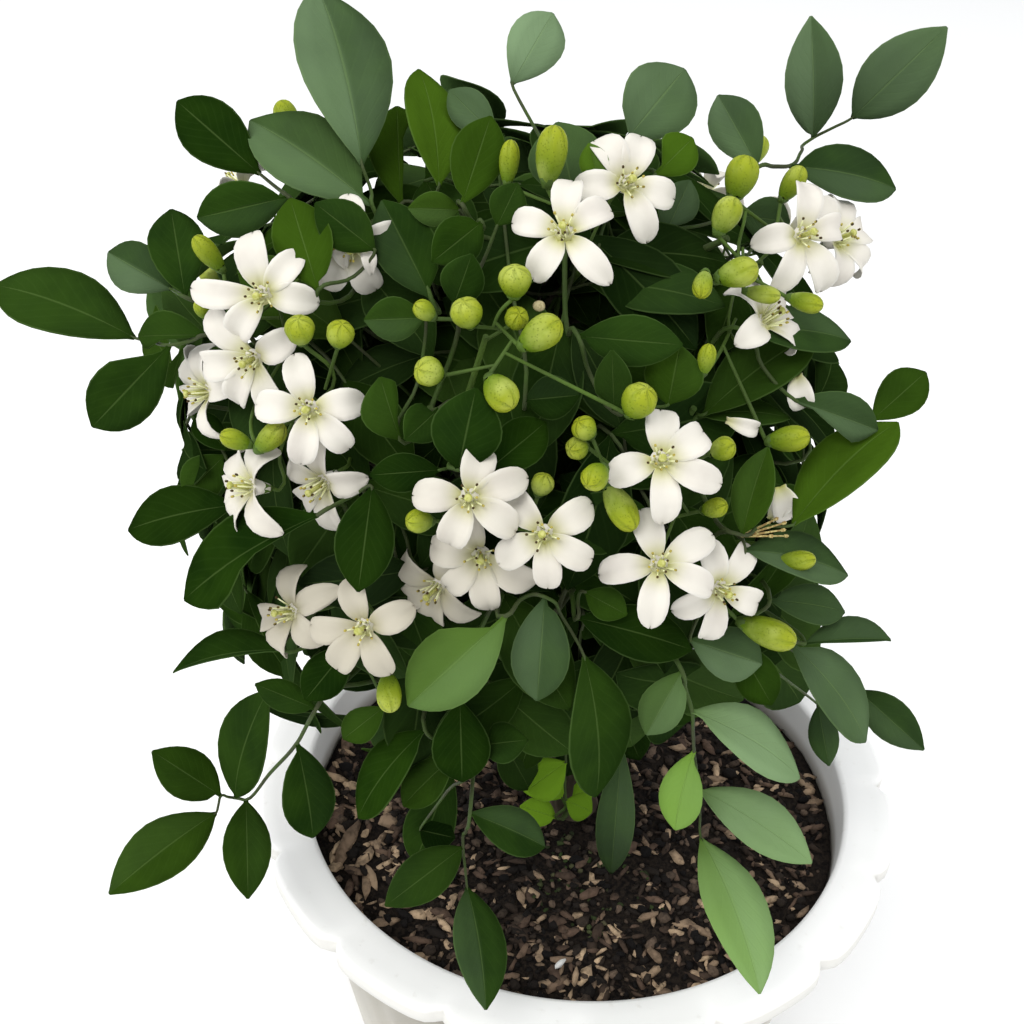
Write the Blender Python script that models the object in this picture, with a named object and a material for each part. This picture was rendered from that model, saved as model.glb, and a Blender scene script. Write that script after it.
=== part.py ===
"""Orange jasmine bonsai in a white pot with a scalloped rim.

Metres, +Z up. The origin is the middle of the pot's flat underside, and -Y is the
front. The crown is placed along sight lines: a pixel of the photograph and a depth
give a point, so every leaflet, bloom and bud that shows has a named place.
The rest of the crown is filled in by a seeded rule.
"""
import math
import random

import bmesh
import bpy
from mathutils import Vector
from mathutils.bvhtree import BVHTree

MM = 0.001
UP = Vector((0.0, 0.0, 1.0))

# Pot: a 22 cm pot with a flat rim of 16 lobes and a fluted, tapering body
POT_HEIGHT = 0.165
LOBES = 16
RIM_RADIUS = 0.110
RIM_NOTCH = 0.0032
RIM_INNER_RADIUS = 0.093
RIM_THICKNESS = 0.0035
LIP_DROP = 0.007
LIP_THICKNESS = 0.0025
BODY_TOP_RADIUS = 0.0975
BODY_FOOT_RADIUS = 0.070
FLUTE_DEPTH = 0.0018
POT_WALL = 0.0032
POT_FLOOR = 0.004
POT_STEPS = 48
WALL_EASE = 0.0025

# Soil and trunk
SOIL_TOP = 0.150
SOIL_CROWN = 0.004
SOIL_BEVEL = 0.006
SOIL_GAP = 0.0008
FIT_GAP = 0.0003
TRUNK_RADIUS = 0.0085
TRUNK_FOOT = 0.112
HOLE_DEPTH = 0.06
TRUNK_PATH = [(0.0, 0.0, TRUNK_FOOT), (0.0, 0.0, 0.152), (-0.003, -0.002, 0.176),
              (-0.011, 0.001, 0.205), (-0.020, -0.002, 0.236)]
TRUNK_TAPER = [1.0, 1.0, 0.82, 0.70, 0.60]
LIMB_RADIUS = 0.0034
LIMB_TAPER = [1.0, 0.8, 0.6]
TWIG_RADIUS = 0.0017
TWIG_TAPER = 0.75
TWIG_TRIALS = 9
TWIG_SHARES = (0.55, 0.4)
STEM_RADIUS = 0.0012

# Crown: the ellipsoid that the leaves cover
CROWN_CENTRE = Vector((-0.028, -0.010, 0.305))
CROWN_RADII = Vector((0.118, 0.100, 0.120))

# Foliage and flowers
BLADE_THICKNESS = 0.0007
LEAFLET_RATIO = 0.50
PETIOLE_RADIUS = 0.0007
PETAL_LENGTH = (0.0130, 0.0190)
PETAL_WIDTH = 0.0086
PETAL_THICKNESS = 0.0008
PETAL_ARCH = 0.0034
PETAL_RECURVE = math.radians(8.6)
PETAL_SPACING = math.radians(54)
PETAL_ROWS = (0.62,)
PETAL_END = 0.45
PETAL_FULL_AT = 0.68
PETALS = 5
THROAT_LENGTH = 0.0050
THROAT_RADIUS = 0.0021
THROAT_TAPER = 0.45
STYLE_LENGTH = 0.0060
STYLE_TAPER = 0.30
PEDICEL_RADIUS = 0.0007
BUD_STALK_FLEX = -0.2
HEAD_STALK_RADIUS = 0.0010
LEAFLET_ROWS = (0.30, 0.74)
LEAFLET_ARCH = 0.07
LEAFLET_SPACING = 0.0026
TOUCHING = 0.00001
LEAF_BASE_DEPTH = 5.0
LEAF_ROOTS = (0.6, 0.78, 0.94)
BLADE_NECK = 0.2
LEAF_DEPTHS = (0, 3, 6, -3, 9, 13, 17, 22, -7)
RACHIS_GAP = 0.0013
PETIOLE_TRIALS = 5
CLEARANCE = 0.0004

# A bud as a swelling at the end of its stalk: place along its length and girth
BUD_RINGS = [(-0.5, 0.36), (-0.12, 1.05), (0.22, 1.12), (0.5, 0.34)]

# How far below a bloom its stalk may bend
KNEES = (0.004, 0.007, 0.011, 0.002, 0.016)

# How far a stalk's middle may sway sideways and rise, as shares of its span, to pass what is in its way
STALK_BENDS = [(0, 0.1), (0.1, 0), (-0.1, 0), (0, -0.1), (0.15, 0.15), (-0.15, 0.15), (0.15, -0.15),
               (-0.15, -0.15), (0, 0.25), (0, -0.25), (0.25, 0), (-0.25, 0), (0.3, 0.2), (-0.3, 0.2),
               (0.3, -0.2), (-0.3, -0.2), (0.4, 0), (-0.4, 0), (0, 0.4), (0, -0.4)]

# The photograph's viewpoint, fitted to the two ellipses of the pot's rim
VIEW_FOCAL = 1450.0
VIEW_CENTRE = 512.0
VIEW_EYE = Vector((-0.0257, -0.3611, POT_HEIGHT + 0.3701))
VIEW_PITCH = math.radians(35.66)
VIEW_ROLL = math.radians(2.15)

VIEW_AHEAD = Vector((0.0, math.cos(VIEW_PITCH), -math.sin(VIEW_PITCH)))
LEVEL_RIGHT = Vector((1.0, 0.0, 0.0))
LEVEL_UP = LEVEL_RIGHT.cross(VIEW_AHEAD)
VIEW_RIGHT = LEVEL_RIGHT * math.cos(VIEW_ROLL) + LEVEL_UP * math.sin(VIEW_ROLL)
VIEW_UP = LEVEL_UP * math.cos(VIEW_ROLL) - LEVEL_RIGHT * math.sin(VIEW_ROLL)

# Limb tips, in millimetres from the crown's centre
LIMB_TIPS = [(-52, -8, 2), (-22, -42, 8), (30, -40, 2), (50, 2, 4), (24, 42, 8), (-30, 40, 4), (2, 2, 46)]

# Shoots that show: name, where the stem ends (pixel u, v and depth behind the crown's front, mm)
SHOOTS = [
    ("top_left", 372, 222, 26),
    ("left", 246, 352, 26),
    ("top_middle", 566, 226, 26),
    ("top_right", 728, 238, 24),
    ("right", 694, 408, 26),
    ("low_right", 738, 592, 26),
    ("hanging_right", 672, 640, 24),
    ("middle", 430, 408, 28),
    ("middle_left", 342, 560, 28),
    ("low_left", 334, 690, 24),
    ("hanging_middle", 470, 668, 26),
    ("middle_right", 556, 612, 26),
]

# Shoots of the far side: name, direction from the crown's centre
FAR_SHOOTS = [
    ("back_left", (-0.72, 0.62, 0.05)),
    ("back", (-0.10, 0.95, 0.10)),
    ("back_right", (0.66, 0.68, 0.05)),
    ("back_top", (0.10, 0.55, 0.80)),
    ("side_left", (-0.95, 0.10, -0.25)),
]

# Compound leaves that show, nearest first: shoot, then each leaflet from the petiole
# to the tip as (base u, v, tip u, v, width) in pixels and how far it lies behind its
# place on the crown, in mm
LEAVES = [
    ("hanging_middle", [(470, 813, 545, 847, 45, 0), (463, 847, 385, 906, 48, 0),
                        (467, 887, 486, 1010, 52, 0)]),
    ("hanging_right", [(682, 671, 646, 735, 45, 0), (692, 711, 800, 778, 50, 0),
                       (694, 751, 675, 830, 43, 0),
                       (699, 789, 812, 863, 52, 0), (701, 838, 760, 994, 60, 0)]),
    ("low_left", [(316, 709, 255, 684, 32, 0), (297, 743, 313, 838, 52, 0), (246, 800, 248, 899, 48, 0),
                  (235, 798, 268, 690, 55, 4), (221, 796, 152, 751, 50, 0), (216, 813, 109, 894, 58, 0)]),
    ("middle_right", [(506, 616, 408, 706, 75, 0), (545, 597, 537, 701, 58, 3),
                      (584, 656, 596, 797, 62, 4)]),
    ("middle_right", [(578, 618, 692, 650, 55, 7), (585, 592, 627, 615, 34, 8)]),
    ("hanging_middle", [(425, 730, 358, 818, 45, 4), (455, 755, 403, 806, 40, 5),
                        (460, 700, 462, 782, 45, 7)]),
    ("top_left", [(372, 205, 250, 120, 75, 4), (362, 165, 318, -12, 87, 0)]),
    ("left", [(185, 297, 171, 209, 54, 0), (171, 289, 108, 252, 50, 6)]),
    ("left", [(205, 335, 138, 336, 50, 6), (170, 345, 92, 427, 65, 2), (135, 338, -6, 285, 70, 4)]),
    ("top_left", [(289, 197, 197, 218, 55, 2), (260, 174, 177, 101, 60, 2)]),
    ("top_left", [(318, 290, 290, 198, 60, 2), (375, 250, 315, 203, 50, 8)]),
    ("top_left", [(431, 298, 382, 200, 63, 0), (401, 204, 397, 106, 55, 8), (439, 186, 419, 69, 55, 3)]),
    ("middle", [(458, 470, 476, 388, 72, 0), (487, 471, 546, 422, 50, 2), (440, 470, 370, 475, 40, 3)]),
    ("middle", [(440, 408, 405, 440, 42, 6), (400, 440, 380, 377, 60, 2), (425, 318, 364, 320, 45, 2)]),
    ("middle_left", [(318, 515, 184, 600, 75, 2), (372, 487, 358, 592, 60, 4)]),
    ("left", [(193, 412, 226, 450, 30, 10), (225, 455, 185, 495, 45, 10), (235, 505, 128, 530, 55, 6)]),
    ("middle_left", [(283, 650, 173, 672, 42, 8), (350, 645, 305, 700, 45, 8),
                     (384, 707, 343, 739, 35, 8)]),
    ("top_right", [(758, 167, 718, 95, 52, 0), (789, 166, 896, 189, 52, 0), (813, 138, 811, 16, 57, 0),
                   (852, 118, 947, 27, 66, 0)]),
    ("right", [(578, 336, 683, 345, 52, 2), (614, 412, 612, 350, 38, 4), (668, 405, 680, 345, 60, 6)]),
    ("right", [(697, 416, 790, 418, 28, 0), (695, 413, 816, 333, 60, 0)]),
    ("right", [(742, 535, 768, 447, 42, 0), (793, 525, 898, 422, 62, 0)]),
    ("top_middle", [(625, 141, 685, 69, 75, 10), (655, 175, 693, 138, 45, 6),
                    (600, 185, 589, 143, 30, 6)]),
    ("top_middle", [(462, 204, 491, 116, 55, 6), (482, 222, 432, 262, 50, 6),
                    (460, 210, 408, 208, 35, 10)]),
    ("top_middle", [(575, 200, 557, 122, 75, 12), (512, 84, 553, 13, 55, 26)]),
    ("top_middle", [(454, 304, 472, 254, 45, 6), (497, 226, 518, 183, 38, 8)]),
    ("top_right", [(665, 235, 690, 180, 40, 10), (740, 215, 790, 222, 44, 8)]),
    ("low_right", [(805, 643, 891, 640, 44, 4), (790, 642, 866, 742, 50, 6),
                   (858, 690, 924, 750, 42, 10)]),
    ("low_right", [(745, 550, 848, 575, 45, 2), (690, 640, 762, 664, 55, 8)]),
    ("right", [(745, 330, 851, 341, 45, 12), (795, 400, 878, 430, 50, 12), (872, 420, 926, 372, 45, 12)]),
    ("low_right", [(770, 600, 845, 612, 40, 12), (735, 640, 772, 705, 44, 12),
                   (818, 705, 829, 766, 30, 14)]),
    ("middle", [(525, 400, 580, 395, 45, 10), (495, 135, 449, 90, 40, 16)]),
    ("hanging_middle", [(480, 745, 528, 740, 42, 14), (420, 830, 455, 838, 40, 14)]),
]

# The young shoot at the trunk's foot: its crook, and leaflets on a plane in front of the trunk
YOUNG_CROOK = (562, 826)
YOUNG_LEAFLETS = [(556, 818, 520, 806, 22), (566, 806, 592, 788, 22), (562, 798, 538, 768, 24)]
YOUNG_NEAR = 0.014
YOUNG_RISE = 0.006

# Flower heads: name, the hub's pixel and its depth behind the crown's front, mm
HEADS = [
    ("left", 300, 386, 18),
    ("top", 598, 252, 16),
    ("right", 762, 262, 18),
    ("middle", 478, 530, 18),
    ("inner", 662, 520, 18),
    ("low", 352, 600, 18),
    ("budding", 486, 336, 10),
    ("spent", 772, 545, 14),
]

# Blooms that show: name, head, throat's pixel, depth (mm), facing (right, up; 0 is
# towards the eye), then the petal tips that show
BLOOMS = [
    ("left_1", "left", 263, 295, 0, (-0.10, -0.20), [(259, 224), (298, 246), (321, 303), (236, 333),
                                                     (183, 285)]),
    ("left_2", "left", 254, 358, 5, (-0.35, -0.40), [(194, 315), (201, 384), (227, 400), (252, 425),
                                                     (275, 347)]),
    ("left_3", "left", 309, 409, 2, (0.00, -0.10), [(293, 352), (369, 407), (357, 448), (298, 466),
                                                    (259, 404)]),
    ("left_4", "left", 208, 392, 10, (-1.40, -0.20), [(174, 345), (184, 396), (224, 436), (214, 340)]),
    ("left_5", "left", 252, 487, 6, (-1.30, 0.10), [(229, 459), (220, 484), (231, 521), (270, 464)]),
    ("left_6", "left", 324, 482, 6, (-0.80, -0.70), [(368, 479), (307, 505), (328, 530), (300, 462)]),
    ("left_7", "left", 350, 246, 14, (0.10, -0.40), [(337, 262), (362, 266), (322, 232), (350, 212),
                                                     (380, 234)]),
    ("top_1", "top", 564, 233, 0, (-0.10, 0.10), [(509, 219), (581, 172), (614, 202), (611, 285),
                                                  (532, 279)]),
    ("top_2", "top", 626, 184, 4, (0.20, 0.00), [(596, 132), (639, 129), (677, 196), (651, 242),
                                                 (596, 187)]),
    ("right_1", "right", 801, 236, 0, (0.35, 0.00), [(804, 175), (760, 245), (777, 299), (825, 297),
                                                     (841, 227)]),
    ("right_2", "right", 836, 240, 9, (0.70, 0.20), [(836, 188), (868, 222), (862, 270), (830, 286),
                                                     (808, 214)]),
    ("right_3", "right", 764, 322, 6, (0.90, 0.55), [(733, 297), (742, 340), (794, 308), (790, 338),
                                                     (762, 290)]),
    ("middle_1", "middle", 469, 498, 0, (0.0, 0.0), [(481, 463), (530, 478), (520, 532), (447, 548),
                                                     (408, 495)]),
    ("middle_2", "middle", 544, 534, 2, (-0.1, 0.0), [(520, 501), (596, 501), (598, 562), (548, 595),
                                                      (509, 557)]),
    ("middle_3", "middle", 481, 555, 12, (0.0, -0.2), [(423, 546), (441, 593), (531, 596), (500, 612),
                                                       (470, 520)]),
    ("middle_4", "middle", 438, 586, 6, (-0.6, -0.6), [(399, 551), (391, 588), (436, 627), (475, 613)]),
    ("inner_1", "inner", 660, 460, 0, (0.0, 0.05), [(666, 405), (715, 432), (728, 473), (663, 529),
                                                    (614, 478)]),
    ("inner_2", "inner", 659, 565, 0, (0.0, 0.10), [(641, 506), (722, 545), (722, 582), (650, 630),
                                                    (593, 576)]),
    ("inner_3", "inner", 719, 589, 6, (0.3, -0.2), [(750, 537), (761, 604), (700, 645), (672, 616),
                                                    (705, 532)]),
    ("low_1", "low", 365, 627, 0, (-0.2, -0.1), [(304, 627), (355, 590), (333, 673), (388, 672),
                                                 (404, 610)]),
    ("low_2", "low", 292, 612, 6, (-0.8, 0.0), [(255, 622), (285, 642), (297, 590), (318, 632)]),
]

# Buds that show: head, pixel, depth (mm), length and width in pixels, where the tip points
BUDS = [
    ("left", 209, 254, 0, 45, 21, (-0.60, 0.75)), ("left", 300, 331, 0, 32, 30, (0.0, 0.3)),
    ("left", 340, 335, 0, 30, 28, (0.1, 0.3)), ("left", 236, 440, -2, 34, 20, (-0.8, 0.3)),
    ("left", 270, 438, -2, 42, 24, (0.7, 0.6)), ("left", 203, 309, 4, 22, 17, (-0.3, 0.8)),
    ("budding", 425, 311, 0, 26, 20, (-0.7, 0.5)), ("budding", 467, 314, -2, 33, 32, (-0.1, 0.3)),
    ("budding", 515, 282, -2, 35, 33, (0.0, 0.4)), ("budding", 516, 319, 2, 26, 24, (0.1, 0.1)),
    ("budding", 540, 334, -4, 50, 34, (0.8, 0.5)), ("budding", 430, 372, -2, 31, 30, (-0.4, 0.1)),
    ("budding", 500, 392, -4, 44, 33, (0.5, -0.7)), ("budding", 638, 402, 0, 40, 35, (0.2, 0.3)),
    ("inner", 585, 429, 2, 26, 25, (-0.3, 0.3)), ("inner", 578, 448, 2, 24, 23, (-0.4, -0.1)),
    ("inner", 596, 476, -3, 32, 27, (-0.4, -0.4)), ("inner", 620, 507, -3, 56, 29, (0.5, -0.9)),
    ("middle", 542, 485, 2, 25, 23, (0.2, 0.5)), ("middle", 420, 521, 2, 30, 24, (-0.5, 0.0)),
    ("inner", 722, 449, 4, 28, 24, (0.6, 0.2)), ("right", 788, 439, 6, 44, 26, (0.9, 0.1)),
    ("inner", 714, 508, 6, 30, 20, (0.4, 0.1)), ("spent", 795, 561, 0, 42, 20, (1.0, 0.1)),
    ("inner", 767, 632, 0, 62, 30, (0.9, -0.35)), ("top", 551, 156, 0, 61, 31, (0.15, 1.0)),
    ("top", 509, 163, 6, 46, 20, (0.1, 1.0)), ("right", 741, 178, 2, 46, 33, (0.3, 0.9)),
    ("right", 726, 216, 2, 41, 28, (0.4, 0.8)), ("right", 792, 184, 4, 40, 22, (0.5, 0.8)),
    ("right", 737, 273, -2, 44, 30, (0.9, 0.2)), ("right", 703, 284, 0, 32, 20, (-0.2, -0.8)),
    ("right", 762, 294, 2, 38, 18, (0.9, -0.2)), ("right", 805, 302, -3, 38, 20, (0.9, -0.3)),
    ("right", 706, 360, 4, 34, 18, (0.2, 0.9)), ("low", 389, 692, 0, 42, 25, (0.1, -1.0)),
]

# Flower heads of the far side: name, direction from the crown's centre
FAR_HEADS = [("far_left", (-0.62, 0.70, 0.35)), ("far_right", (0.60, 0.72, 0.30))]
FAR_BLOOMS = 3
FAR_BUDS = 3

# The outline that the filling leaves keep to in the photograph: v, left u, right u
FILL_OUTLINE = [(70, 400, 580), (110, 330, 690), (160, 210, 735), (250, 150, 800), (350, 120, 850),
                (450, 170, 850),
                (550, 185, 830), (650, 215, 845), (720, 250, 800), (780, 330, 470), (800, 400, 400)]

# Filling leaves: how many places are tried, and the size of a leaf
FILL_PLACES = 38
FILL_LOWEST = -0.75
FILL_FRONT = 0.15
FILL_OUTER = (0.92, 0.82, 0.72, 0.62, 0.50)
FILL_INNER = (0.62, 0.50)
FILL_FEWEST = 4
FILL_SEED = 7
FILL_RACHIS = 0.046
FILL_LEAFLET = 0.035
FILL_PAIRS = 2


def pixel_ray(u, v):
    """The direction of the sight line through a pixel of the photograph."""
    across = (u - VIEW_CENTRE) / VIEW_FOCAL
    down = (v - VIEW_CENTRE) / VIEW_FOCAL
    return (VIEW_AHEAD + VIEW_RIGHT * across - VIEW_UP * down).normalized()


def in_crown_units(vector):
    return Vector((vector[i] / CROWN_RADII[i] for i in range(3)))


def on_crown(u, v, deeper=0.0):
    """Where the sight line meets the crown's front, or passes it nearest, then deeper mm on."""
    ray = pixel_ray(u, v)
    start = in_crown_units(VIEW_EYE - CROWN_CENTRE)
    step = in_crown_units(ray)
    a = step.dot(step)
    b = start.dot(step)
    spare = b * b - a * (start.dot(start) - 1.0)
    reach = (-b - math.sqrt(max(spare, 0.0))) / a
    return VIEW_EYE + ray * (reach + deeper * MM)


def on_plane(u, v, near):
    """Where the sight line meets the upright plane that lies near metres in front of the pot's middle."""
    ray = pixel_ray(u, v)
    return VIEW_EYE + ray * ((-near - VIEW_EYE.y) / ray.y)


def pixel_size(point):
    """The length that one pixel spans at a point."""
    return (point - VIEW_EYE).dot(VIEW_AHEAD) / VIEW_FOCAL


def crown_normal(point):
    offset = point - CROWN_CENTRE
    return Vector((offset[i] / CROWN_RADII[i] ** 2 for i in range(3))).normalized()


def crown_point(direction, share):
    """A point on a ray from the crown's centre, at a share of the crown's radius."""
    return CROWN_CENTRE + Vector((direction[i] * CROWN_RADII[i] * share for i in range(3)))


def bent(start, control, end, t):
    """A point on a quadratic curve."""
    return start * (1 - t) ** 2 + control * (2 * t * (1 - t)) + end * t ** 2


def tube_faces(sides, rings):
    """The triangles of a closed tube whose rings of corners follow one another."""
    faces = []
    for ring in range(rings - 1):
        for side in range(sides):
            a = ring * sides + side
            b = ring * sides + (side + 1) % sides
            faces += [(a, b, b + sides), (a, b + sides, a + sides)]
    last = (rings - 1) * sides
    for side in range(1, sides - 1):
        faces += [(0, side + 1, side), (last, last + side, last + side + 1)]
    return faces


class Blade:
    """A leaflet or petal: a bent midrib, a width and the side that its face looks to."""

    def __init__(self, base, tip, width, facing, arch, rows=LEAFLET_ROWS, full_at=0.5, end=0.0,
                 thickness=BLADE_THICKNESS):
        self.base = base
        self.tip = tip
        self.width = width
        self.rows = rows
        self.full_at = full_at
        self.end = end
        self.thickness = thickness
        self.along = (tip - base).normalized()
        self.normal = (facing - self.along * facing.dot(self.along)).normalized()
        self.side = self.along.cross(self.normal)
        self.control = (base + tip) / 2 + self.normal * arch * 2
        self.away = None

    def lean_off(self, run):
        """Makes the blade's base oblique, so that it stays to one side of the rachis it grows from."""
        away = self.along - run * self.along.dot(run)
        self.away = away.normalized() if away.length > 0.1 else None

    def half_widths(self, t):
        """The blade's reach to either side of its midrib."""
        half = self.half_width(t)
        halves = [half, half]
        if self.away is not None:
            spot = (self.middle(t) - self.base).dot(self.away)
            for index, fall in enumerate((self.side.dot(self.away), -self.side.dot(self.away))):
                if fall > 0.01 and spot - fall * half < RACHIS_GAP:
                    halves[index] = max(half * 0.15, min(half, (spot - RACHIS_GAP) / fall))
        return halves

    def half_width(self, t):
        """The outline: narrow at the base, widest at full_at, then pointed or cut off at the end."""
        if t in (0.0, 1.0):
            return self.width * self.end / 2 * t
        bend = math.log(0.5) / math.log(self.full_at)
        return self.width / 2 * math.sin(math.pi * t ** bend) ** 0.75

    def middle(self, t):
        return bent(self.base, self.control, self.tip, t)

    def upright(self, t):
        """The way the blade's face looks at t."""
        run = (self.control - self.base) * (1 - t) + (self.tip - self.control) * t
        return self.side.cross(run).normalized()

    def skin(self, margin=0.0, start=0.0):
        """The blade's hull from start to its tip, swollen by a margin."""
        points = []
        stations = (start,) + self.rows + (1.0,)
        for t in stations:
            halves = [max(half, PETIOLE_RADIUS / 2) for half in self.half_widths(t)]
            left, right = [self.side * (half + margin) for half in halves]
            lift = self.upright(t) * (self.thickness / 2 + margin)
            spot = self.middle(t) + self.along * (margin if t == 1.0 else 0.0)
            points += [spot + right + lift, spot - left + lift, spot - left - lift, spot + right - lift]
        return points, tube_faces(4, len(stations))


class Bud:
    """A closed bud: an egg on its stalk, fatter towards the tip."""

    def __init__(self, centre, axis, length, width):
        self.axis = axis.normalized()
        self.path = [centre + self.axis * (length * place) for place, girth in BUD_RINGS]
        self.radii = [width / 2 * girth for place, girth in BUD_RINGS]

    @property
    def foot(self):
        return self.path[0]

    def skin(self, margin=0.0):
        return ringed_skin(self.path, self.radii, 6, margin)


def ringed_skin(path, radii, sides, margin):
    """The hull of a round piece with rings of corners along a path."""
    points = []
    last = len(path) - 1
    for ring, centre in enumerate(path):
        run = (path[min(ring + 1, last)] - path[max(ring - 1, 0)]).normalized()
        side = run.cross(Vector((0.31, 0.87, 0.38))).normalized()
        cross = run.cross(side)
        for corner in range(sides):
            turn = math.tau * corner / sides
            points.append(centre + (side * math.cos(turn) + cross * math.sin(turn)) * (radii[ring] + margin))
    return points, tube_faces(sides, len(path))


class Tube:
    """A round stalk along a list of points, with a radius and a taper to its end."""

    def __init__(self, path, radius, taper=1.0, sides=4):
        self.path = path
        self.radius = radius
        self.radii = [radius * (1 + (taper - 1) * index / (len(path) - 1)) for index in range(len(path))]
        self.sides = sides

    def skin(self, margin=0.0):
        return ringed_skin(self.path, self.radii, self.sides, margin)


class Garden:
    """Everything placed so far, with a test of whether a new shape would touch it."""

    def __init__(self):
        self.placed = []

    def clear(self, shape, own=(), beside=()):
        """Whether a shape keeps its distance from all but its own groups, and from the trees beside it."""
        points, faces = shape.skin(CLEARANCE)
        low, high = corners(points)
        tree = BVHTree.FromPolygons(points, faces)
        for group, other_low, other_high, other in self.placed:
            if group not in own and boxes_meet(low, high, other_low, other_high) and tree.overlap(other):
                return False
        return not any(tree.overlap(other) for other in beside)

    def add(self, shape, group):
        points, faces = shape.skin()
        low, high = corners(points)
        self.placed.append((group, low, high, BVHTree.FromPolygons(points, faces)))


def corners(points):
    low = [min(p[i] for p in points) for i in range(3)]
    high = [max(p[i] for p in points) for i in range(3)]
    return low, high


def boxes_meet(low, high, other_low, other_high):
    return all(low[i] <= other_high[i] and other_low[i] <= high[i] for i in range(3))


class Plan:
    """Where every stalk, leaflet, bloom and bud goes."""

    def __init__(self):
        self.garden = Garden()
        self.limbs = []
        self.twigs = []
        self.stems = {}
        self.shoots = {}
        self.heads = {}
        self.blooms = []
        self.buds = []


def limb_paths():
    fork = Vector(TRUNK_PATH[-1])
    below = Vector(TRUNK_PATH[-2])
    paths = []
    for index, tip in enumerate(LIMB_TIPS):
        end = CROWN_CENTRE + Vector(tip) * MM
        start = below.lerp(fork, 0.45 + 0.5 * (index % 3) / 2)
        control = start.lerp(end, 0.5) + UP * 0.010
        paths.append([bent(start, control, end, t) for t in (0.0, 0.5, 1.0)])
    return paths


def twig_roots(limbs, spot):
    """Points on the outer halves of the limbs, the nearest to a spot first and those above it later."""
    roots = []
    for path in limbs:
        roots += [path[1].lerp(path[2], share) for share in (0.15, 0.5, 0.85)]
    return sorted(roots, key=lambda root: (root - spot).length + max(0.0, root.z - spot.z))


def add_twig(plan, name, end, bears):
    """A twig from a near limb towards end; returns a start for the stalk that it bears."""
    wood = {"trunk"} | {group for group, *rest in plan.garden.placed if group.startswith("twig_")}
    roots = twig_roots(plan.limbs, end)
    options = [Tube([root, root.lerp(end, share)], TWIG_RADIUS, TWIG_TAPER)
               for root in roots[:TWIG_TRIALS] for share in TWIG_SHARES]
    free = [twig for twig in options if plan.garden.clear(twig, wood)]
    whole = [twig for twig in free if plan.garden.clear(Tube([twig.path[1], end], bears))]
    twig = (whole or free or options)[0]
    plan.twigs.append(twig)
    plan.garden.add(twig, "twig_" + name)
    root, tip = twig.path
    return tip + (tip - root).normalized() * FIT_GAP


def place_woody_parts(plan):
    plan.limbs = limb_paths()
    for path in plan.limbs:
        plan.garden.add(Tube(path, LIMB_RADIUS, LIMB_TAPER[-1], sides=8), "trunk")
    plan.garden.add(Tube([Vector(p) for p in TRUNK_PATH], TRUNK_RADIUS, TRUNK_TAPER[-1], sides=12), "trunk")
    axis = [Vector((0.0, 0.0, level)) for level in (0.0, POT_HEIGHT)]
    plan.garden.add(Tube(axis, RIM_RADIUS + MM, sides=32), "pot")


def shoot_ends():
    ends = {name: on_crown(u, v, deep) for name, u, v, deep in SHOOTS}
    for name, direction in FAR_SHOOTS:
        ends[name] = crown_point(Vector(direction).normalized(), 0.70)
    return ends


def place_stems(plan):
    for name, end in shoot_ends().items():
        start = add_twig(plan, name, end, STEM_RADIUS)
        stem = Tube([start, end], STEM_RADIUS, 0.8)
        plan.stems[name] = stem
        plan.shoots[name] = [stem]
        plan.garden.add(stem, "stem_" + name)


class Bloom:
    """One flower: a throat on its axis and five petals, each a turn about the axis and a length."""

    def __init__(self, name, head, throat, axis, side, petals):
        self.name = name
        self.head = head
        self.throat = throat
        self.axis = axis
        self.side = side
        self.cross = axis.cross(side)
        self.petals = sorted(petals)

    @property
    def foot(self):
        return self.throat - self.axis * THROAT_LENGTH

    def outward(self, turn):
        return self.side * math.cos(turn) + self.cross * math.sin(turn)

    def blade(self, index):
        turn, length = self.petals[index]
        out = self.outward(turn)
        run = out * math.cos(PETAL_RECURVE) - self.axis * math.sin(PETAL_RECURVE)
        root = self.throat + out * THROAT_RADIUS * 0.6
        end = self.throat + run * length
        return Blade(root, end, PETAL_WIDTH, self.axis, PETAL_ARCH, PETAL_ROWS, PETAL_FULL_AT, PETAL_END,
                     PETAL_THICKNESS)

    def parts(self):
        """The shapes of the clearance test, each with the group it is known by."""
        yield Tube([self.foot, self.throat], THROAT_RADIUS, sides=5), "throat_" + self.name
        style = self.throat + self.axis * STYLE_LENGTH
        yield Tube([self.throat, style], THROAT_RADIUS * 0.7), "bloom_" + self.name
        for index in range(len(self.petals)):
            yield self.blade(index), "bloom_" + self.name


def petal_turn(throat, axis, side, tip):
    """A petal's turn about the axis and its length, from the pixels between throat and tip."""
    size = pixel_size(throat)
    seen = VIEW_RIGHT * (tip[0] * size) - VIEW_UP * (tip[1] * size)
    flat = seen.normalized()
    level = flat.dot(axis)
    deep = -VIEW_AHEAD.dot(axis)
    lean = math.asin(max(-1.0, min(1.0, -math.sin(PETAL_RECURVE) / math.hypot(level, deep))))
    swings = [lean - math.atan2(level, deep), math.pi - lean - math.atan2(level, deep)]
    runs = [flat * math.cos(swing) - VIEW_AHEAD * math.sin(swing) for swing in swings]
    run = max(runs, key=flat.dot)
    length = seen.length / max(run.dot(flat), 0.35)
    turn = math.atan2(run.dot(axis.cross(side)), run.dot(side)) % math.tau
    return turn, max(PETAL_LENGTH[0], min(PETAL_LENGTH[1], length))


def spread_petals(petals):
    """Keeps neighbouring petals at least a petal's width apart, each close to its own turn."""
    petals = sorted(petals)
    for _ in range(60):
        for index in range(len(petals)):
            after = (index + 1) % len(petals)
            gap = (petals[after][0] - petals[index][0]) % math.tau
            if gap < PETAL_SPACING:
                push = (PETAL_SPACING - gap) / 2
                petals[index] = (petals[index][0] - push, petals[index][1])
                petals[after] = (petals[after][0] + push, petals[after][1])
    return petals


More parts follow.
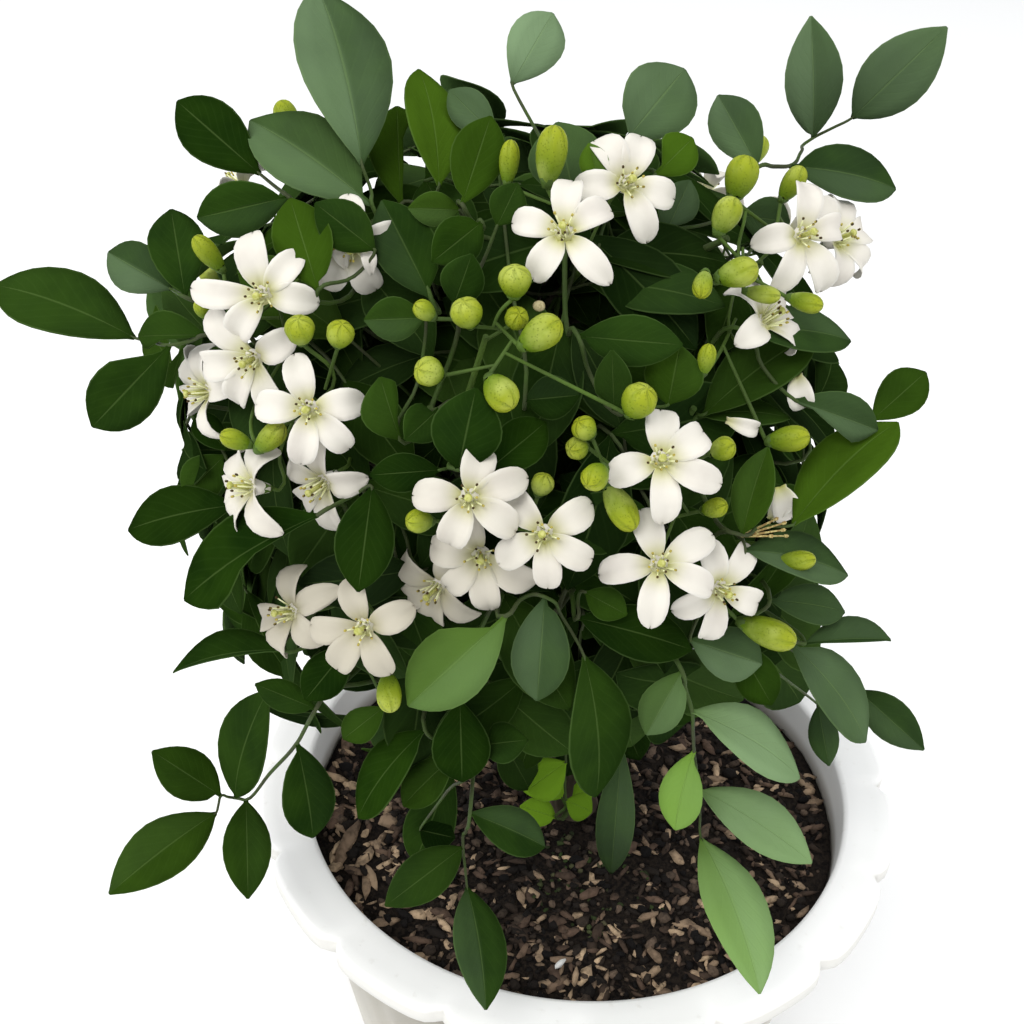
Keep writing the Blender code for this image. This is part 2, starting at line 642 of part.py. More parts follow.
def bloom_seen(row, deeper):
    """A bloom from its row of pixels, with any petal that is hidden put in the widest gap."""
    name, head, u, v, deep, facing, tips = row
    throat = on_crown(u, v, deep + deeper)
    axis = (VIEW_RIGHT * facing[0] + VIEW_UP * facing[1] - VIEW_AHEAD).normalized()
    side = axis.orthogonal().normalized()
    petals = [petal_turn(throat, axis, side, (tip[0] - u, tip[1] - v)) for tip in tips]
    while len(petals) < PETALS:
        turns = sorted(turn for turn, length in petals)
        gaps = [(turns[(i + 1) % len(turns)] - turns[i]) % math.tau for i in range(len(turns))]
        widest = max(range(len(gaps)), key=gaps.__getitem__)
        petals.append(((turns[widest] + gaps[widest] / 2) % math.tau, sum(PETAL_LENGTH) / 2))
    return Bloom(name, head, throat, axis, side, spread_petals(petals))


def far_bloom(name, head, spot, axis, spin, deeper):
    length = sum(PETAL_LENGTH) / 2
    petals = [((spin + index * math.tau / PETALS) % math.tau, length) for index in range(PETALS)]
    throat = spot - axis * (deeper * MM)
    return Bloom(name, head, throat, axis, axis.orthogonal().normalized(), petals)


def settle_bloom(plan, make):
    """Places a bloom at the first depth where it touches nothing."""
    for deeper in (0, 2, 4, 6, 8, 10, -2, -4, 12, 15, 18, 21):
        bloom = make(deeper)
        if all(plan.garden.clear(part) for part, group in bloom.parts()):
            for part, group in bloom.parts():
                plan.garden.add(part, group)
            plan.blooms.append(bloom)
            return


def around_far_head(direction, count, phase, share, spread):
    """Places in a ring round a far head, each with the head's way out and its own."""
    out = Vector(direction).normalized()
    side = out.cross(UP).normalized()
    for index in range(count):
        turn = index * math.tau / count + phase
        around = side * math.cos(turn) + UP * math.sin(turn)
        yield crown_point(out, share) + around * spread, out, around


def place_blooms(plan):
    for row in BLOOMS:
        settle_bloom(plan, lambda deeper, row=row: bloom_seen(row, deeper))
    draw = random.Random(FILL_SEED)
    for head, direction in FAR_HEADS:
        ring = around_far_head(direction, FAR_BLOOMS, 0.4, 0.98, 0.0185)
        for index, (spot, out, around) in enumerate(ring):
            axis = (out + around * 0.35).normalized()
            spin = draw.uniform(0, math.tau)
            name = f"{head}_{index + 1}"
            settle_bloom(plan, lambda deeper: far_bloom(name, head, spot, axis, spin, deeper))


def bud_seen(row, deeper):
    head, u, v, deep, length, width, pointing = row
    centre = on_crown(u, v, deep + deeper)
    size = pixel_size(centre)
    axis = VIEW_RIGHT * pointing[0] + VIEW_UP * pointing[1] - VIEW_AHEAD * 0.35
    return Bud(centre, axis, length * size, width * size)


def place_buds(plan):
    """Buds by the photograph, then some on the far heads."""
    for row in BUDS:
        name = f"bud_{row[1]}_{row[2]}"
        for deeper in (0, 3, 6, -3, 9, 12):
            bud = bud_seen(row, deeper)
            if plan.garden.clear(bud):
                plan.garden.add(bud, name)
                plan.buds.append((row[0], name, bud))
                break
    for head, direction in FAR_HEADS:
        for index, (spot, out, around) in enumerate(around_far_head(direction, FAR_BUDS, 1.5, 0.97, 0.030)):
            bud = Bud(spot, out + around * 0.6, 0.011, 0.007)
            name = f"bud_{head}_{index}"
            if plan.garden.clear(bud):
                plan.garden.add(bud, name)
                plan.buds.append((head, name, bud))


def stalk_options(start, end, leave):
    """Paths from start to end, the straightest first."""
    span = (end - start).length
    run = (end - start).normalized()
    side = run.cross(leave if leave.cross(run).length > 0.05 else UP).normalized()
    lift = side.cross(run)
    yield [start, end]
    for sway, rise in STALK_BENDS:
        yield [start, start.lerp(end, 0.5) + side * (sway * span) + lift * (rise * span), end]


def bloom_stalk_options(start, foot, axis):
    """Paths that reach a bloom's foot along its axis."""
    for knee in KNEES:
        for path in stalk_options(start, foot - axis * knee, axis):
            yield path + [foot]


def bud_stalk_options(start, foot, axis):
    """Paths to a bud's foot that do not turn back on its axis."""
    for path in stalk_options(start, foot, axis):
        if (foot - path[-2]).normalized().dot(axis) > BUD_STALK_FLEX:
            yield path


def settle_stalk(plan, paths, radius, group, own, beside=()):
    for path in paths:
        tube = Tube(path, radius)
        if plan.garden.clear(tube, own, beside):
            plan.garden.add(tube, group)
            return tube
    return None


def head_hubs():
    hubs = {name: on_crown(u, v, deep) for name, u, v, deep in HEADS}
    for name, direction in FAR_HEADS:
        hubs[name] = crown_point(Vector(direction).normalized(), 0.82)
    return hubs


def head_ends(plan, name, hub):
    """What a head's stalks lead to, nearest the hub first: a bloom's foot or a bud with its foot."""
    ends = [("throat_" + bloom.name, bloom.foot - bloom.axis * FIT_GAP, bloom.axis, None)
            for bloom in plan.blooms if bloom.head == name]
    ends += [(bud_name, bud.foot, bud.axis, bud) for head, bud_name, bud in plan.buds if head == name]
    return sorted(ends, key=lambda end: (end[1] - hub).length)


def place_heads(plan):
    """The stalks of each flower head: one from a twig to the hub, and one to each bloom and bud."""
    for name, hub in head_hubs().items():
        group = "head_" + name
        start = add_twig(plan, group, hub, HEAD_STALK_RADIUS)
        own = {group, "twig_" + group}
        stalk = settle_stalk(plan, stalk_options(start, hub, UP), HEAD_STALK_RADIUS, group, own)
        parts = [stalk]
        forks = [stalk.path[-2].lerp(hub, share) for share in (0.4, 0.6, 0.8, 0.95)]
        for what, end, axis, bud in head_ends(plan, name, hub):
            forks.sort(key=lambda fork: (fork - end).length)
            for fork in list(forks):
                options = (bud_stalk_options if bud else bloom_stalk_options)(fork, end, axis)
                pedicel = settle_stalk(plan, options, PEDICEL_RADIUS, group, own | {what})
                if pedicel is not None:
                    break
            else:
                continue
            forks.remove(fork)
            forks += [pedicel.path[0].lerp(pedicel.path[1], share) for share in (0.35, 0.7)]
            parts.append(pedicel)
            if bud:
                pedicel.path = pedicel.path[:-1] + bud.path
                pedicel.radii = pedicel.radii[:-1] + bud.radii
        plan.heads[name] = parts


def seen_leaflet(row, deeper, push):
    """A leaflet's base, tip, width and facing, from two pixels and its width in pixels.

    A leaflet that looks narrow for its length is turned about its midrib.
    """
    u, v, tip_u, tip_v, width, deep = row
    base = on_crown(u, v, deep + LEAF_BASE_DEPTH + deeper)
    tip = on_crown(tip_u, tip_v, deep + deeper + push)
    along = (tip - base).normalized()
    seen = width * pixel_size(base.lerp(tip, 0.5))
    true = max(seen, LEAFLET_RATIO * (tip - base).length)
    toward = (VIEW_EYE - base).normalized()
    toward = (toward - along * toward.dot(along)).normalized()
    sideways = UP - along * UP.dot(along)
    sideways -= toward * sideways.dot(toward)
    roll = math.acos(min(1.0, seen / true)) if sideways.length > 0.05 else 0.0
    return base, tip, true, toward * math.cos(roll) + sideways.normalized() * math.sin(roll)


def filling_leaflet(row, deeper, push):
    """A leaflet of a leaf that is placed by rule, sunk into the crown by deeper."""
    base, heading, length, facing = row
    base = base - facing * (deeper * MM * 0.6)
    return base, base + heading * length - facing * (push * MM * 0.6), length * LEAFLET_RATIO, facing


def spaced(specs):
    """Moves the bases of leaflets apart where they would grow from one spot of the rachis."""
    moved = []
    for base, tip, width, facing in specs:
        if moved and TOUCHING < (base - moved[-1][0]).length < LEAFLET_SPACING:
            run = base - moved[-2][0] if len(moved) > 1 else base - CROWN_CENTRE
            base = moved[-1][0] + run.normalized() * LEAFLET_SPACING
        moved.append((base, tip, width, facing))
    return moved


def outer_parts(blades):
    """Trees of the blades without their necks, to test their own stalks against."""
    return [BVHTree.FromPolygons(*blade.skin(CLEARANCE / 2, BLADE_NECK)) for blade in blades]


def stalk_tubes(spots):
    return [Tube([a, b], PETIOLE_RADIUS) for a, b in zip(spots, spots[1:]) if (b - a).length > TOUCHING]


def rachis_run(spots, index):
    """The way the rachis runs past a spot, from its neighbours that lie elsewhere."""
    before = [spot for spot in spots[:index] if (spot - spots[index]).length > TOUCHING]
    after = [spot for spot in spots[index + 1:] if (spot - spots[index]).length > TOUCHING]
    return ((after or spots[index:])[0] - (before or [spots[index]])[-1]).normalized()


def try_leaf(plan, rows, leaflet, deeper):
    """Blades for as many leaflets as find room with the leaf at one depth."""
    bases = spaced([leaflet(row, deeper, 0) for row in rows])
    spots = [base for base, *rest in bases]
    beside = [BVHTree.FromPolygons(*tube.skin()) for tube in stalk_tubes(spots)]
    blades = []
    for index, (row, base) in enumerate(zip(rows, spots)):
        for push in (0, 3, 6, -3, 9, -6, 12, 16):
            tip, width, facing = leaflet(row, deeper, push)[1:]
            blade = Blade(base, tip, width, facing, (tip - base).length * LEAFLET_ARCH)
            if index + 1 < len(spots):
                blade.lean_off(rachis_run(spots, index))
            outer = outer_parts([blade])[0]
            if plan.garden.clear(blade) and not any(outer.overlap(other) for other in beside):
                beside.append(outer)
                blades.append(blade)
                break
    return blades


class Leaf:
    """A compound leaf: the path of its stalk and the leaflets along it, the last at its end."""

    def __init__(self, path, blades):
        self.path = path
        self.blades = blades

    def stalks(self):
        return stalk_tubes(self.path + [blade.base for blade in self.blades])


def sound_leaf(leaf):
    """The leaf without the leaflets that make it cross itself, or None."""
    while crosses_itself(leaf):
        if len(leaf.blades) == 1:
            return None
        count = len(leaf.blades)
        trials = [Leaf(leaf.path, leaf.blades[:skip] + leaf.blades[skip + 1:]) for skip in range(1, count)]
        good = [trial for trial in trials if not crosses_itself(trial)]
        leaf = (good or trials)[-1]
    return leaf


def join_leaf(plan, shoot, blades):
    """A leaf with as many of the blades as it can keep, on a stalk that finds its way to the stem."""
    stem = plan.stems[shoot]
    own = {"stem_" + shoot, "petiole_" + shoot}
    foot = blades[0].base
    ahead = blades[-1].base - foot
    if ahead.length < TOUCHING:
        ahead = blades[-1].along
    outer = outer_parts(blades)
    joined = blades[:1]
    for blade in blades[1:]:
        if all(plan.garden.clear(tube, own, outer) for tube in stalk_tubes([joined[-1].base, blade.base])):
            joined.append(blade)
    roots = [stem.path[0].lerp(stem.path[1], share) for share in LEAF_ROOTS]
    best = None
    trials = 0
    for root in sorted(roots, key=lambda root: (root - foot).length):
        for path in stalk_options(root, foot, crown_normal(foot)):
            petiole = Tube(path, PETIOLE_RADIUS)
            if (foot - path[-2]).dot(ahead) < 0 or not plan.garden.clear(petiole, own, outer):
                continue
            leaf = sound_leaf(Leaf(path[:-1], joined))
            trials += 1
            if leaf and (best is None or len(leaf.blades) > len(best.blades)):
                best = leaf
            if trials == PETIOLE_TRIALS or leaf and len(leaf.blades) == len(joined):
                return best
    return best


def place_leaf(plan, shoots, leaf_name, rows, leaflet):
    """Settles a compound leaf where most of its leaflets find room, on the first shoot it reaches."""
    best = None
    for shoot in shoots:
        for deeper in LEAF_DEPTHS:
            blades = try_leaf(plan, rows, leaflet, deeper)
            leaf = join_leaf(plan, shoot, blades) if blades else None
            if leaf and (best is None or len(leaf.blades) > len(best.blades)):
                best = leaf
                home = shoot
            if best and len(best.blades) == len(rows):
                break
        if best and len(best.blades) >= len(rows) - 1:
            break
    if best is None:
        return
    for stalk in best.stalks():
        plan.garden.add(stalk, "petiole_" + home)
    for blade in best.blades:
        plan.garden.add(blade, "leaf_" + leaf_name)
    plan.shoots[home].append(best)


def near_shoots(plan, spot):
    """The shoots, the one whose stem ends nearest to a spot first."""
    names = [name for name in plan.stems if name != "young"]
    return sorted(names, key=lambda name: (plan.stems[name].path[-1] - spot).length)


def place_seen_leaves(plan):
    for index, (shoot, rows) in enumerate(LEAVES):
        others = [name for name in near_shoots(plan, on_crown(*rows[0][:2], rows[0][5])) if name != shoot]
        place_leaf(plan, [shoot] + others[:2], f"{shoot}_{index}", rows, seen_leaflet)


def filling_rows(spot, run, out, length):
    """Pairs of leaflets along a rachis that leaves spot along run, and one at its end."""
    side = run.cross(out).normalized()
    rows = []
    for index in range(2 * FILL_PAIRS + 1):
        share = (index // 2) / FILL_PAIRS
        hand = 1 if index % 2 else -1
        base = spot + run * (FILL_RACHIS * share) + out * (FILL_RACHIS * 0.2 * math.sin(share * 2.2))
        heading = run if share == 1.0 else (run * 0.55 + side * hand).normalized()
        size = length * (0.85 + 0.25 * math.sin(math.pi * (0.25 + 0.6 * share)))
        rows.append((base, (heading - UP * 0.25 * share).normalized(), size, out))
    return rows


def seen_pixel(point):
    """The pixel of the photograph that a point falls on."""
    offset = point - VIEW_EYE
    scale = VIEW_FOCAL / offset.dot(VIEW_AHEAD)
    return VIEW_CENTRE + offset.dot(VIEW_RIGHT) * scale, VIEW_CENTRE - offset.dot(VIEW_UP) * scale


def inside_outline(point):
    u, v = seen_pixel(point)
    for (top, left, right), (foot, foot_left, foot_right) in zip(FILL_OUTLINE, FILL_OUTLINE[1:]):
        if top <= v <= foot:
            share = (v - top) / (foot - top)
            return left + (foot_left - left) * share <= u <= right + (foot_right - right) * share
    return False


def place_filling_leaves(plan):
    """Leaves over the sides, top and back of the crown, and some inside its front."""
    draw = random.Random(FILL_SEED)
    golden = math.pi * (3 - math.sqrt(5))
    for index in range(FILL_PLACES):
        height = 1 - 2 * (index + 0.5) / FILL_PLACES
        ring = math.sqrt(1 - height * height)
        out = Vector((ring * math.cos(index * golden), ring * math.sin(index * golden), height))
        if height < FILL_LOWEST:
            continue
        outward = crown_normal(crown_point(out, 1.0))
        swirl = draw.uniform(0, math.tau)
        size = FILL_LEAFLET * draw.uniform(0.9, 1.1)
        side = outward.cross(UP).normalized()
        rise = side.cross(outward)
        run = (side * math.cos(swirl) + rise * math.sin(swirl) * 0.7 + outward * 0.45).normalized()
        facing = outward + UP * 0.5
        facing = (facing - run * facing.dot(run)).normalized()
        in_front = out.dot((VIEW_EYE - CROWN_CENTRE).normalized()) > FILL_FRONT
        for share in FILL_INNER if in_front else FILL_OUTER:
            spot = crown_point(out, share) - run * (FILL_RACHIS * 0.6)
            rows = [row for row in filling_rows(spot, run, facing, size)
                    if inside_outline(row[0] + row[1] * row[2])]
            if len(rows) >= FILL_FEWEST:
                place_leaf(plan, near_shoots(plan, spot)[:2], f"fill_{index}", rows, filling_leaflet)
                break


def young_leaflet(row, deeper, push):
    """A leaflet of the young shoot, on an upright plane in front of the trunk."""
    u, v, tip_u, tip_v, width = row
    base = on_plane(u, v, YOUNG_NEAR)
    tip = on_plane(tip_u, tip_v, YOUNG_NEAR + push * MM)
    return base, tip, width * pixel_size(tip), UP * 0.6 - VIEW_AHEAD


def place_young_shoot(plan):
    """The small bright shoot on the trunk's foot, its stem a stub that leans out over the soil."""
    crook = on_plane(*YOUNG_CROOK, YOUNG_NEAR)
    crook.z = max(crook.z, SOIL_TOP + YOUNG_RISE)
    out = Vector((crook.x, crook.y, 0.0)).normalized()
    root = out * (TRUNK_RADIUS + FIT_GAP) + UP * (crook.z - YOUNG_RISE / 2)
    plan.stems["young"] = Tube([root, crook], STEM_RADIUS * 0.8)
    plan.shoots["young"] = [plan.stems["young"]]
    kept = plan.garden.placed
    plan.garden.placed = [item for item in kept if item[0] != "pot"]
    place_leaf(plan, ["young"], "young", YOUNG_LEAFLETS, young_leaflet)
    plan.garden.placed += [item for item in kept if item[0] == "pot"]


def make_plan():
    plan = Plan()
    place_woody_parts(plan)
    place_blooms(plan)
    place_buds(plan)
    place_heads(plan)
    place_stems(plan)
    place_young_shoot(plan)
    place_seen_leaves(plan)
    place_filling_leaves(plan)
    return plan


def clear_scene():
    for obj in list(bpy.data.objects):
        bpy.data.objects.remove(obj, do_unlink=True)


def material(name, colour, roughness, metallic=0.0):
    mat = bpy.data.materials.new(name)
    mat.use_nodes = True
    shader = mat.node_tree.nodes["Principled BSDF"]
    shader.inputs["Base Color"].default_value = (*colour, 1.0)
    shader.inputs["Roughness"].default_value = roughness
    shader.inputs["Metallic"].default_value = metallic
    mat.diffuse_color = (*colour, 1.0)
    return mat


def mesh_object(name, mesh, collection, mat=None):
    obj = bpy.data.objects.new(name, mesh)
    collection.objects.link(obj)
    if mat is not None:
        mesh.materials.append(mat)
    return obj


class Sheet:
    """A thin sheet grown by extruding its edges; each vertex knows which way its face looks."""

    def __init__(self):
        self.bm = bmesh.new()
        self.up = self.bm.verts.layers.float_vector.new("up")

    def vertex(self, point, up):
        vert = self.bm.verts.new(point)
        vert[self.up] = up
        return vert

    def grow(self, pair, left, right, up):
        """Extrudes the edge between a pair of vertices to a new pair."""
        made = bmesh.ops.extrude_edge_only(self.bm, edges=[self.bm.edges.get(pair)])
        new = [item for item in made["geom"] if isinstance(item, bmesh.types.BMVert)]
        new.sort(key=lambda vert: not any(edge.other_vert(vert) is pair[0] for edge in vert.link_edges))
        for vert, spot in zip(new, (left, right)):
            vert.co = spot
            vert[self.up] = up
        return tuple(new)

    def close(self, pair, tip, up):
        """Grows the edge between a pair of vertices to a point."""
        a, b = self.grow(pair, tip, tip, up)
        bmesh.ops.pointmerge(self.bm, verts=[a, b], merge_co=tip)

    def thicken(self, thickness):
        """A closed solid: the sheet's triangles on both faces and a wall round its edge."""
        bm = self.bm
        bmesh.ops.triangulate(bm, faces=bm.faces[:])
        geom = bm.verts[:] + bm.edges[:] + bm.faces[:]
        made = bmesh.ops.extrude_face_region(bm, geom=geom, use_keep_orig=True)
        raised = {item for item in made["geom"] if isinstance(item, bmesh.types.BMVert)}
        for vert in bm.verts:
            vert.co += vert[self.up] * (thickness / 2 if vert in raised else -thickness / 2)
        bmesh.ops.triangulate(bm, faces=bm.faces[:])
        bmesh.ops.recalc_face_normals(bm, faces=bm.faces[:])
        if bm.calc_volume(signed=True) < 0:
            bmesh.ops.reverse_faces(bm, faces=bm.faces[:])
        return bm


def grow_blade(sheet, pair, out, blade):
    """Grows a blade's rows from an edge of the sheet that faces out, then its point or its blunt end."""
    up = pair[0][sheet.up].copy()
    edge = (pair[1].co - pair[0].co).normalized()
    if edge.cross(out).dot(up) < 0:
        pair = (pair[1], pair[0])
        edge = -edge
    hand = 1 if blade.side.dot(edge) + blade.upright(0.0).dot(up) > 0 else -1
    for t in blade.rows + ((1.0,) if blade.end else ()):
        left, right = blade.half_widths(t)
        corners_at = [blade.middle(t) - blade.side * left, blade.middle(t) + blade.side * right][::hand]
        pair = sheet.grow(pair, *corners_at, blade.upright(t) * hand)
    if blade.end:
        return
    sheet.close(pair, blade.tip, blade.upright(1.0) * hand)


def leaf_solid(leaf):
    """A compound leaf in one sheet: a narrow stalk with leaflets grown from its edges."""
    sheet = Sheet()
    terminal = leaf.blades[-1]
    bases = [blade.base for blade in leaf.blades]
    bases = bases[:1] + [b for a, b in zip(bases, bases[1:]) if (b - a).length > TOUCHING]
    path = leaf.path + bases
    half = PETIOLE_RADIUS
    run = (path[1] - path[0]).normalized()
    facing = sum((blade.normal for blade in leaf.blades), Vector())
    up = facing - run * facing.dot(run)
    up = up.normalized() if up.length > 0.1 else run.orthogonal().normalized()
    pair = None
    rings = []
    for index, point in enumerate(path):
        came = point - path[index - 1] if index else run
        goes = path[index + 1] - point if index + 1 < len(path) else terminal.along
        ahead = (came.normalized() + goes.normalized()).normalized()
        up.rotate(run.rotation_difference(ahead))
        run = ahead
        side = run.cross(up)
        here = [blade for blade in leaf.blades[:-1] if (blade.base - point).length < TOUCHING]
        for offset in [-half, half] if here else [0.0]:
            left = point + run * offset - side * half
            right = point + run * offset + side * half
            if pair is None:
                pair = (sheet.vertex(left, up), sheet.vertex(right, up))
                sheet.bm.edges.new(pair)
            else:
                pair = sheet.grow(pair, left, right, up)
            rings.append(pair)
        for blade in here:
            hand = 1 if blade.along.dot(side) > 0 else -1
            corner = (hand + 1) // 2
            grow_blade(sheet, (rings[-2][corner], rings[-1][corner]), side * hand, blade)
    grow_blade(sheet, pair, run, terminal)
    return sheet.thicken(BLADE_THICKNESS)


def crosses_itself(leaf):
    """Whether two faces of a leaf meet that share no corner."""
    bm = leaf_solid(leaf)
    tree = BVHTree.FromBMesh(bm)
    bm.faces.ensure_lookup_table()
    found = any(not set(bm.faces[a].verts) & set(bm.faces[b].verts) for a, b in tree.overlap(tree) if a < b)
    bm.free()
    return found


def bloom_solid(bloom):
    """A flower in one solid: petals grown from a five-sided disc, with a throat below and a style above."""
    sheet = Sheet()
    made = bmesh.ops.create_circle(sheet.bm, cap_ends=True, cap_tris=True, segments=PETALS, radius=1.0)
    ring = [vert for vert in made["verts"] if vert.co.length > 0.5]
    centre = [vert for vert in sheet.bm.verts if vert.co.length < 0.5]
    ring.sort(key=lambda vert: math.atan2(vert.co.y, vert.co.x) % math.tau)
    turns = [turn for turn, length in bloom.petals]
    for index, vert in enumerate(ring):
        gap = (turns[(index + 1) % PETALS] - turns[index]) % math.tau
        out = bloom.outward(turns[index] + gap / 2)
        vert.co = bloom.throat + out * THROAT_RADIUS
        vert[sheet.up] = bloom.axis
    for vert in centre:
        vert.co = bloom.throat
        vert[sheet.up] = bloom.axis
    for index in range(PETALS):
        grow_blade(sheet, (ring[index - 1], ring[index]), bloom.outward(turns[index]), bloom.blade(index))
    bm = sheet.thicken(PETAL_THICKNESS)
    near = THROAT_RADIUS * 1.05
    for sign, length, taper in ((-1, THROAT_LENGTH, THROAT_TAPER), (1, STYLE_LENGTH, STYLE_TAPER)):
        level = bloom.throat + bloom.axis * (sign * PETAL_THICKNESS / 2)
        disc = [face for face in bm.faces if all((vert.co - level).length < near for vert in face.verts)]
        edges = list({edge for face in disc for edge in face.edges})
        verts = list({vert for face in disc for vert in face.verts})
        raised = bmesh.ops.extrude_face_region(bm, geom=disc + edges + verts)
        for vert in [item for item in raised["geom"] if isinstance(item, bmesh.types.BMVert)]:
            rise = bloom.axis * (sign * (length - PETAL_THICKNESS / 2))
            vert.co = level + (vert.co - level) * taper + rise
    bmesh.ops.triangulate(bm, faces=bm.faces[:])
    bmesh.ops.recalc_face_normals(bm, faces=bm.faces[:])
    return bm


def solid_mesh(name, bm):
    mesh = bpy.data.meshes.new(name)
    bm.to_mesh(mesh)
    bm.free()
    return mesh


def tube_mesh(name, path, radius, resolution, radii=None):
    """A round stalk: a curve with filled caps, turned into a mesh with its caps welded."""
    curve = bpy.data.curves.new(name, "CURVE")
    curve.dimensions = "3D"
    curve.bevel_depth = radius
    curve.bevel_resolution = resolution
    curve.use_fill_caps = True
    spline = curve.splines.new("POLY")
    spline.points.add(len(path) - 1)
    for index, point in enumerate(path):
        spline.points[index].co = (*point, 1.0)
        spline.points[index].radius = radii[index] if radii else 1.0
    guide = bpy.data.objects.new(name, curve)
    bpy.context.scene.collection.objects.link(guide)
    evaluated = guide.evaluated_get(bpy.context.evaluated_depsgraph_get())
    mesh = bpy.data.meshes.new_from_object(evaluated)
    bm = bmesh.new()
    bm.from_mesh(mesh)
    bmesh.ops.remove_doubles(bm, verts=bm.verts[:], dist=0.00001)
    bmesh.ops.triangulate(bm, faces=bm.faces[:])
    bmesh.ops.recalc_face_normals(bm, faces=bm.faces[:])
    bm.to_mesh(mesh)
    bm.free()
    bpy.data.objects.remove(guide, do_unlink=True)
    bpy.data.curves.remove(curve)
    return mesh


def shape_mesh(name, shape):
    if isinstance(shape, Leaf):
        return solid_mesh(name, leaf_solid(shape))
    return tube_mesh(name, shape.path, shape.radius, 0, [radius / shape.radius for radius in shape.radii])


def fuse(name, meshes, collection, mat):
    """Joins meshes that run into each other in one solid."""
    body = mesh_object(name, meshes[0], collection, mat)
    if len(meshes) > 1:
        extras = bpy.data.collections.new(name + "_pieces")
        bpy.context.scene.collection.children.link(extras)
        for index, mesh in enumerate(meshes[1:]):
            mesh_object(f"{name}_piece_{index}", mesh, extras)
        union = body.modifiers.new("join", "BOOLEAN")
        union.operation = "UNION"
        union.operand_type = "COLLECTION"
        union.collection = extras
        union.solver = "MANIFOLD"
        evaluated = body.evaluated_get(bpy.context.evaluated_depsgraph_get())
        joined = bpy.data.meshes.new_from_object(evaluated)
        body.modifiers.clear()
        body.data = joined
        for piece in list(extras.objects):
            bpy.data.objects.remove(piece, do_unlink=True)
        bpy.data.collections.remove(extras)
    keep_main_body(body)
    return body


def keep_main_body(body):
    """Fills a hollow that fusing sealed and drops scraps that hang loose."""
    bm = bmesh.new()
    bm.from_mesh(body.data)
    bmesh.ops.triangulate(bm, faces=bm.faces[:])
    left = set(bm.faces)
    islands = []
    while left:
        front = [left.pop()]
        island = set(front)
        while front:
            face = front.pop()
            for edge in face.edges:
                for other in edge.link_faces:
                    if other in left:
                        left.discard(other)
                        island.add(other)
                        front.append(other)
        islands.append(island)
    main = max(islands, key=len)
    loose = [face for island in islands if island is not main for face in island]
    bmesh.ops.delete(bm, geom=loose, context="FACES")
    bm.to_mesh(body.data)
    bm.free()


def lobed(radius, angle, depth):
    """A radius that dips by depth at each notch between two lobes."""
    return radius - depth * max(0.0, math.cos(angle * LOBES)) ** 2


def build_pot(collection, mat):
    """The pot is one profile turned about Z, then its rim and body are given their lobes."""
    inner_foot = BODY_FOOT_RADIUS - POT_WALL
    inner_top = BODY_TOP_RADIUS - POT_WALL
    under_rim = POT_HEIGHT - RIM_THICKNESS
    profile = [
        (0.0, 0.0), (BODY_FOOT_RADIUS, 0.0), (BODY_FOOT_RADIUS + 0.012, 0.060),
        (BODY_TOP_RADIUS, under_rim), (RIM_RADIUS - LIP_THICKNESS, under_rim),
        (RIM_RADIUS - LIP_THICKNESS, POT_HEIGHT - LIP_DROP), (RIM_RADIUS, POT_HEIGHT - LIP_DROP),
        (RIM_RADIUS, POT_HEIGHT), (RIM_INNER_RADIUS, POT_HEIGHT),
        (inner_top - WALL_EASE, SOIL_TOP - SOIL_CROWN), (inner_foot, POT_FLOOR), (0.0, POT_FLOOR),
    ]
    bm = bmesh.new()
    verts = [bm.verts.new((radius, 0.0, z)) for radius, z in profile]
    edges = [bm.edges.new(pair) for pair in zip(verts, verts[1:])]
    bmesh.ops.spin(bm, geom=verts + edges, cent=(0, 0, 0), axis=UP, dvec=(0, 0, 0), angle=math.tau,
                   steps=POT_STEPS, use_merge=True)
    bmesh.ops.remove_doubles(bm, verts=bm.verts[:], dist=0.00001)
    for vert in bm.verts:
        angle = math.atan2(vert.co.y, vert.co.x)
        radius = math.hypot(vert.co.x, vert.co.y)
        depth = 0.0
        if radius > RIM_RADIUS - 0.003:
            depth = RIM_NOTCH
        elif radius > inner_foot + 0.002 and vert.co.z < under_rim + 0.0001:
            outer = BODY_FOOT_RADIUS + (BODY_TOP_RADIUS - BODY_FOOT_RADIUS) * vert.co.z / under_rim
            depth = FLUTE_DEPTH if radius > outer - 0.001 and vert.co.z > 0.01 else 0.0
        scale = lobed(radius, angle, depth) / radius if radius > 0.001 else 1.0
        vert.co.x *= scale
        vert.co.y *= scale
    bmesh.ops.triangulate(bm, faces=bm.faces[:])
    bmesh.ops.recalc_face_normals(bm, faces=bm.faces[:])
    mesh = bpy.data.meshes.new("pot")
    bm.to_mesh(mesh)
    bm.free()
    return mesh_object("pot", mesh, collection, mat)


def pot_inner_radius(z):
    """The radius of the pot's inner wall below the soil's edge."""
    low = (BODY_FOOT_RADIUS - POT_WALL, POT_FLOOR)
    high = (BODY_TOP_RADIUS - POT_WALL - WALL_EASE, SOIL_TOP - SOIL_CROWN)
    share = (z - low[1]) / (high[1] - low[1])
    return low[0] + (high[0] - low[0]) * share


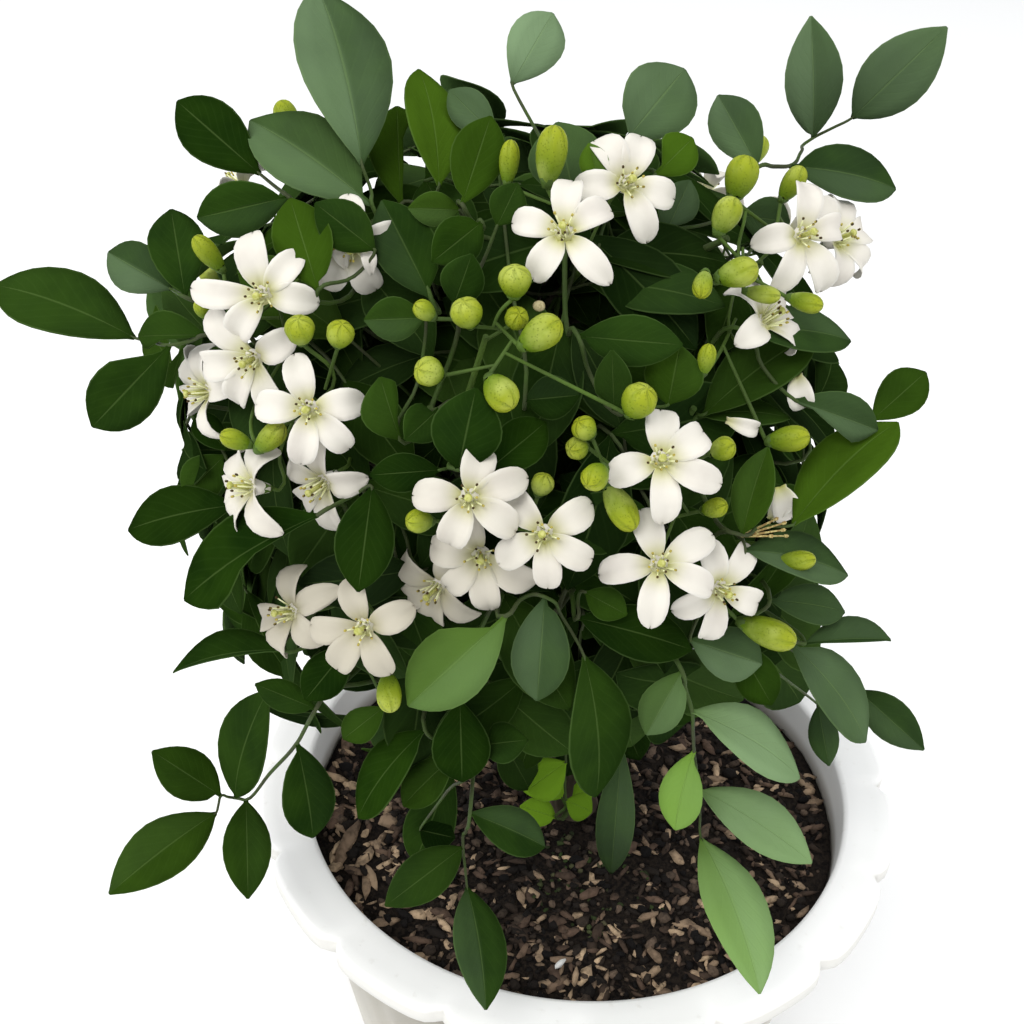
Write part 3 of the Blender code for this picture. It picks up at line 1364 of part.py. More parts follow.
def build_soil(collection, cutters, mat):
    """Soil fills the pot, with a plain hole for the trunk's foot."""
    foot = POT_FLOOR + FIT_GAP
    edge = SOIL_TOP - SOIL_CROWN
    profile = [(0.0, foot), (pot_inner_radius(foot) - SOIL_GAP, foot),
               (pot_inner_radius(edge) - SOIL_GAP, edge),
               (pot_inner_radius(edge) - SOIL_BEVEL, SOIL_TOP), (0.0, SOIL_TOP)]
    bm = bmesh.new()
    verts = [bm.verts.new((radius, 0.0, z)) for radius, z in profile]
    edges = [bm.edges.new(pair) for pair in zip(verts, verts[1:])]
    bmesh.ops.spin(bm, geom=verts + edges, cent=(0, 0, 0), axis=UP, dvec=(0, 0, 0), angle=math.tau,
                   steps=POT_STEPS // 2, use_merge=True)
    bmesh.ops.remove_doubles(bm, verts=bm.verts[:], dist=0.00001)
    bmesh.ops.recalc_face_normals(bm, faces=bm.faces[:])
    mesh = bpy.data.meshes.new("soil")
    bm.to_mesh(mesh)
    bm.free()
    soil = mesh_object("soil", mesh, collection, mat)
    middle = TRUNK_FOOT - FIT_GAP + HOLE_DEPTH / 2
    bpy.ops.mesh.primitive_cylinder_add(vertices=12, radius=TRUNK_RADIUS + SOIL_GAP, depth=HOLE_DEPTH,
                                        location=(0, 0, middle))
    hole = bpy.context.active_object
    hole.name = "trunk_hole"
    hole.hide_render = True
    hole.display_type = "WIRE"
    for owner in list(hole.users_collection):
        owner.objects.unlink(hole)
    cutters.objects.link(hole)
    cut = soil.modifiers.new("trunk hole", "BOOLEAN")
    cut.operation = "DIFFERENCE"
    cut.object = hole
    cut.solver = "EXACT"
    return soil


def build_trunk(plan, collection, mat):
    meshes = [tube_mesh("trunk", [Vector(p) for p in TRUNK_PATH], TRUNK_RADIUS, 2, TRUNK_TAPER)]
    for path in plan.limbs:
        meshes.append(tube_mesh("limb", path, LIMB_RADIUS, 0, LIMB_TAPER))
    for twig in plan.twigs:
        meshes.append(shape_mesh("twig", twig))
    return fuse("trunk", meshes, collection, mat)


def main():
    clear_scene()
    plan = make_plan()
    plant = bpy.data.collections.new("orange_jasmine_bonsai")
    cutters = bpy.data.collections.new("cutters")
    bpy.context.scene.collection.children.link(plant)
    bpy.context.scene.collection.children.link(cutters)
    pot_white = material("pot_white", (0.86, 0.86, 0.85), 0.35)
    soil_brown = material("soil_brown", (0.10, 0.07, 0.05), 0.95)
    bark = material("bark", (0.25, 0.20, 0.14), 0.85)
    leaf_green = material("leaf_green", (0.05, 0.16, 0.03), 0.35)
    stalk_green = material("stalk_green", (0.45, 0.55, 0.12), 0.5)
    petal_white = material("petal_white", (0.93, 0.90, 0.85), 0.5)
    build_pot(plant, pot_white)
    build_soil(plant, cutters, soil_brown)
    build_trunk(plan, plant, bark)
    for name, parts in plan.shoots.items():
        fuse("shoot_" + name, [shape_mesh("part", part) for part in parts], plant, leaf_green)
    for name, parts in plan.heads.items():
        fuse("head_" + name, [shape_mesh("part", part) for part in parts], plant, stalk_green)
    for bloom in plan.blooms:
        mesh_object("bloom_" + bloom.name, solid_mesh("bloom", bloom_solid(bloom)), plant, petal_white)


main()
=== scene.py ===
# %% [markdown]
# # Dressing an orange jasmine bonsai
#
# The solids that this lesson starts from are plain: leaflets and petals with a few corners,
# buds like lozenges, a pot with coarse flutes. The lesson finds where each of them stands and
# puts a finer piece in its place, then adds what has no solid at all: stamens, veins, wood
# chips and crumbs of soil. It begins with the frame, because every piece is measured from it.

# %% The frame
import math
import random
from dataclasses import dataclass

import bmesh
import bpy
from mathutils import Matrix, Vector, noise
from mathutils.kdtree import KDTree


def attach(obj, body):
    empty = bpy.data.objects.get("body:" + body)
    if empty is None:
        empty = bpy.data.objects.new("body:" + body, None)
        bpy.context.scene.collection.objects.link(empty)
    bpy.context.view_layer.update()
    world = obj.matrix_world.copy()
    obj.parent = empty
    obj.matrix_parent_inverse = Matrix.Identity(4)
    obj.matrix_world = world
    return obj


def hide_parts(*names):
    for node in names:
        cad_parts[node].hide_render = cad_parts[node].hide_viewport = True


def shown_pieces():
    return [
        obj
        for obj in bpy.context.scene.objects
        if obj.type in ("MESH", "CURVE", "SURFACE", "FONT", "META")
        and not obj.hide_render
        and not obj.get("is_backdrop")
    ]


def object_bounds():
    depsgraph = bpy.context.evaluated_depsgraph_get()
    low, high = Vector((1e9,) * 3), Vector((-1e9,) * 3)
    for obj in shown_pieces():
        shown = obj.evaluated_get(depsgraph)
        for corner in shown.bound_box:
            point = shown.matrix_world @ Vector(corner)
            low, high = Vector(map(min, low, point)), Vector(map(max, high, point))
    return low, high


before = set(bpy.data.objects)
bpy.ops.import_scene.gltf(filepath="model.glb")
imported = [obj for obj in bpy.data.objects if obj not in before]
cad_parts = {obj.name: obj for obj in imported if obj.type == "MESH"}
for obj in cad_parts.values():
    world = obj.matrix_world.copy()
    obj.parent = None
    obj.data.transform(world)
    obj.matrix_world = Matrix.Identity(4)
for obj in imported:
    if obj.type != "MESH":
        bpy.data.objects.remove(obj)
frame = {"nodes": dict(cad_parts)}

cad_low, cad_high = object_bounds()
MM = 0.001
UP = Vector((0.0, 0.0, 1.0))
box = [round((high - low) * 1000) for low, high in zip(cad_low, cad_high)]
print("nodes:", len(frame["nodes"]), "box in mm:", box)

# %% [markdown]
# ## The camera
#
# The photograph looks down on the plant at about 36 degrees from close by, so the pot's rim is
# a wide ellipse. The lens and the eye's place were fitted to the two ellipses of that rim. The
# frame leans by two degrees, which is why the camera's right and up are turned about the line
# of sight. They are kept as vectors because the plant's places are read off the same view.

# %% The camera
POT_HEIGHT = 0.165
FRAME_PIXELS = 1024
SENSOR_MM = 36
VIEW_FOCAL = 1450.0
VIEW_CENTRE = 512.0
VIEW_EYE = Vector((-0.0257, -0.3611, POT_HEIGHT + 0.3701))
VIEW_PITCH = math.radians(35.66)
VIEW_ROLL = math.radians(2.15)

VIEW_AHEAD = Vector((0.0, math.cos(VIEW_PITCH), -math.sin(VIEW_PITCH)))
LEVEL_RIGHT = Vector((1.0, 0.0, 0.0))
LEVEL_UP = LEVEL_RIGHT.cross(VIEW_AHEAD)
VIEW_RIGHT = LEVEL_RIGHT * math.cos(VIEW_ROLL) + LEVEL_UP * math.sin(VIEW_ROLL)
VIEW_UP = LEVEL_UP * math.cos(VIEW_ROLL) - LEVEL_RIGHT * math.sin(VIEW_ROLL)


def put(name, data):
    """A new object in the scene."""
    made = bpy.data.objects.new(name, data)
    bpy.context.scene.collection.objects.link(made)
    return made


def place_camera():
    data = bpy.data.cameras.new("view")
    data.sensor_width = SENSOR_MM
    data.lens = VIEW_FOCAL / FRAME_PIXELS * SENSOR_MM
    data.clip_start = 0.01
    camera = put("camera", data)
    turn = Matrix((VIEW_RIGHT, VIEW_UP, -VIEW_AHEAD)).transposed().to_4x4()
    camera.matrix_world = Matrix.Translation(VIEW_EYE) @ turn
    bpy.context.scene.camera = camera
    return camera


camera = place_camera()
print("lens in mm:", round(camera.data.lens, 1))

# %% [markdown]
# ## Light
#
# The plant stands in soft daylight on white. A large lamp high in front gives it its form, three
# weaker ones fill the sides and the top, and the world adds a pale light from everywhere. Large
# discs are used because small lamps would draw hard shadows that the photograph doesn't have.

# %% Light
WORLD_LIGHT = 0.68
LAMP_SIZE = 1.3

# Lamps: name, place, height that it aims at, power, colour
LAMPS = [
    ("key", (-0.7, -1.7, 2.6), 0.1, 40.0, (1.0, 0.99, 0.97)),
    ("top", (0.5, 0.3, 2.8), 0.1, 16.0, (0.97, 0.99, 1.0)),
    ("right", (2.1, -1.0, 1.2), 0.15, 15.0, (1.0, 1.0, 0.99)),
    ("left", (-2.2, -0.5, 1.7), 0.12, 28.0, (1.0, 1.0, 0.99)),
]


def area_lamp(name, spot, aim, power, colour):
    data = bpy.data.lights.new(name, "AREA")
    data.shape = "DISK"
    data.size = LAMP_SIZE
    data.energy = power
    data.color = colour
    lamp = put(name, data)
    lamp.location = spot
    lamp.rotation_euler = (Vector((0.0, 0.0, aim)) - Vector(spot)).to_track_quat("-Z", "Y").to_euler()


def place_world():
    world = bpy.data.worlds.new("daylight")
    world.use_nodes = True
    sky = world.node_tree.nodes["Background"]
    sky.inputs["Color"].default_value = (0.97, 0.985, 1.0, 1.0)
    sky.inputs["Strength"].default_value = WORLD_LIGHT
    bpy.context.scene.world = world
    bpy.context.scene.view_settings.view_transform = "Standard"


place_world()
for row in LAMPS:
    area_lamp(*row)

# %% [markdown]
# ## Painting with expressions
#
# A finish on a plant is never one colour, so each material is a small sum: noise times a
# number, plus a vein. Wiring those sums by hand hides them. Here a socket is wrapped in a
# class that knows the arithmetic signs, so a mask is written as it is spoken, and one method
# makes every other node.

# %% Painting with expressions
class Signal:
    """A number that varies over a surface; arithmetic on it adds the Math nodes."""

    def __init__(self, paint, socket):
        self.paint = paint
        self.socket = socket

    def math(self, operation, *others):
        values = dict(enumerate((self,) + others))
        return self.paint.node("ShaderNodeMath", {"operation": operation}, values)

    def __add__(self, other):
        return self.math("ADD", other)

    def __sub__(self, other):
        return self.math("SUBTRACT", other)

    def __mul__(self, other):
        return self.math("MULTIPLY", other)

    def __rsub__(self, other):
        return self.paint.node("ShaderNodeMath", {"operation": "SUBTRACT"}, {0: other, 1: self})

    __radd__ = __add__
    __rmul__ = __mul__

    def step(self, low, high):
        """0 below low, 1 above high, and smooth between them."""
        return self.paint.node("ShaderNodeMapRange", {"interpolation_type": "SMOOTHSTEP"},
                               {"Value": self, "From Min": low, "From Max": high})

    def capped(self):
        return self.paint.node("ShaderNodeClamp", {}, {"Value": self})


class Paint:
    """One material being made."""

    def __init__(self, name, roughness, **constants):
        self.material = bpy.data.materials.new(name)
        self.material.use_nodes = True
        self.tree = self.material.node_tree
        self.shader = self.tree.nodes["Principled BSDF"]
        self.shader.inputs["Roughness"].default_value = roughness
        for socket, value in constants.items():
            self.shader.inputs[socket.replace("_", " ")].default_value = value

    def node(self, kind, settings, values, output=0):
        made = self.tree.nodes.new(kind)
        for name, value in settings.items():
            setattr(made, name, value)
        for name, value in values.items():
            if isinstance(value, Signal):
                self.tree.links.new(value.socket, made.inputs[name])
            else:
                made.inputs[name].default_value = value
        return Signal(self, made.outputs[output])

    def coords(self, kind="Object"):
        return self.node("ShaderNodeTexCoord", {}, {}, kind)

    def split(self, signal):
        parts = self.node("ShaderNodeSeparateXYZ", {}, {0: signal}).socket.node
        return [Signal(self, socket) for socket in parts.outputs]

    def attribute(self, name, output="Fac"):
        return self.node("ShaderNodeAttribute", {"attribute_name": name}, {}, output)

    def speckle(self, scale, detail=3.0, stretch=None):
        """Smooth noise, about 0.5, at a scale in features a metre."""
        where = self.coords()
        if stretch is not None:
            where = self.node("ShaderNodeMapping", {}, {"Vector": where, "Scale": stretch})
        return self.node("ShaderNodeTexNoise", {}, {"Vector": where, "Scale": scale, "Detail": detail})

    def cells(self, scale):
        """The distance to the nearest of many scattered points."""
        return self.node("ShaderNodeTexVoronoi", {}, {"Vector": self.coords(), "Scale": scale}, "Distance")

    def blend(self, factor, first, second):
        """The first colour at factor 0, the second at factor 1."""
        colours = [value if isinstance(value, Signal) else (*value, 1.0) for value in (first, second)]
        sockets = {0: factor, 6: colours[0], 7: colours[1]}
        return self.node("ShaderNodeMix", {"data_type": "RGBA"}, sockets, 2)

    def layers(self, colour, *over):
        """A colour with others laid over it, each with how much of it shows."""
        for much, other in over:
            colour = self.blend(much, colour, other)
        return colour

    def finish(self, colour, roughness=None, relief=None, height=0.0002):
        self.tree.links.new(colour.socket, self.shader.inputs["Base Color"])
        if roughness is not None:
            self.tree.links.new(roughness.socket, self.shader.inputs["Roughness"])
        if relief is not None:
            bump = self.node("ShaderNodeBump", {}, {"Height": relief, "Distance": height})
            self.tree.links.new(bump.socket, self.shader.inputs["Normal"])
        return self.material


print("methods of a paint:", sum(not name.startswith("_") for name in dir(Paint)))

# %% [markdown]
# ## The floor
#
# Under the plant lies a wide plain sheet, nearly white, half a millimetre below the pot so that
# the two do not flicker. A grid of a few faces is enough for it, and it shows the simplest use
# of the class above. It is marked as stage, so it is not part of the plant.

# %% The floor
FLOOR_REACH = 6.0
FLOOR_GAP = 0.0005


def mesh_from(bm, name):
    mesh = bpy.data.meshes.new(name)
    bm.to_mesh(mesh)
    bm.free()
    return mesh


def lay_floor():
    paint = Paint("floor_white", 0.9, Specular_IOR_Level=0.1)
    finish = paint.finish(paint.blend(paint.speckle(3.0), (0.93, 0.93, 0.93), (0.95, 0.95, 0.95)))
    bm = bmesh.new()
    bmesh.ops.create_grid(bm, x_segments=2, y_segments=2, size=FLOOR_REACH)
    bmesh.ops.translate(bm, verts=bm.verts[:], vec=UP * -FLOOR_GAP)
    mesh = mesh_from(bm, "floor")
    mesh.materials.append(finish)
    put("floor", mesh)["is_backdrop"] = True


lay_floor()
print("materials:", [material.name for material in bpy.data.materials])

# %% [markdown]
# ## Places on the crown
#
# The leaves of the bush end on a rounded crown, which is close to an ellipsoid. A pixel of the
# photograph gives a line of sight, the crown gives the place where that line meets it, and a
# few millimetres more or less of depth put one leaf in front of another. So a leaflet is named
# by two pixels, its base and its tip, and it stays right from every side.

# %% Places on the crown
CROWN_CENTRE = Vector((-0.028, -0.010, 0.305))
CROWN_RADII = Vector((0.118, 0.100, 0.120))


def pixel_ray(u, v):
    """The direction of the sight line through a pixel of the photograph."""
    across = (u - VIEW_CENTRE) / VIEW_FOCAL
    down = (v - VIEW_CENTRE) / VIEW_FOCAL
    return (VIEW_AHEAD + VIEW_RIGHT * across - VIEW_UP * down).normalized()


def in_crown_units(vector):
    return Vector((vector[i] / CROWN_RADII[i] for i in range(3)))


def on_crown(u, v, deeper=0.0):
    """Where the sight line meets the crown's front, or passes it nearest, then deeper mm on."""
    ray = pixel_ray(u, v)
    start = in_crown_units(VIEW_EYE - CROWN_CENTRE)
    step = in_crown_units(ray)
    a = step.dot(step)
    b = start.dot(step)
    spare = b * b - a * (start.dot(start) - 1.0)
    reach = (-b - math.sqrt(max(spare, 0.0))) / a
    return VIEW_EYE + ray * (reach + deeper * MM)


def on_plane(u, v, near):
    """Where the sight line meets the upright plane that lies near metres in front of the pot's middle."""
    ray = pixel_ray(u, v)
    return VIEW_EYE + ray * ((-near - VIEW_EYE.y) / ray.y)


def pixel_size(point):
    """The length that one pixel spans at a point."""
    return (point - VIEW_EYE).dot(VIEW_AHEAD) / VIEW_FOCAL


def square_to(axis, vector):
    """The part of a vector that is square to an axis."""
    return vector - axis * vector.dot(axis)


def crown_normal(point):
    offset = point - CROWN_CENTRE
    return Vector((offset[i] / CROWN_RADII[i] ** 2 for i in range(3))).normalized()


def crown_point(direction, share):
    """A point on a ray from the crown's centre, at a share of the crown's radius."""
    return CROWN_CENTRE + Vector((direction[i] * CROWN_RADII[i] * share for i in range(3)))


print("the crown's middle front in mm:", [round(value * 1000) for value in on_crown(512, 400)])

# %% [markdown]
# ## The corners of the solids
#
# Each shape of the plant could stand at one of a few depths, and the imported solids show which.
# All their corners go in a search tree for each node. A leaflet is found where the corners of
# its tip are, and a stalk where there are rings of corners round its bends. So every finer
# piece stands exactly where its solid stands.

# %% The corners of the solids
CORNER_NEAR = 0.00001
FEW_CORNERS = 0.45
ALL_CORNERS = 0.99


class Corners:
    """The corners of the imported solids."""

    def __init__(self, nodes):
        self.trees = {}
        for name, obj in nodes.items():
            spots = sorted({tuple(vert.co) for vert in obj.data.vertices})
            tree = KDTree(len(spots))
            for index, spot in enumerate(spots):
                tree.insert(spot, index)
            tree.balance()
            self.trees[name] = tree

    def has(self, node, spot):
        return self.trees[node].find(spot)[2] < CORNER_NEAR

    def ring(self, node, centre, radius, axis):
        """How much of a ring of four corners stands round a centre, square to an axis."""
        near = self.trees[node].find_range(centre, radius + CORNER_NEAR)
        found = [spot for spot, index, distance in near if distance > radius - CORNER_NEAR
                 and abs((spot - centre).dot(axis)) < CORNER_NEAR]
        return min(len(found), 4) / 4


def halfway(before, here, after):
    """The direction that halves a path's bend at a point."""
    return ((here - before).normalized() + (after - here).normalized()).normalized()


def bends_found(node, path, radius, last_radius=None):
    """The share of a path's rings that the solid has at its bends."""
    radii = [radius] * (len(path) - 3) + [last_radius or radius]
    shares = [corners.ring(node, here, size, halfway(before, here, after))
              for before, here, after, size in zip(path, path[1:], path[2:], radii)]
    return sum(shares) / len(shares)


def best_of(options, score, enough=FEW_CORNERS):
    """The first option with the best score, or None if none scores enough."""
    best = None
    for option in options:
        value = score(option)
        if value > enough:
            best = option
            enough = value
        if value > ALL_CORNERS:
            break
    return best


def first_found(options):
    """The first option that the solids have."""
    return next(option for option in options if option.found())


corners = Corners(frame["nodes"])
print("search trees:", len(corners.trees))

# %% [markdown]
# ## Stalks that bend
#
# A stalk seldom runs straight to its leaf: it sways past whatever is in its way. Each one has
# one of a few bends between its two ends, from straight to strongly curved, to either side,
# up or down. A flower's stalk ends along the flower's own axis, with a knee just below it.

# %% Stalks that bend
KNEES = (0.004, 0.007, 0.011, 0.002, 0.016)
STALK_BENDS = [(0, 0.1), (0.1, 0), (-0.1, 0), (0, -0.1), (0.15, 0.15), (-0.15, 0.15), (0.15, -0.15),
               (-0.15, -0.15), (0, 0.25), (0, -0.25), (0.25, 0), (-0.25, 0), (0.3, 0.2), (-0.3, 0.2),
               (0.3, -0.2), (-0.3, -0.2), (0.4, 0), (-0.4, 0), (0, 0.4), (0, -0.4)]
BUD_STALK_FLEX = -0.2


def bent(start, control, end, t):
    """A point on a quadratic curve."""
    return start * (1 - t) ** 2 + control * (2 * t * (1 - t)) + end * t ** 2


def stalk_options(start, end, leave):
    """Paths from start to end, the straightest first."""
    span = (end - start).length
    run = (end - start).normalized()
    side = run.cross(leave if leave.cross(run).length > 0.05 else UP).normalized()
    lift = side.cross(run)
    yield [start, end]
    for sway, rise in STALK_BENDS:
        yield [start, start.lerp(end, 0.5) + side * (sway * span) + lift * (rise * span), end]


def bloom_stalk_options(start, foot, axis):
    """Paths that reach a bloom's foot along its axis."""
    for knee in KNEES:
        for path in stalk_options(start, foot - axis * knee, axis):
            yield path + [foot]


def bud_stalk_options(start, foot, axis):
    """Paths to a bud's foot that do not turn back on its axis."""
    for path in stalk_options(start, foot, axis):
        if (foot - path[-2]).normalized().dot(axis) > BUD_STALK_FLEX:
            yield path


print("bends for a stalk:", len(STALK_BENDS) + 1)

# %% [markdown]
# ## Leaflets, petals and buds as measures
#
# A leaflet and a petal are the same kind of thing: a bent midrib, a width, and a side that the
# blade looks to. The class below holds those measures and answers where a point of the blade
# is. A bud is an axis with rings of a given girth.

# %% Leaflets, petals and buds as measures
BLADE_THICKNESS = 0.0007
LEAFLET_ROWS = (0.30, 0.74)
LEAFLET_RATIO = 0.50
RACHIS_GAP = 0.0013
BUD_RINGS = [(-0.5, 0.36), (-0.12, 1.05), (0.22, 1.12), (0.5, 0.34)]


class Blade:
    """A leaflet or petal: a bent midrib, a width and the side that its face looks to."""

    def __init__(self, base, tip, width, facing, arch, rows=LEAFLET_ROWS, full_at=0.5, end=0.0,
                 thickness=BLADE_THICKNESS):
        self.base, self.tip, self.width = base, tip, width
        self.rows, self.full_at, self.end, self.thickness = rows, full_at, end, thickness
        self.along = (tip - base).normalized()
        self.normal = square_to(self.along, facing).normalized()
        self.side = self.along.cross(self.normal)
        self.control = (base + tip) / 2 + self.normal * arch * 2
        self.away = None
        self.tone = None

    def lean_off(self, run):
        """Makes the blade's base oblique, so that it stays to one side of the rachis it grows from."""
        away = square_to(run, self.along)
        self.away = away.normalized() if away.length > 0.1 else None

    def half_widths(self, t):
        """The blade's reach to either side of its midrib."""
        half = self.half_width(t)
        halves = [half, half]
        if self.away is not None:
            spot = (self.middle(t) - self.base).dot(self.away)
            for index, fall in enumerate((self.side.dot(self.away), -self.side.dot(self.away))):
                if fall > 0.01 and spot - fall * half < RACHIS_GAP:
                    halves[index] = max(half * 0.15, min(half, (spot - RACHIS_GAP) / fall))
        return halves

    def half_width(self, t):
        """The outline: narrow at the base, widest at full_at, then pointed or cut off at the end."""
        if t in (0.0, 1.0):
            return self.width * self.end / 2 * t
        bend = math.log(0.5) / math.log(self.full_at)
        return self.width / 2 * math.sin(math.pi * t ** bend) ** 0.75

    def middle(self, t):
        return bent(self.base, self.control, self.tip, t)

    def upright(self, t):
        """The way the blade's face looks at t."""
        run = (self.control - self.base) * (1 - t) + (self.tip - self.control) * t
        return self.side.cross(run).normalized()

    def found(self, node):
        """Whether the solid has the corners of this blade's end."""
        t = 1.0 if self.end else self.rows[-1]
        lift = self.upright(t) * (self.thickness / 2)
        left, right = self.half_widths(t)
        middle = self.middle(t)
        spots = [middle - self.side * left + lift, middle + self.side * right + lift,
                 middle - self.side * left - lift, middle + self.side * right - lift]
        return sum(corners.has(node, spot) for spot in spots) >= 3


class Bud:
    """A closed bud on its stalk, fatter towards the tip."""

    def __init__(self, head, centre, axis, length, width):
        self.head, self.centre, self.length, self.width = head, centre, length, width
        self.axis = axis.normalized()
        self.path = [centre + self.axis * (length * place) for place, girth in BUD_RINGS]
        self.radii = [width / 2 * girth for place, girth in BUD_RINGS]

    def found(self):
        return corners.ring("head_" + self.head, self.path[2], self.radii[2], self.axis) > 0.7


print("leaflet rows:", LEAFLET_ROWS, "bud rings:", len(BUD_RINGS))

# %% [markdown]
# ## Flowers
#
# An orange jasmine flower has a short throat and five petals that open flat and roll back.
# A row of the table gives its throat's pixel, how far it turns from the eye, and the tips of
# the petals that show. A petal that is hidden goes in the widest gap.

# %% Flowers
# Blooms that show: name with its head's name, throat's pixel, depth (mm), facing (right, up; 0 is
# towards the eye), then the petal tips that show
BLOOMS = [
    ("left_1", 263, 295, 0, (-0.1, -0.2), [(259, 224), (298, 246), (321, 303), (236, 333), (183, 285)]),
    ("left_2", 254, 358, 5, (-0.35, -0.4), [(194, 315), (201, 384), (227, 400), (252, 425), (275, 347)]),
    ("left_3", 309, 409, 2, (0.0, -0.1), [(293, 352), (369, 407), (357, 448), (298, 466), (259, 404)]),
    ("left_4", 208, 392, 10, (-1.4, -0.2), [(174, 345), (184, 396), (224, 436), (214, 340)]),
    ("left_5", 252, 487, 6, (-1.3, 0.1), [(229, 459), (220, 484), (231, 521), (270, 464)]),
    ("left_6", 324, 482, 6, (-0.8, -0.7), [(368, 479), (307, 505), (328, 530), (300, 462)]),
    ("left_7", 350, 246, 14, (0.1, -0.4), [(337, 262), (362, 266), (322, 232), (350, 212), (380, 234)]),
    ("top_1", 564, 233, 0, (-0.1, 0.1), [(509, 219), (581, 172), (614, 202), (611, 285), (532, 279)]),
    ("top_2", 626, 184, 4, (0.2, 0.0), [(596, 132), (639, 129), (677, 196), (651, 242), (596, 187)]),
    ("right_1", 801, 236, 0, (0.35, 0.0), [(804, 175), (760, 245), (777, 299), (825, 297), (841, 227)]),
    ("right_2", 836, 240, 9, (0.7, 0.2), [(836, 188), (868, 222), (862, 270), (830, 286), (808, 214)]),
    ("right_3", 764, 322, 6, (0.9, 0.55), [(733, 297), (742, 340), (794, 308), (790, 338), (762, 290)]),
    ("middle_1", 469, 498, 0, (0.0, 0.0), [(481, 463), (530, 478), (520, 532), (447, 548), (408, 495)]),
    ("middle_2", 544, 534, 2, (-0.1, 0.0), [(520, 501), (596, 501), (598, 562), (548, 595), (509, 557)]),
    ("middle_3", 481, 555, 12, (0.0, -0.2), [(423, 546), (441, 593), (531, 596), (500, 612), (470, 520)]),
    ("middle_4", 438, 586, 6, (-0.6, -0.6), [(399, 551), (391, 588), (436, 627), (475, 613)]),
    ("inner_1", 660, 460, 0, (0.0, 0.05), [(666, 405), (715, 432), (728, 473), (663, 529), (614, 478)]),
    ("inner_2", 659, 565, 0, (0.0, 0.1), [(641, 506), (722, 545), (722, 582), (650, 630), (593, 576)]),
    ("inner_3", 719, 589, 6, (0.3, -0.2), [(750, 537), (761, 604), (700, 645), (672, 616), (705, 532)]),
    ("low_1", 365, 627, 0, (-0.2, -0.1), [(304, 627), (355, 590), (333, 673), (388, 672), (404, 610)]),
    ("low_2", 292, 612, 6, (-0.8, 0.0), [(255, 622), (285, 642), (297, 590), (318, 632)]),
]

print("flowers that show:", len(BLOOMS))

# %% [markdown]
# ## One flower
#
# A flower is kept as a throat, an axis and five petals, each a turn about the axis and a length.
# The turn is worked out from the pixel of the petal's tip. Two turns would give the same
# direction in the picture, and the one whose petal is seen the longer is taken. Petals that
# would cross are pushed apart.

# %% One flower
PETALS = 5
PETAL_LENGTH = (0.0130, 0.0190)
PETAL_WIDTH = 0.0086
PETAL_THICKNESS = 0.0008
PETAL_ARCH = 0.0034
PETAL_RECURVE = math.radians(8.6)
PETAL_SPACING = math.radians(54)
PETAL_ROWS = (0.62,)
PETAL_END = 0.45
PETAL_FULL_AT = 0.68
THROAT_LENGTH = 0.0050
THROAT_RADIUS = 0.0021


@dataclass(eq=False)
class Bloom:
    """One flower: a throat on its axis and five petals, each a turn about the axis and a length."""

    name: str
    throat: Vector
    axis: Vector
    side: Vector
    petals: list

    @property
    def head(self):
        return self.name[:-2]

    @property
    def foot(self):
        return self.throat - self.axis * THROAT_LENGTH

    def outward(self, turn):
        return self.side * math.cos(turn) + self.axis.cross(self.side) * math.sin(turn)

    def blade(self, index):
        turn, length = self.petals[index]
        out = self.outward(turn)
        run = out * math.cos(PETAL_RECURVE) - self.axis * math.sin(PETAL_RECURVE)
        root = self.throat + out * THROAT_RADIUS * 0.6
        end = self.throat + run * length
        return Blade(root, end, PETAL_WIDTH, self.axis, PETAL_ARCH, PETAL_ROWS, PETAL_FULL_AT, PETAL_END,
                     PETAL_THICKNESS)

    def found(self):
        return self.blade(0).found("bloom_" + self.name) and self.blade(2).found("bloom_" + self.name)


def petal_turn(throat, axis, side, tip):
    """A petal's turn about the axis and its length, from the pixels between throat and tip."""
    size = pixel_size(throat)
    seen = VIEW_RIGHT * (tip[0] * size) - VIEW_UP * (tip[1] * size)
    flat = seen.normalized()
    level = flat.dot(axis)
    deep = -VIEW_AHEAD.dot(axis)
    lean = math.asin(max(-1.0, min(1.0, -math.sin(PETAL_RECURVE) / math.hypot(level, deep))))
    swings = [lean - math.atan2(level, deep), math.pi - lean - math.atan2(level, deep)]
    runs = [flat * math.cos(swing) - VIEW_AHEAD * math.sin(swing) for swing in swings]
    run = max(runs, key=flat.dot)
    length = seen.length / max(run.dot(flat), 0.35)
    turn = math.atan2(run.dot(axis.cross(side)), run.dot(side)) % math.tau
    return turn, max(PETAL_LENGTH[0], min(PETAL_LENGTH[1], length))


def spread_petals(petals):
    """Keeps neighbouring petals at least a petal's width apart, each close to its own turn."""
    petals = sorted(petals)
    for _ in range(60):
        for index in range(len(petals)):
            after = (index + 1) % len(petals)
            gap = (petals[after][0] - petals[index][0]) % math.tau
            if gap < PETAL_SPACING:
                push = (PETAL_SPACING - gap) / 2
                petals[index] = (petals[index][0] - push, petals[index][1])
                petals[after] = (petals[after][0] + push, petals[after][1])
    return petals


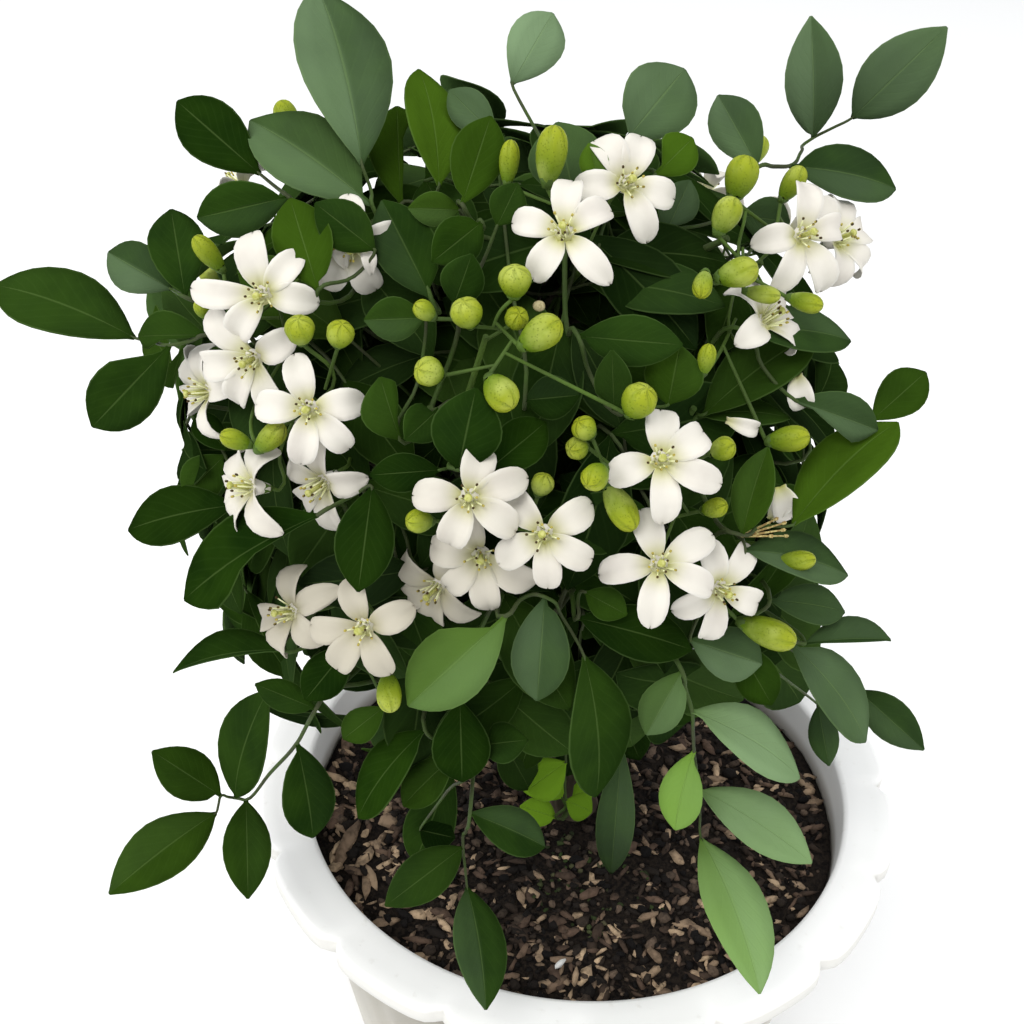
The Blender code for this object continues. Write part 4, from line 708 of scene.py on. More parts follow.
def bloom_seen(row, deeper):
    """A bloom from its row of pixels, with any petal that is hidden put in the widest gap."""
    name, u, v, deep, facing, tips = row
    throat = on_crown(u, v, deep + deeper)
    axis = (VIEW_RIGHT * facing[0] + VIEW_UP * facing[1] - VIEW_AHEAD).normalized()
    side = axis.orthogonal().normalized()
    petals = [petal_turn(throat, axis, side, (tip[0] - u, tip[1] - v)) for tip in tips]
    while len(petals) < PETALS:
        turns = sorted(turn for turn, length in petals)
        gaps = [(turns[(i + 1) % len(turns)] - turns[i]) % math.tau for i in range(len(turns))]
        widest = max(range(len(gaps)), key=gaps.__getitem__)
        petals.append(((turns[widest] + gaps[widest] / 2) % math.tau, sum(PETAL_LENGTH) / 2))
    return Bloom(name, throat, axis, side, sorted(spread_petals(petals)))


print("petals a flower:", PETALS)

# %% [markdown]
# ## Finding the flowers
#
# Each row of the table gives a flower at every depth that it could have, and the first one
# whose petals the solids have is kept. The far side of the bush has two flower heads that
# the photograph doesn't show, with a ring of flowers each, so that the plant is whole from
# behind too.

# %% Finding the flowers
BLOOM_DEPTHS = (0, 2, 4, 6, 8, 10, -2, -4, 12, 15, 18, 21)
FAR_BLOOMS = 3
FAR_BLOOM_LEAN = 0.35
FILL_SEED = 7

# The ring of blooms round a far head, and the ring of buds: first turn, share of the crown, radius
FAR_BLOOM_RING = (0.4, 0.98, 0.0185)
FAR_BUD_RING = (1.5, 0.97, 0.030)

# Flower heads of the far side: name, direction from the crown's centre
FAR_HEADS = [("far_left", (-0.62, 0.70, 0.35)), ("far_right", (0.60, 0.72, 0.30))]


def far_bloom(name, spot, axis, spin, deeper):
    length = sum(PETAL_LENGTH) / 2
    petals = [((spin + index * math.tau / PETALS) % math.tau, length) for index in range(PETALS)]
    return Bloom(name, spot - axis * (deeper * MM), axis, axis.orthogonal().normalized(), sorted(petals))


def around_far_head(direction, count, phase, share, spread):
    """Places in a ring round a far head, each with the head's way out and its own."""
    out = Vector(direction).normalized()
    side = out.cross(UP).normalized()
    for index in range(count):
        turn = index * math.tau / count + phase
        around = side * math.cos(turn) + UP * math.sin(turn)
        yield crown_point(out, share) + around * spread, out, around


def find_blooms():
    """Every flower, at the depth where its solid is."""
    found = [first_found(bloom_seen(row, deeper) for deeper in BLOOM_DEPTHS) for row in BLOOMS]
    draw = random.Random(FILL_SEED)
    for head, direction in FAR_HEADS:
        ring = around_far_head(direction, FAR_BLOOMS, *FAR_BLOOM_RING)
        for index, (spot, out, around) in enumerate(ring):
            axis = (out + around * FAR_BLOOM_LEAN).normalized()
            spin = draw.uniform(0, math.tau)
            name = f"{head}_{index + 1}"
            found.append(first_found(far_bloom(name, spot, axis, spin, deeper) for deeper in BLOOM_DEPTHS))
    return found


blooms = find_blooms()
print("flowers found:", len(blooms))

# %% [markdown]
# ## Buds
#
# The closed buds are lime green and stand between the flowers. A row gives the head, the pixel
# of the bud's middle, its depth, its length and width in pixels and where its tip points.

# %% Buds
FAR_BUDS = 3
FAR_BUD_LEAN = 0.6
FAR_BUD_SIZE = (0.011, 0.007)
BUD_DEPTHS = (0, 3, 6, -3, 9, 12)

# Buds that show: head, pixel, depth (mm), length and width in pixels, where the tip points
BUDS = [
    ("left", 209, 254, 0, 45, 21, (-0.60, 0.75)), ("left", 300, 331, 0, 32, 30, (0.0, 0.3)),
    ("left", 340, 335, 0, 30, 28, (0.1, 0.3)), ("left", 236, 440, -2, 34, 20, (-0.8, 0.3)),
    ("left", 270, 438, -2, 42, 24, (0.7, 0.6)), ("left", 203, 309, 4, 22, 17, (-0.3, 0.8)),
    ("budding", 425, 311, 0, 26, 20, (-0.7, 0.5)), ("budding", 467, 314, -2, 33, 32, (-0.1, 0.3)),
    ("budding", 515, 282, -2, 35, 33, (0.0, 0.4)), ("budding", 516, 319, 2, 26, 24, (0.1, 0.1)),
    ("budding", 540, 334, -4, 50, 34, (0.8, 0.5)), ("budding", 430, 372, -2, 31, 30, (-0.4, 0.1)),
    ("budding", 500, 392, -4, 44, 33, (0.5, -0.7)), ("budding", 638, 402, 0, 40, 35, (0.2, 0.3)),
    ("inner", 585, 429, 2, 26, 25, (-0.3, 0.3)), ("inner", 578, 448, 2, 24, 23, (-0.4, -0.1)),
    ("inner", 596, 476, -3, 32, 27, (-0.4, -0.4)), ("inner", 620, 507, -3, 56, 29, (0.5, -0.9)),
    ("middle", 542, 485, 2, 25, 23, (0.2, 0.5)), ("middle", 420, 521, 2, 30, 24, (-0.5, 0.0)),
    ("inner", 722, 449, 4, 28, 24, (0.6, 0.2)), ("right", 788, 439, 6, 44, 26, (0.9, 0.1)),
    ("inner", 714, 508, 6, 30, 20, (0.4, 0.1)), ("spent", 795, 561, 0, 42, 20, (1.0, 0.1)),
    ("inner", 767, 632, 0, 62, 30, (0.9, -0.35)), ("top", 551, 156, 0, 61, 31, (0.15, 1.0)),
    ("top", 509, 163, 6, 46, 20, (0.1, 1.0)), ("right", 741, 178, 2, 46, 33, (0.3, 0.9)),
    ("right", 726, 216, 2, 41, 28, (0.4, 0.8)), ("right", 792, 184, 4, 40, 22, (0.5, 0.8)),
    ("right", 737, 273, -2, 44, 30, (0.9, 0.2)), ("right", 703, 284, 0, 32, 20, (-0.2, -0.8)),
    ("right", 762, 294, 2, 38, 18, (0.9, -0.2)), ("right", 805, 302, -3, 38, 20, (0.9, -0.3)),
    ("right", 706, 360, 4, 34, 18, (0.2, 0.9)), ("low", 389, 692, 0, 42, 25, (0.1, -1.0)),
]


def bud_seen(row, deeper):
    head, u, v, deep, length, width, pointing = row
    centre = on_crown(u, v, deep + deeper)
    size = pixel_size(centre)
    axis = VIEW_RIGHT * pointing[0] + VIEW_UP * pointing[1] - VIEW_AHEAD * 0.35
    return Bud(head, centre, axis, length * size, width * size)


def find_buds():
    found = [first_found(bud_seen(row, deeper) for deeper in BUD_DEPTHS) for row in BUDS]
    for head, direction in FAR_HEADS:
        for spot, out, around in around_far_head(direction, FAR_BUDS, *FAR_BUD_RING):
            found.append(Bud(head, spot, out + around * FAR_BUD_LEAN, *FAR_BUD_SIZE))
    return found


buds = find_buds()
print("buds found:", len(buds), "of", len(BUDS) + FAR_BUDS * len(FAR_HEADS))

# %% [markdown]
# ## Wood and twigs
#
# Seven limbs fork from the trunk, and a short twig leaves the nearest limb for each shoot and
# each flower head. The photograph hides them, so they follow a rule: a limb bows up from the
# trunk to its place in the crown, and a twig is as short as its shoot allows.

# %% Wood and twigs
FIT_GAP = 0.0003
TRUNK_FOOT = 0.112
TRUNK_RADIUS = 0.0085
TRUNK_PATH = [(0.0, 0.0, TRUNK_FOOT), (0.0, 0.0, 0.152), (-0.003, -0.002, 0.176),
              (-0.011, 0.001, 0.205), (-0.020, -0.002, 0.236)]
TRUNK_TAPER = [1.0, 1.0, 0.82, 0.70, 0.60]
LIMB_RADIUS = 0.0034
LIMB_RISE = 0.010
LIMB_TAPER = [1.0, 0.8, 0.6]
LIMB_TIPS = [(-52, -8, 2), (-22, -42, 8), (30, -40, 2), (50, 2, 4), (24, 42, 8), (-30, 40, 4), (2, 2, 46)]
TWIG_RADIUS = 0.0017
TWIG_TAPER = 0.75
TWIG_TRIALS = 9
TWIG_SHARES = (0.55, 0.4)


def limb_paths():
    fork = Vector(TRUNK_PATH[-1])
    below = Vector(TRUNK_PATH[-2])
    paths = []
    for index, tip in enumerate(LIMB_TIPS):
        end = CROWN_CENTRE + Vector(tip) * MM
        start = below.lerp(fork, 0.45 + 0.5 * (index % 3) / 2)
        control = start.lerp(end, 0.5) + UP * LIMB_RISE
        paths.append([bent(start, control, end, t) for t in (0.0, 0.5, 1.0)])
    return paths


def twig_roots(limbs, spot):
    """Points on the outer halves of the limbs, the nearest to a spot first and those above it later."""
    roots = []
    for path in limbs:
        roots += [path[1].lerp(path[2], share) for share in (0.15, 0.5, 0.85)]
    return sorted(roots, key=lambda root: (root - spot).length + max(0.0, root.z - spot.z))


def find_twig(end):
    """The twig's path towards an end, and the start of the stalk that it bears."""
    radius = TWIG_RADIUS * TWIG_TAPER
    roots = twig_roots(limbs, end)[:TWIG_TRIALS]
    options = [(root, root.lerp(end, share)) for root in roots for share in TWIG_SHARES]
    root, tip = best_of(options, lambda twig: corners.ring(
        "trunk", twig[1], radius, (twig[1] - twig[0]).normalized()))
    return [root, tip], tip + (tip - root).normalized() * FIT_GAP


limbs = limb_paths()
print("limbs:", len(limbs))

# %% [markdown]
# ## Stalks of the flower heads
#
# The flowers of orange jasmine stand in loose heads: one stalk runs to a hub, and the others
# fork from those before them, each to a flower or a bud. A stalk is not free to go anywhere:
# of all its bends, the one is kept whose corners are in the solid.

# %% Stalks of the flower heads
HEAD_STALK_RADIUS = 0.0010
PEDICEL_RADIUS = 0.0007

# Flower heads: name, the hub's pixel and its depth behind the crown's front, mm
HEADS = [
    ("left", 300, 386, 18),
    ("top", 598, 252, 16),
    ("right", 762, 262, 18),
    ("middle", 478, 530, 18),
    ("inner", 662, 520, 18),
    ("low", 352, 600, 18),
    ("budding", 486, 336, 10),
    ("spent", 772, 545, 14),
]


def head_hubs():
    hubs = {name: on_crown(u, v, deep) for name, u, v, deep in HEADS}
    for name, direction in FAR_HEADS:
        hubs[name] = crown_point(Vector(direction).normalized(), 0.82)
    return hubs


def head_ends(name, hub):
    """What a head's stalks lead to, nearest the hub first: a flower's foot or a bud with its foot."""
    ends = [(bloom.foot - bloom.axis * FIT_GAP, bloom.axis, None) for bloom in blooms if bloom.head == name]
    ends += [(bud.path[0], bud.axis, bud) for bud in buds if bud.head == name]
    return sorted(ends, key=lambda end: (end[0] - hub).length)


def find_pedicel(node, forks, end, axis, bud):
    """The path from one of the forks to a flower's or a bud's foot."""
    bends = bud_stalk_options if bud else bloom_stalk_options
    ahead, girth = ([bud.path[1]], bud.radii[0]) if bud else ([], None)
    options = [path for fork in forks for path in bends(fork, end, axis)]
    return best_of(options, lambda path: bends_found(node, path + ahead, PEDICEL_RADIUS, girth))


def find_head(name, hub):
    """A head's twig and its stalks, the hub's own first."""
    node = "head_" + name
    twig, start = find_twig(hub)
    first = best_of(stalk_options(start, hub, UP), lambda path: corners.ring(
        node, start, HEAD_STALK_RADIUS, (path[1] - start).normalized()))
    paths = [first]
    forks = [first[-2].lerp(hub, share) for share in (0.4, 0.6, 0.8, 0.95)]
    for end, axis, bud in head_ends(name, hub):
        forks.sort(key=lambda fork: (fork - end).length)
        path = find_pedicel(node, forks, end, axis, bud)
        forks.remove(path[0])
        forks += [path[0].lerp(path[1], share) for share in (0.35, 0.7)]
        paths.append(path)
    return twig, paths


heads = {name: find_head(name, hub) for name, hub in head_hubs().items()}
print("stalks in the heads:", sum(len(paths) for twig, paths in heads.values()))

# %% [markdown]
# ## Compound leaves
#
# A leaf of orange jasmine is pinnate: leaflets stand by turns along a stalk, and one ends it.
# The table lists the leaves that show, leaflet by leaflet. The far side and the inside are
# filled by a rule with seeded draws. Some leaflets carry a painted reflection of the sky on one
# half or on both, some are painted brighter or darker for the light they stand in, and the
# youngest are yellow-green. That depends on how each leaf curls, so such a leaflet has a
# tone in its row, and the others draw a small one.

# %% Compound leaves
# Shoots that show: name, where the stem ends (pixel u, v and depth behind the crown's front, mm)
SHOOTS = [
    ("top_left", 372, 222, 26),
    ("left", 246, 352, 26),
    ("top_middle", 566, 226, 26),
    ("top_right", 728, 238, 24),
    ("right", 694, 408, 26),
    ("low_right", 738, 592, 26),
    ("hanging_right", 672, 640, 24),
    ("middle", 430, 408, 28),
    ("middle_left", 342, 560, 28),
    ("low_left", 334, 690, 24),
    ("hanging_middle", 470, 668, 26),
    ("middle_right", 556, 612, 26),
]

# Shoots of the far side: name, direction from the crown's centre
FAR_SHOOTS = [
    ("back_left", (-0.72, 0.62, 0.05)),
    ("back", (-0.10, 0.95, 0.10)),
    ("back_right", (0.66, 0.68, 0.05)),
    ("back_top", (0.10, 0.55, 0.80)),
    ("side_left", (-0.95, 0.10, -0.25)),
]

# Compound leaves that show: shoot, then each leaflet from the petiole to the tip as (base u, v,
# tip u, v, width) in pixels and how far it lies behind its place on the crown, in mm. A tone
# follows where it stands out: how much painted reflection of the sky lies on the left and on
# the right half, how yellow-green the leaflet is, partly its own colour and partly painted
# light, and how much painted shade darkens it.
LEAVES = [
    ("hanging_middle", [(470, 813, 545, 847, 45, 0, (0.15, 0, 0, 0)), (463, 847, 385, 906, 48, 0), (467,
     887, 486, 1010, 52, 0, (0, 0.2, 0, 0))]),
    ("hanging_right", [(682, 671, 646, 735, 45, 0, (0.4, 0.15, 0.15, 0)), (692, 711, 800, 778, 50, 0, (0.95,
     1.0, 0.35, 0)), (694, 751, 675, 830, 43, 0, (0.4, 0.3, 0.9, 0)), (699, 789, 812, 863, 52, 0, (1.0, 1.0,
     0.6, 0)), (701, 838, 760, 994, 60, 0, (1.0, 0.6, 0.85, 0))]),
    ("low_left", [(316, 709, 255, 684, 32, 0), (297, 743, 313, 838, 52, 0), (246, 800, 248, 899, 48, 0),
     (235, 798, 268, 690, 55, 4), (221, 796, 152, 751, 50, 0), (216, 813, 109, 894, 58, 0, (0, 0.05, 0.08,
     0))]),
    ("middle_right", [(506, 616, 408, 706, 75, 0, (0.34, 0.1, 0.3, 0)), (545, 597, 537, 701, 58, 3, (0.15,
     0.35, 0, 0)), (584, 656, 596, 797, 62, 4)]),
    ("middle_right", [(578, 618, 692, 650, 55, 7, (0, 0, 0, 0.5)), (585, 592, 627, 615, 34, 8)]),
    ("hanging_middle", [(425, 730, 358, 818, 45, 4, (0, 0, 0, 0.1)), (455, 755, 403, 806, 40, 5), (460, 700,
     462, 782, 45, 7, (0, 0, 0, 0.3))]),
    ("top_left", [(372, 205, 250, 120, 75, 4, (0.45, 0.1, 0.05, 0)), (362, 165, 318, -12, 87, 0, (0.65, 0.2,
     0, 0))]),
    ("left", [(185, 297, 171, 209, 54, 0), (171, 289, 108, 252, 50, 6, (0.5, 0.05, 0, 0))]),
    ("left", [(205, 335, 138, 336, 50, 6), (170, 345, 92, 427, 65, 2), (135, 338, -6, 285, 70, 4)]),
    ("top_left", [(289, 197, 197, 218, 55, 2, (0.1, 0, 0, 0)), (260, 174, 177, 101, 60, 2, (0, 0, 0,
     0.3))]),
    ("top_left", [(318, 290, 290, 198, 60, 2, (0, 0, 0.13, 0)), (375, 250, 315, 203, 50, 8)]),
    ("top_left", [(431, 298, 382, 200, 63, 0, (0.1, 0, 0, 0)), (401, 204, 397, 106, 55, 8, (0, 0, 0.12, 0)),
     (439, 186, 419, 69, 55, 3, (0, 0, 0.22, 0))]),
    ("middle", [(458, 470, 476, 388, 72, 0), (487, 471, 546, 422, 50, 2, (0, 0, 0, 0.1)), (440, 470, 370,
     475, 40, 3, (0, 0, 0, 0.5))]),
    ("middle", [(440, 408, 405, 440, 42, 6), (400, 440, 380, 377, 60, 2), (425, 318, 364, 320, 45, 2, (0.15,
     0, 0.05, 0))]),
    ("middle_left", [(318, 515, 184, 600, 75, 2, (0, 0, 0, 0.2)), (372, 487, 358, 592, 60, 4, (0, 0, 0,
     0.4))]),
    ("left", [(193, 412, 226, 450, 30, 10, (0, 0, 0, 0.3)), (225, 455, 185, 495, 45, 10), (235, 505, 128,
     530, 55, 6, (0, 0, 0, 0.4))]),
    ("middle_left", [(283, 650, 173, 672, 42, 8), (350, 645, 305, 700, 45, 8, (0, 0, 0, 0.3)), (384, 707,
     343, 739, 35, 8)]),
    ("top_right", [(758, 167, 718, 95, 52, 0, (0.55, 0.2, 0, 0)), (789, 166, 896, 189, 52, 0, (0.05, 0.3, 0,
     0)), (813, 138, 811, 16, 57, 0, (0.68, 0.25, 0, 0)), (852, 118, 947, 27, 66, 0, (0.4, 0.35, 0, 0))]),
    ("right", [(578, 336, 683, 345, 52, 2), (614, 412, 612, 350, 38, 4), (668, 405, 680, 345, 60, 6)]),
    ("right", [(697, 416, 790, 418, 28, 0), (695, 413, 816, 333, 60, 0)]),
    ("right", [(742, 535, 768, 447, 42, 0, (0.05, 0, 0.1, 0)), (793, 525, 898, 422, 62, 0, (0, 0, 0.2,
     0))]),
    ("top_middle", [(625, 141, 685, 69, 75, 10, (0.45, 0.35, 0, 0)), (655, 175, 693, 138, 45, 6, (0, 0, 0.2,
     0)), (600, 185, 589, 143, 30, 6, (0, 0.1, 0.35, 0))]),
    ("top_middle", [(462, 204, 491, 116, 55, 6, (0, 0, 0.1, 0)), (482, 222, 432, 262, 50, 6), (460, 210,
     408, 208, 35, 10, (0.1, 0, 0.12, 0))]),
    ("top_middle", [(575, 200, 557, 122, 75, 12, (0.2, 0.2, 0.05, 0)), (512, 84, 553, 13, 55, 26, (1.0, 0.8,
     0, 0))]),
    ("top_middle", [(454, 304, 472, 254, 45, 6), (497, 226, 518, 183, 38, 8)]),
    ("top_right", [(665, 235, 690, 180, 40, 10, (0.25, 0.35, 0, 0)), (740, 215, 790, 222, 44, 8, (0.2, 0.2,
     0, 0))]),
    ("low_right", [(805, 643, 891, 640, 44, 4, (0.25, 0.05, 0, 0)), (790, 642, 866, 742, 50, 6, (0.4, 0.35,
     0, 0)), (858, 690, 924, 750, 42, 10, (0.05, 0.25, 0, 0))]),
    ("low_right", [(745, 550, 848, 575, 45, 2, (0.1, 0.45, 0, 0)), (690, 640, 762, 664, 55, 8, (0.15, 0.65,
     0, 0))]),
    ("right", [(745, 330, 851, 341, 45, 12, (0.2, 0.05, 0, 0)), (795, 400, 878, 430, 50, 12, (0.1, 0.4, 0,
     0)), (872, 420, 926, 372, 45, 12)]),
    ("low_right", [(770, 600, 845, 612, 40, 12, (0.2, 0.2, 0, 0)), (735, 640, 772, 705, 44, 12), (818, 705,
     829, 766, 30, 14, (0.2, 0.1, 0, 0))]),
    ("middle", [(525, 400, 580, 395, 45, 10, (0.05, 0, 0, 0.5)), (495, 135, 449, 90, 40, 16, (0.35, 0.35, 0,
     0))]),
    ("hanging_middle", [(480, 745, 528, 740, 42, 14), (420, 830, 455, 838, 40, 14, (0, 0, 0, 0.7))]),
]


print("leaves in the table:", len(LEAVES))

# %% [markdown]
# ## Leaflets from pixels
#
# A leaflet that looks narrow for its length is not narrow: it is turned away from the eye. So
# its true width comes from its length, and it is turned about its midrib until it looks as
# narrow as in the photograph. From the side, such a leaflet is as broad as the others.

# %% Leaflets from pixels
LEAFLET_SPACING = 0.0026
TOUCHING = 0.00001
LEAF_BASE_DEPTH = 5.0


def shoot_ends():
    ends = {name: on_crown(u, v, deep) for name, u, v, deep in SHOOTS}
    for name, direction in FAR_SHOOTS:
        ends[name] = crown_point(Vector(direction).normalized(), 0.70)
    return ends


def rolled(along, eye, seen, true):
    """The way a blade faces that is true wide but looks seen wide: it is turned about its midrib."""
    toward = square_to(along, eye).normalized()
    sideways = square_to(toward, square_to(along, UP))
    roll = math.acos(min(1.0, seen / true)) if sideways.length > 0.05 else 0.0
    return toward * math.cos(roll) + sideways.normalized() * math.sin(roll)


def seen_leaflet(row, deeper, push):
    """A leaflet's base, tip, width and facing, from two pixels and its width in pixels."""
    u, v, tip_u, tip_v, width, deep = row[:6]
    base = on_crown(u, v, deep + LEAF_BASE_DEPTH + deeper)
    tip = on_crown(tip_u, tip_v, deep + deeper + push)
    seen = width * pixel_size(base.lerp(tip, 0.5))
    true = max(seen, LEAFLET_RATIO * (tip - base).length)
    return base, tip, true, rolled((tip - base).normalized(), (VIEW_EYE - base).normalized(), seen, true)


def spaced(specs):
    """Moves the bases of leaflets apart where they would grow from one spot of the rachis."""
    moved = []
    for base, tip, width, facing in specs:
        if moved and TOUCHING < (base - moved[-1][0]).length < LEAFLET_SPACING:
            run = base - moved[-2][0] if len(moved) > 1 else base - CROWN_CENTRE
            base = moved[-1][0] + run.normalized() * LEAFLET_SPACING
        moved.append((base, tip, width, facing))
    return moved


def rachis_run(spots, index):
    """The way the rachis runs past a spot, from its neighbours that lie elsewhere."""
    before = [spot for spot in spots[:index] if (spot - spots[index]).length > TOUCHING]
    after = [spot for spot in spots[index + 1:] if (spot - spots[index]).length > TOUCHING]
    return ((after or spots[index:])[0] - (before or [spots[index]])[-1]).normalized()


sample = seen_leaflet(LEAVES[0][1][0], 0, 0)
print("one leaflet's length in mm:", round((sample[1] - sample[0]).length / MM))

# %% [markdown]
# ## Finding the leaves
#
# A leaf is tried on the shoots that it could grow on, depth by depth, until the solids have
# its leaflets. Its stalk is found after that, from the rings of corners at its bends.

# %% Finding the leaves
PETIOLE_RADIUS = 0.0007
LEAFLET_ARCH = 0.07
LEAF_ROOTS = (0.6, 0.78, 0.94)
LEAF_DEPTHS = (0, 3, 6, -3, 9, 13, 17, 22, -7)
LEAF_PUSHES = (0, 3, 6, -3, 9, -6, 12, 16)
PETIOLE_CORNERS = 0.3

# What a leaflet's tone is drawn from: each of its four values (painted sheen left and right, brightness,
# painted shade), from and to
FAR_TONES = ((0, 0.1), (0, 0.1), (0, 0.12), (0, 0.45))
SEEN_TONES = ((0, 0.03), (0, 0.03), (0, 0.08), (0, 0.12))


@dataclass(eq=False)
class Leaf:
    """A compound leaf: its shoot, the leaflets of its solid, those to show, its stalk's start, its tones."""

    shoot: str
    solid: list
    shown: list
    path: list = None
    tones: tuple = FAR_TONES


def leaf_blade(base, tip, width, facing):
    return Blade(base, tip, width, facing, (tip - base).length * LEAFLET_ARCH)


def make_blade(rows, spots, index, leaflet, deeper, push):
    tip, width, facing = leaflet(rows[index], deeper, push)[1:]
    blade = leaf_blade(spots[index], tip, width, facing)
    if index + 1 < len(rows):
        blade.lean_off(rachis_run(spots, index))
    return blade


def find_leaf(shoots, rows, leaflet):
    """The leaf at the shoot and depth where the solids have its leaflets."""
    for deeper in LEAF_DEPTHS:
        spots = [spec[0] for spec in spaced([leaflet(row, deeper, 0) for row in rows])]
        for shoot in shoots:
            blades = {}
            for index in range(len(rows)):
                options = (make_blade(rows, spots, index, leaflet, deeper, push) for push in LEAF_PUSHES)
                blade = next((blade for blade in options if blade.found("shoot_" + shoot)), None)
                if blade:
                    blades[index] = blade
            if blades:
                whole = [blades.get(index) or make_blade(rows, spots, index, leaflet, deeper, 0)
                         for index in range(len(rows))]
                leaf = Leaf(shoot, list(blades.values()), whole)
                leaf.path = find_petiole(leaf)
                return leaf
    return None


def find_petiole(leaf):
    """The root of a leaf's stalk on its stem, and the bend on the way to the first leaflet."""
    stem = stems[leaf.shoot]
    foot = leaf.solid[0].base
    later = [blade.base for blade in leaf.solid if (blade.base - foot).length > TOUCHING]
    ahead = later[0] - foot if later else leaf.solid[-1].along
    size = math.hypot(PETIOLE_RADIUS, BLADE_THICKNESS / 2)
    node = "shoot_" + leaf.shoot

    def score(path):
        run = halfway(path[-2], foot, foot + ahead)
        shares = [corners.ring(node, foot + run * offset, size, run)
                  for offset in ([0.0] if len(leaf.solid) == 1 else [-PETIOLE_RADIUS, PETIOLE_RADIUS])]
        shares += [corners.ring(node, here, size, halfway(before, here, after))
                   for before, here, after in zip(path, path[1:], path[2:])]
        return sum(shares) / len(shares)

    roots = [stem[0].lerp(stem[1], share) for share in LEAF_ROOTS]
    options = [path for root in roots for path in stalk_options(root, foot, crown_normal(foot))]
    return best_of(options, score, PETIOLE_CORNERS)[:-1]


def near_shoots(spot):
    """The shoots, the one whose stem ends nearest to a spot first."""
    names = [name for name in stems if name != "young"]
    return sorted(names, key=lambda name: (stems[name][1] - spot).length)


def find_stems():
    found = {}
    for name, end in shoot_ends().items():
        twig, start = find_twig(end)
        twigs["shoot_" + name] = twig
        found[name] = [start, end]
    return found


def find_seen_leaves():
    found = []
    for shoot, rows in LEAVES:
        others = [name for name in near_shoots(on_crown(*rows[0][:2], rows[0][5])) if name != shoot]
        leaf = find_leaf([shoot] + others[:2], rows, seen_leaflet)
        leaf.tones = SEEN_TONES
        for blade, row in zip(leaf.shown, rows):
            blade.tone = row[6] if len(row) > 6 else None
        found.append(leaf)
    return found


twigs = {"head_" + name: twig for name, (twig, paths) in heads.items()}
stems = find_stems()
seen_leaves = find_seen_leaves()
print("leaves that show:", len(seen_leaves), "of", len(LEAVES),
      "with", sum(len(leaf.solid) for leaf in seen_leaves), "leaflets")

# %% [markdown]
# ## Leaves of the far side
#
# The sides, the top and the back of the bush are leafy as well. Their leaves stand at places
# of a golden spiral over the crown, with two pairs of leaflets and one at the end, each at the
# first depth that keeps the bush's outline.

# %% Leaves of the far side
FILL_PLACES = 38
SPIRAL_LOWEST = -0.75
FILL_FRONT = 0.15
FILL_OUTER = (0.92, 0.82, 0.72, 0.62, 0.50)
FILL_INNER = (0.62, 0.50)
FILL_FEWEST = 4
FILL_RACHIS = 0.046
FILL_LEAFLET = 0.035
FILL_PAIRS = 2
FILL_WAYS = (0.7, 0.45, 0.5)

# The outline that the filling leaves keep to in the photograph: v, left u, right u
FILL_OUTLINE = [(70, 400, 580), (110, 330, 690), (160, 210, 735), (250, 150, 800), (350, 120, 850),
                (450, 170, 850), (550, 185, 830), (650, 215, 845), (720, 250, 800), (780, 330, 470),
                (800, 400, 400)]


def filling_leaflet(row, deeper, push):
    """A leaflet of a leaf that is placed by rule, sunk into the crown by deeper."""
    base, heading, length, facing = row
    base = base - facing * (deeper * MM * 0.6)
    return base, base + heading * length - facing * (push * MM * 0.6), length * LEAFLET_RATIO, facing


def filling_rows(spot, run, out, length):
    """Pairs of leaflets along a rachis that leaves spot along run, and one at its end."""
    side = run.cross(out).normalized()
    rows = []
    for index in range(2 * FILL_PAIRS + 1):
        share = (index // 2) / FILL_PAIRS
        hand = 1 if index % 2 else -1
        base = spot + run * (FILL_RACHIS * share) + out * (FILL_RACHIS * 0.2 * math.sin(share * 2.2))
        heading = run if share == 1.0 else (run * 0.55 + side * hand).normalized()
        size = length * (0.85 + 0.25 * math.sin(math.pi * (0.25 + 0.6 * share)))
        rows.append((base, (heading - UP * 0.25 * share).normalized(), size, out))
    return rows


def seen_pixel(point):
    """The pixel of the photograph that a point falls on."""
    offset = point - VIEW_EYE
    scale = VIEW_FOCAL / offset.dot(VIEW_AHEAD)
    return VIEW_CENTRE + offset.dot(VIEW_RIGHT) * scale, VIEW_CENTRE - offset.dot(VIEW_UP) * scale


def inside_outline(row):
    """Whether a leaflet's tip keeps to the bush's outline."""
    u, v = seen_pixel(row[0] + row[1] * row[2])
    for (top, left, right), (foot, foot_left, foot_right) in zip(FILL_OUTLINE, FILL_OUTLINE[1:]):
        if top <= v <= foot:
            share = (v - top) / (foot - top)
            return left + (foot_left - left) * share <= u <= right + (foot_right - right) * share
    return False


def spiral(count):
    """Ways out of the crown's centre along a golden spiral, from the top down."""
    golden = math.pi * (3 - math.sqrt(5))
    for index in range(count):
        height = 1 - 2 * (index + 0.5) / count
        ring = math.sqrt(1 - height * height)
        if height >= SPIRAL_LOWEST:
            yield Vector((ring * math.cos(index * golden), ring * math.sin(index * golden), height))


def leaf_ways(out, swirl, steep, lift, nod):
    """The way a leaf's rachis runs over the crown, and the side that its leaflets look to."""
    outward = crown_normal(crown_point(out, 1.0))
    side = outward.cross(UP).normalized()
    run = side * math.cos(swirl) + side.cross(outward) * math.sin(swirl) * steep + outward * lift
    run = run.normalized()
    return run, square_to(run, outward + UP * nod).normalized()


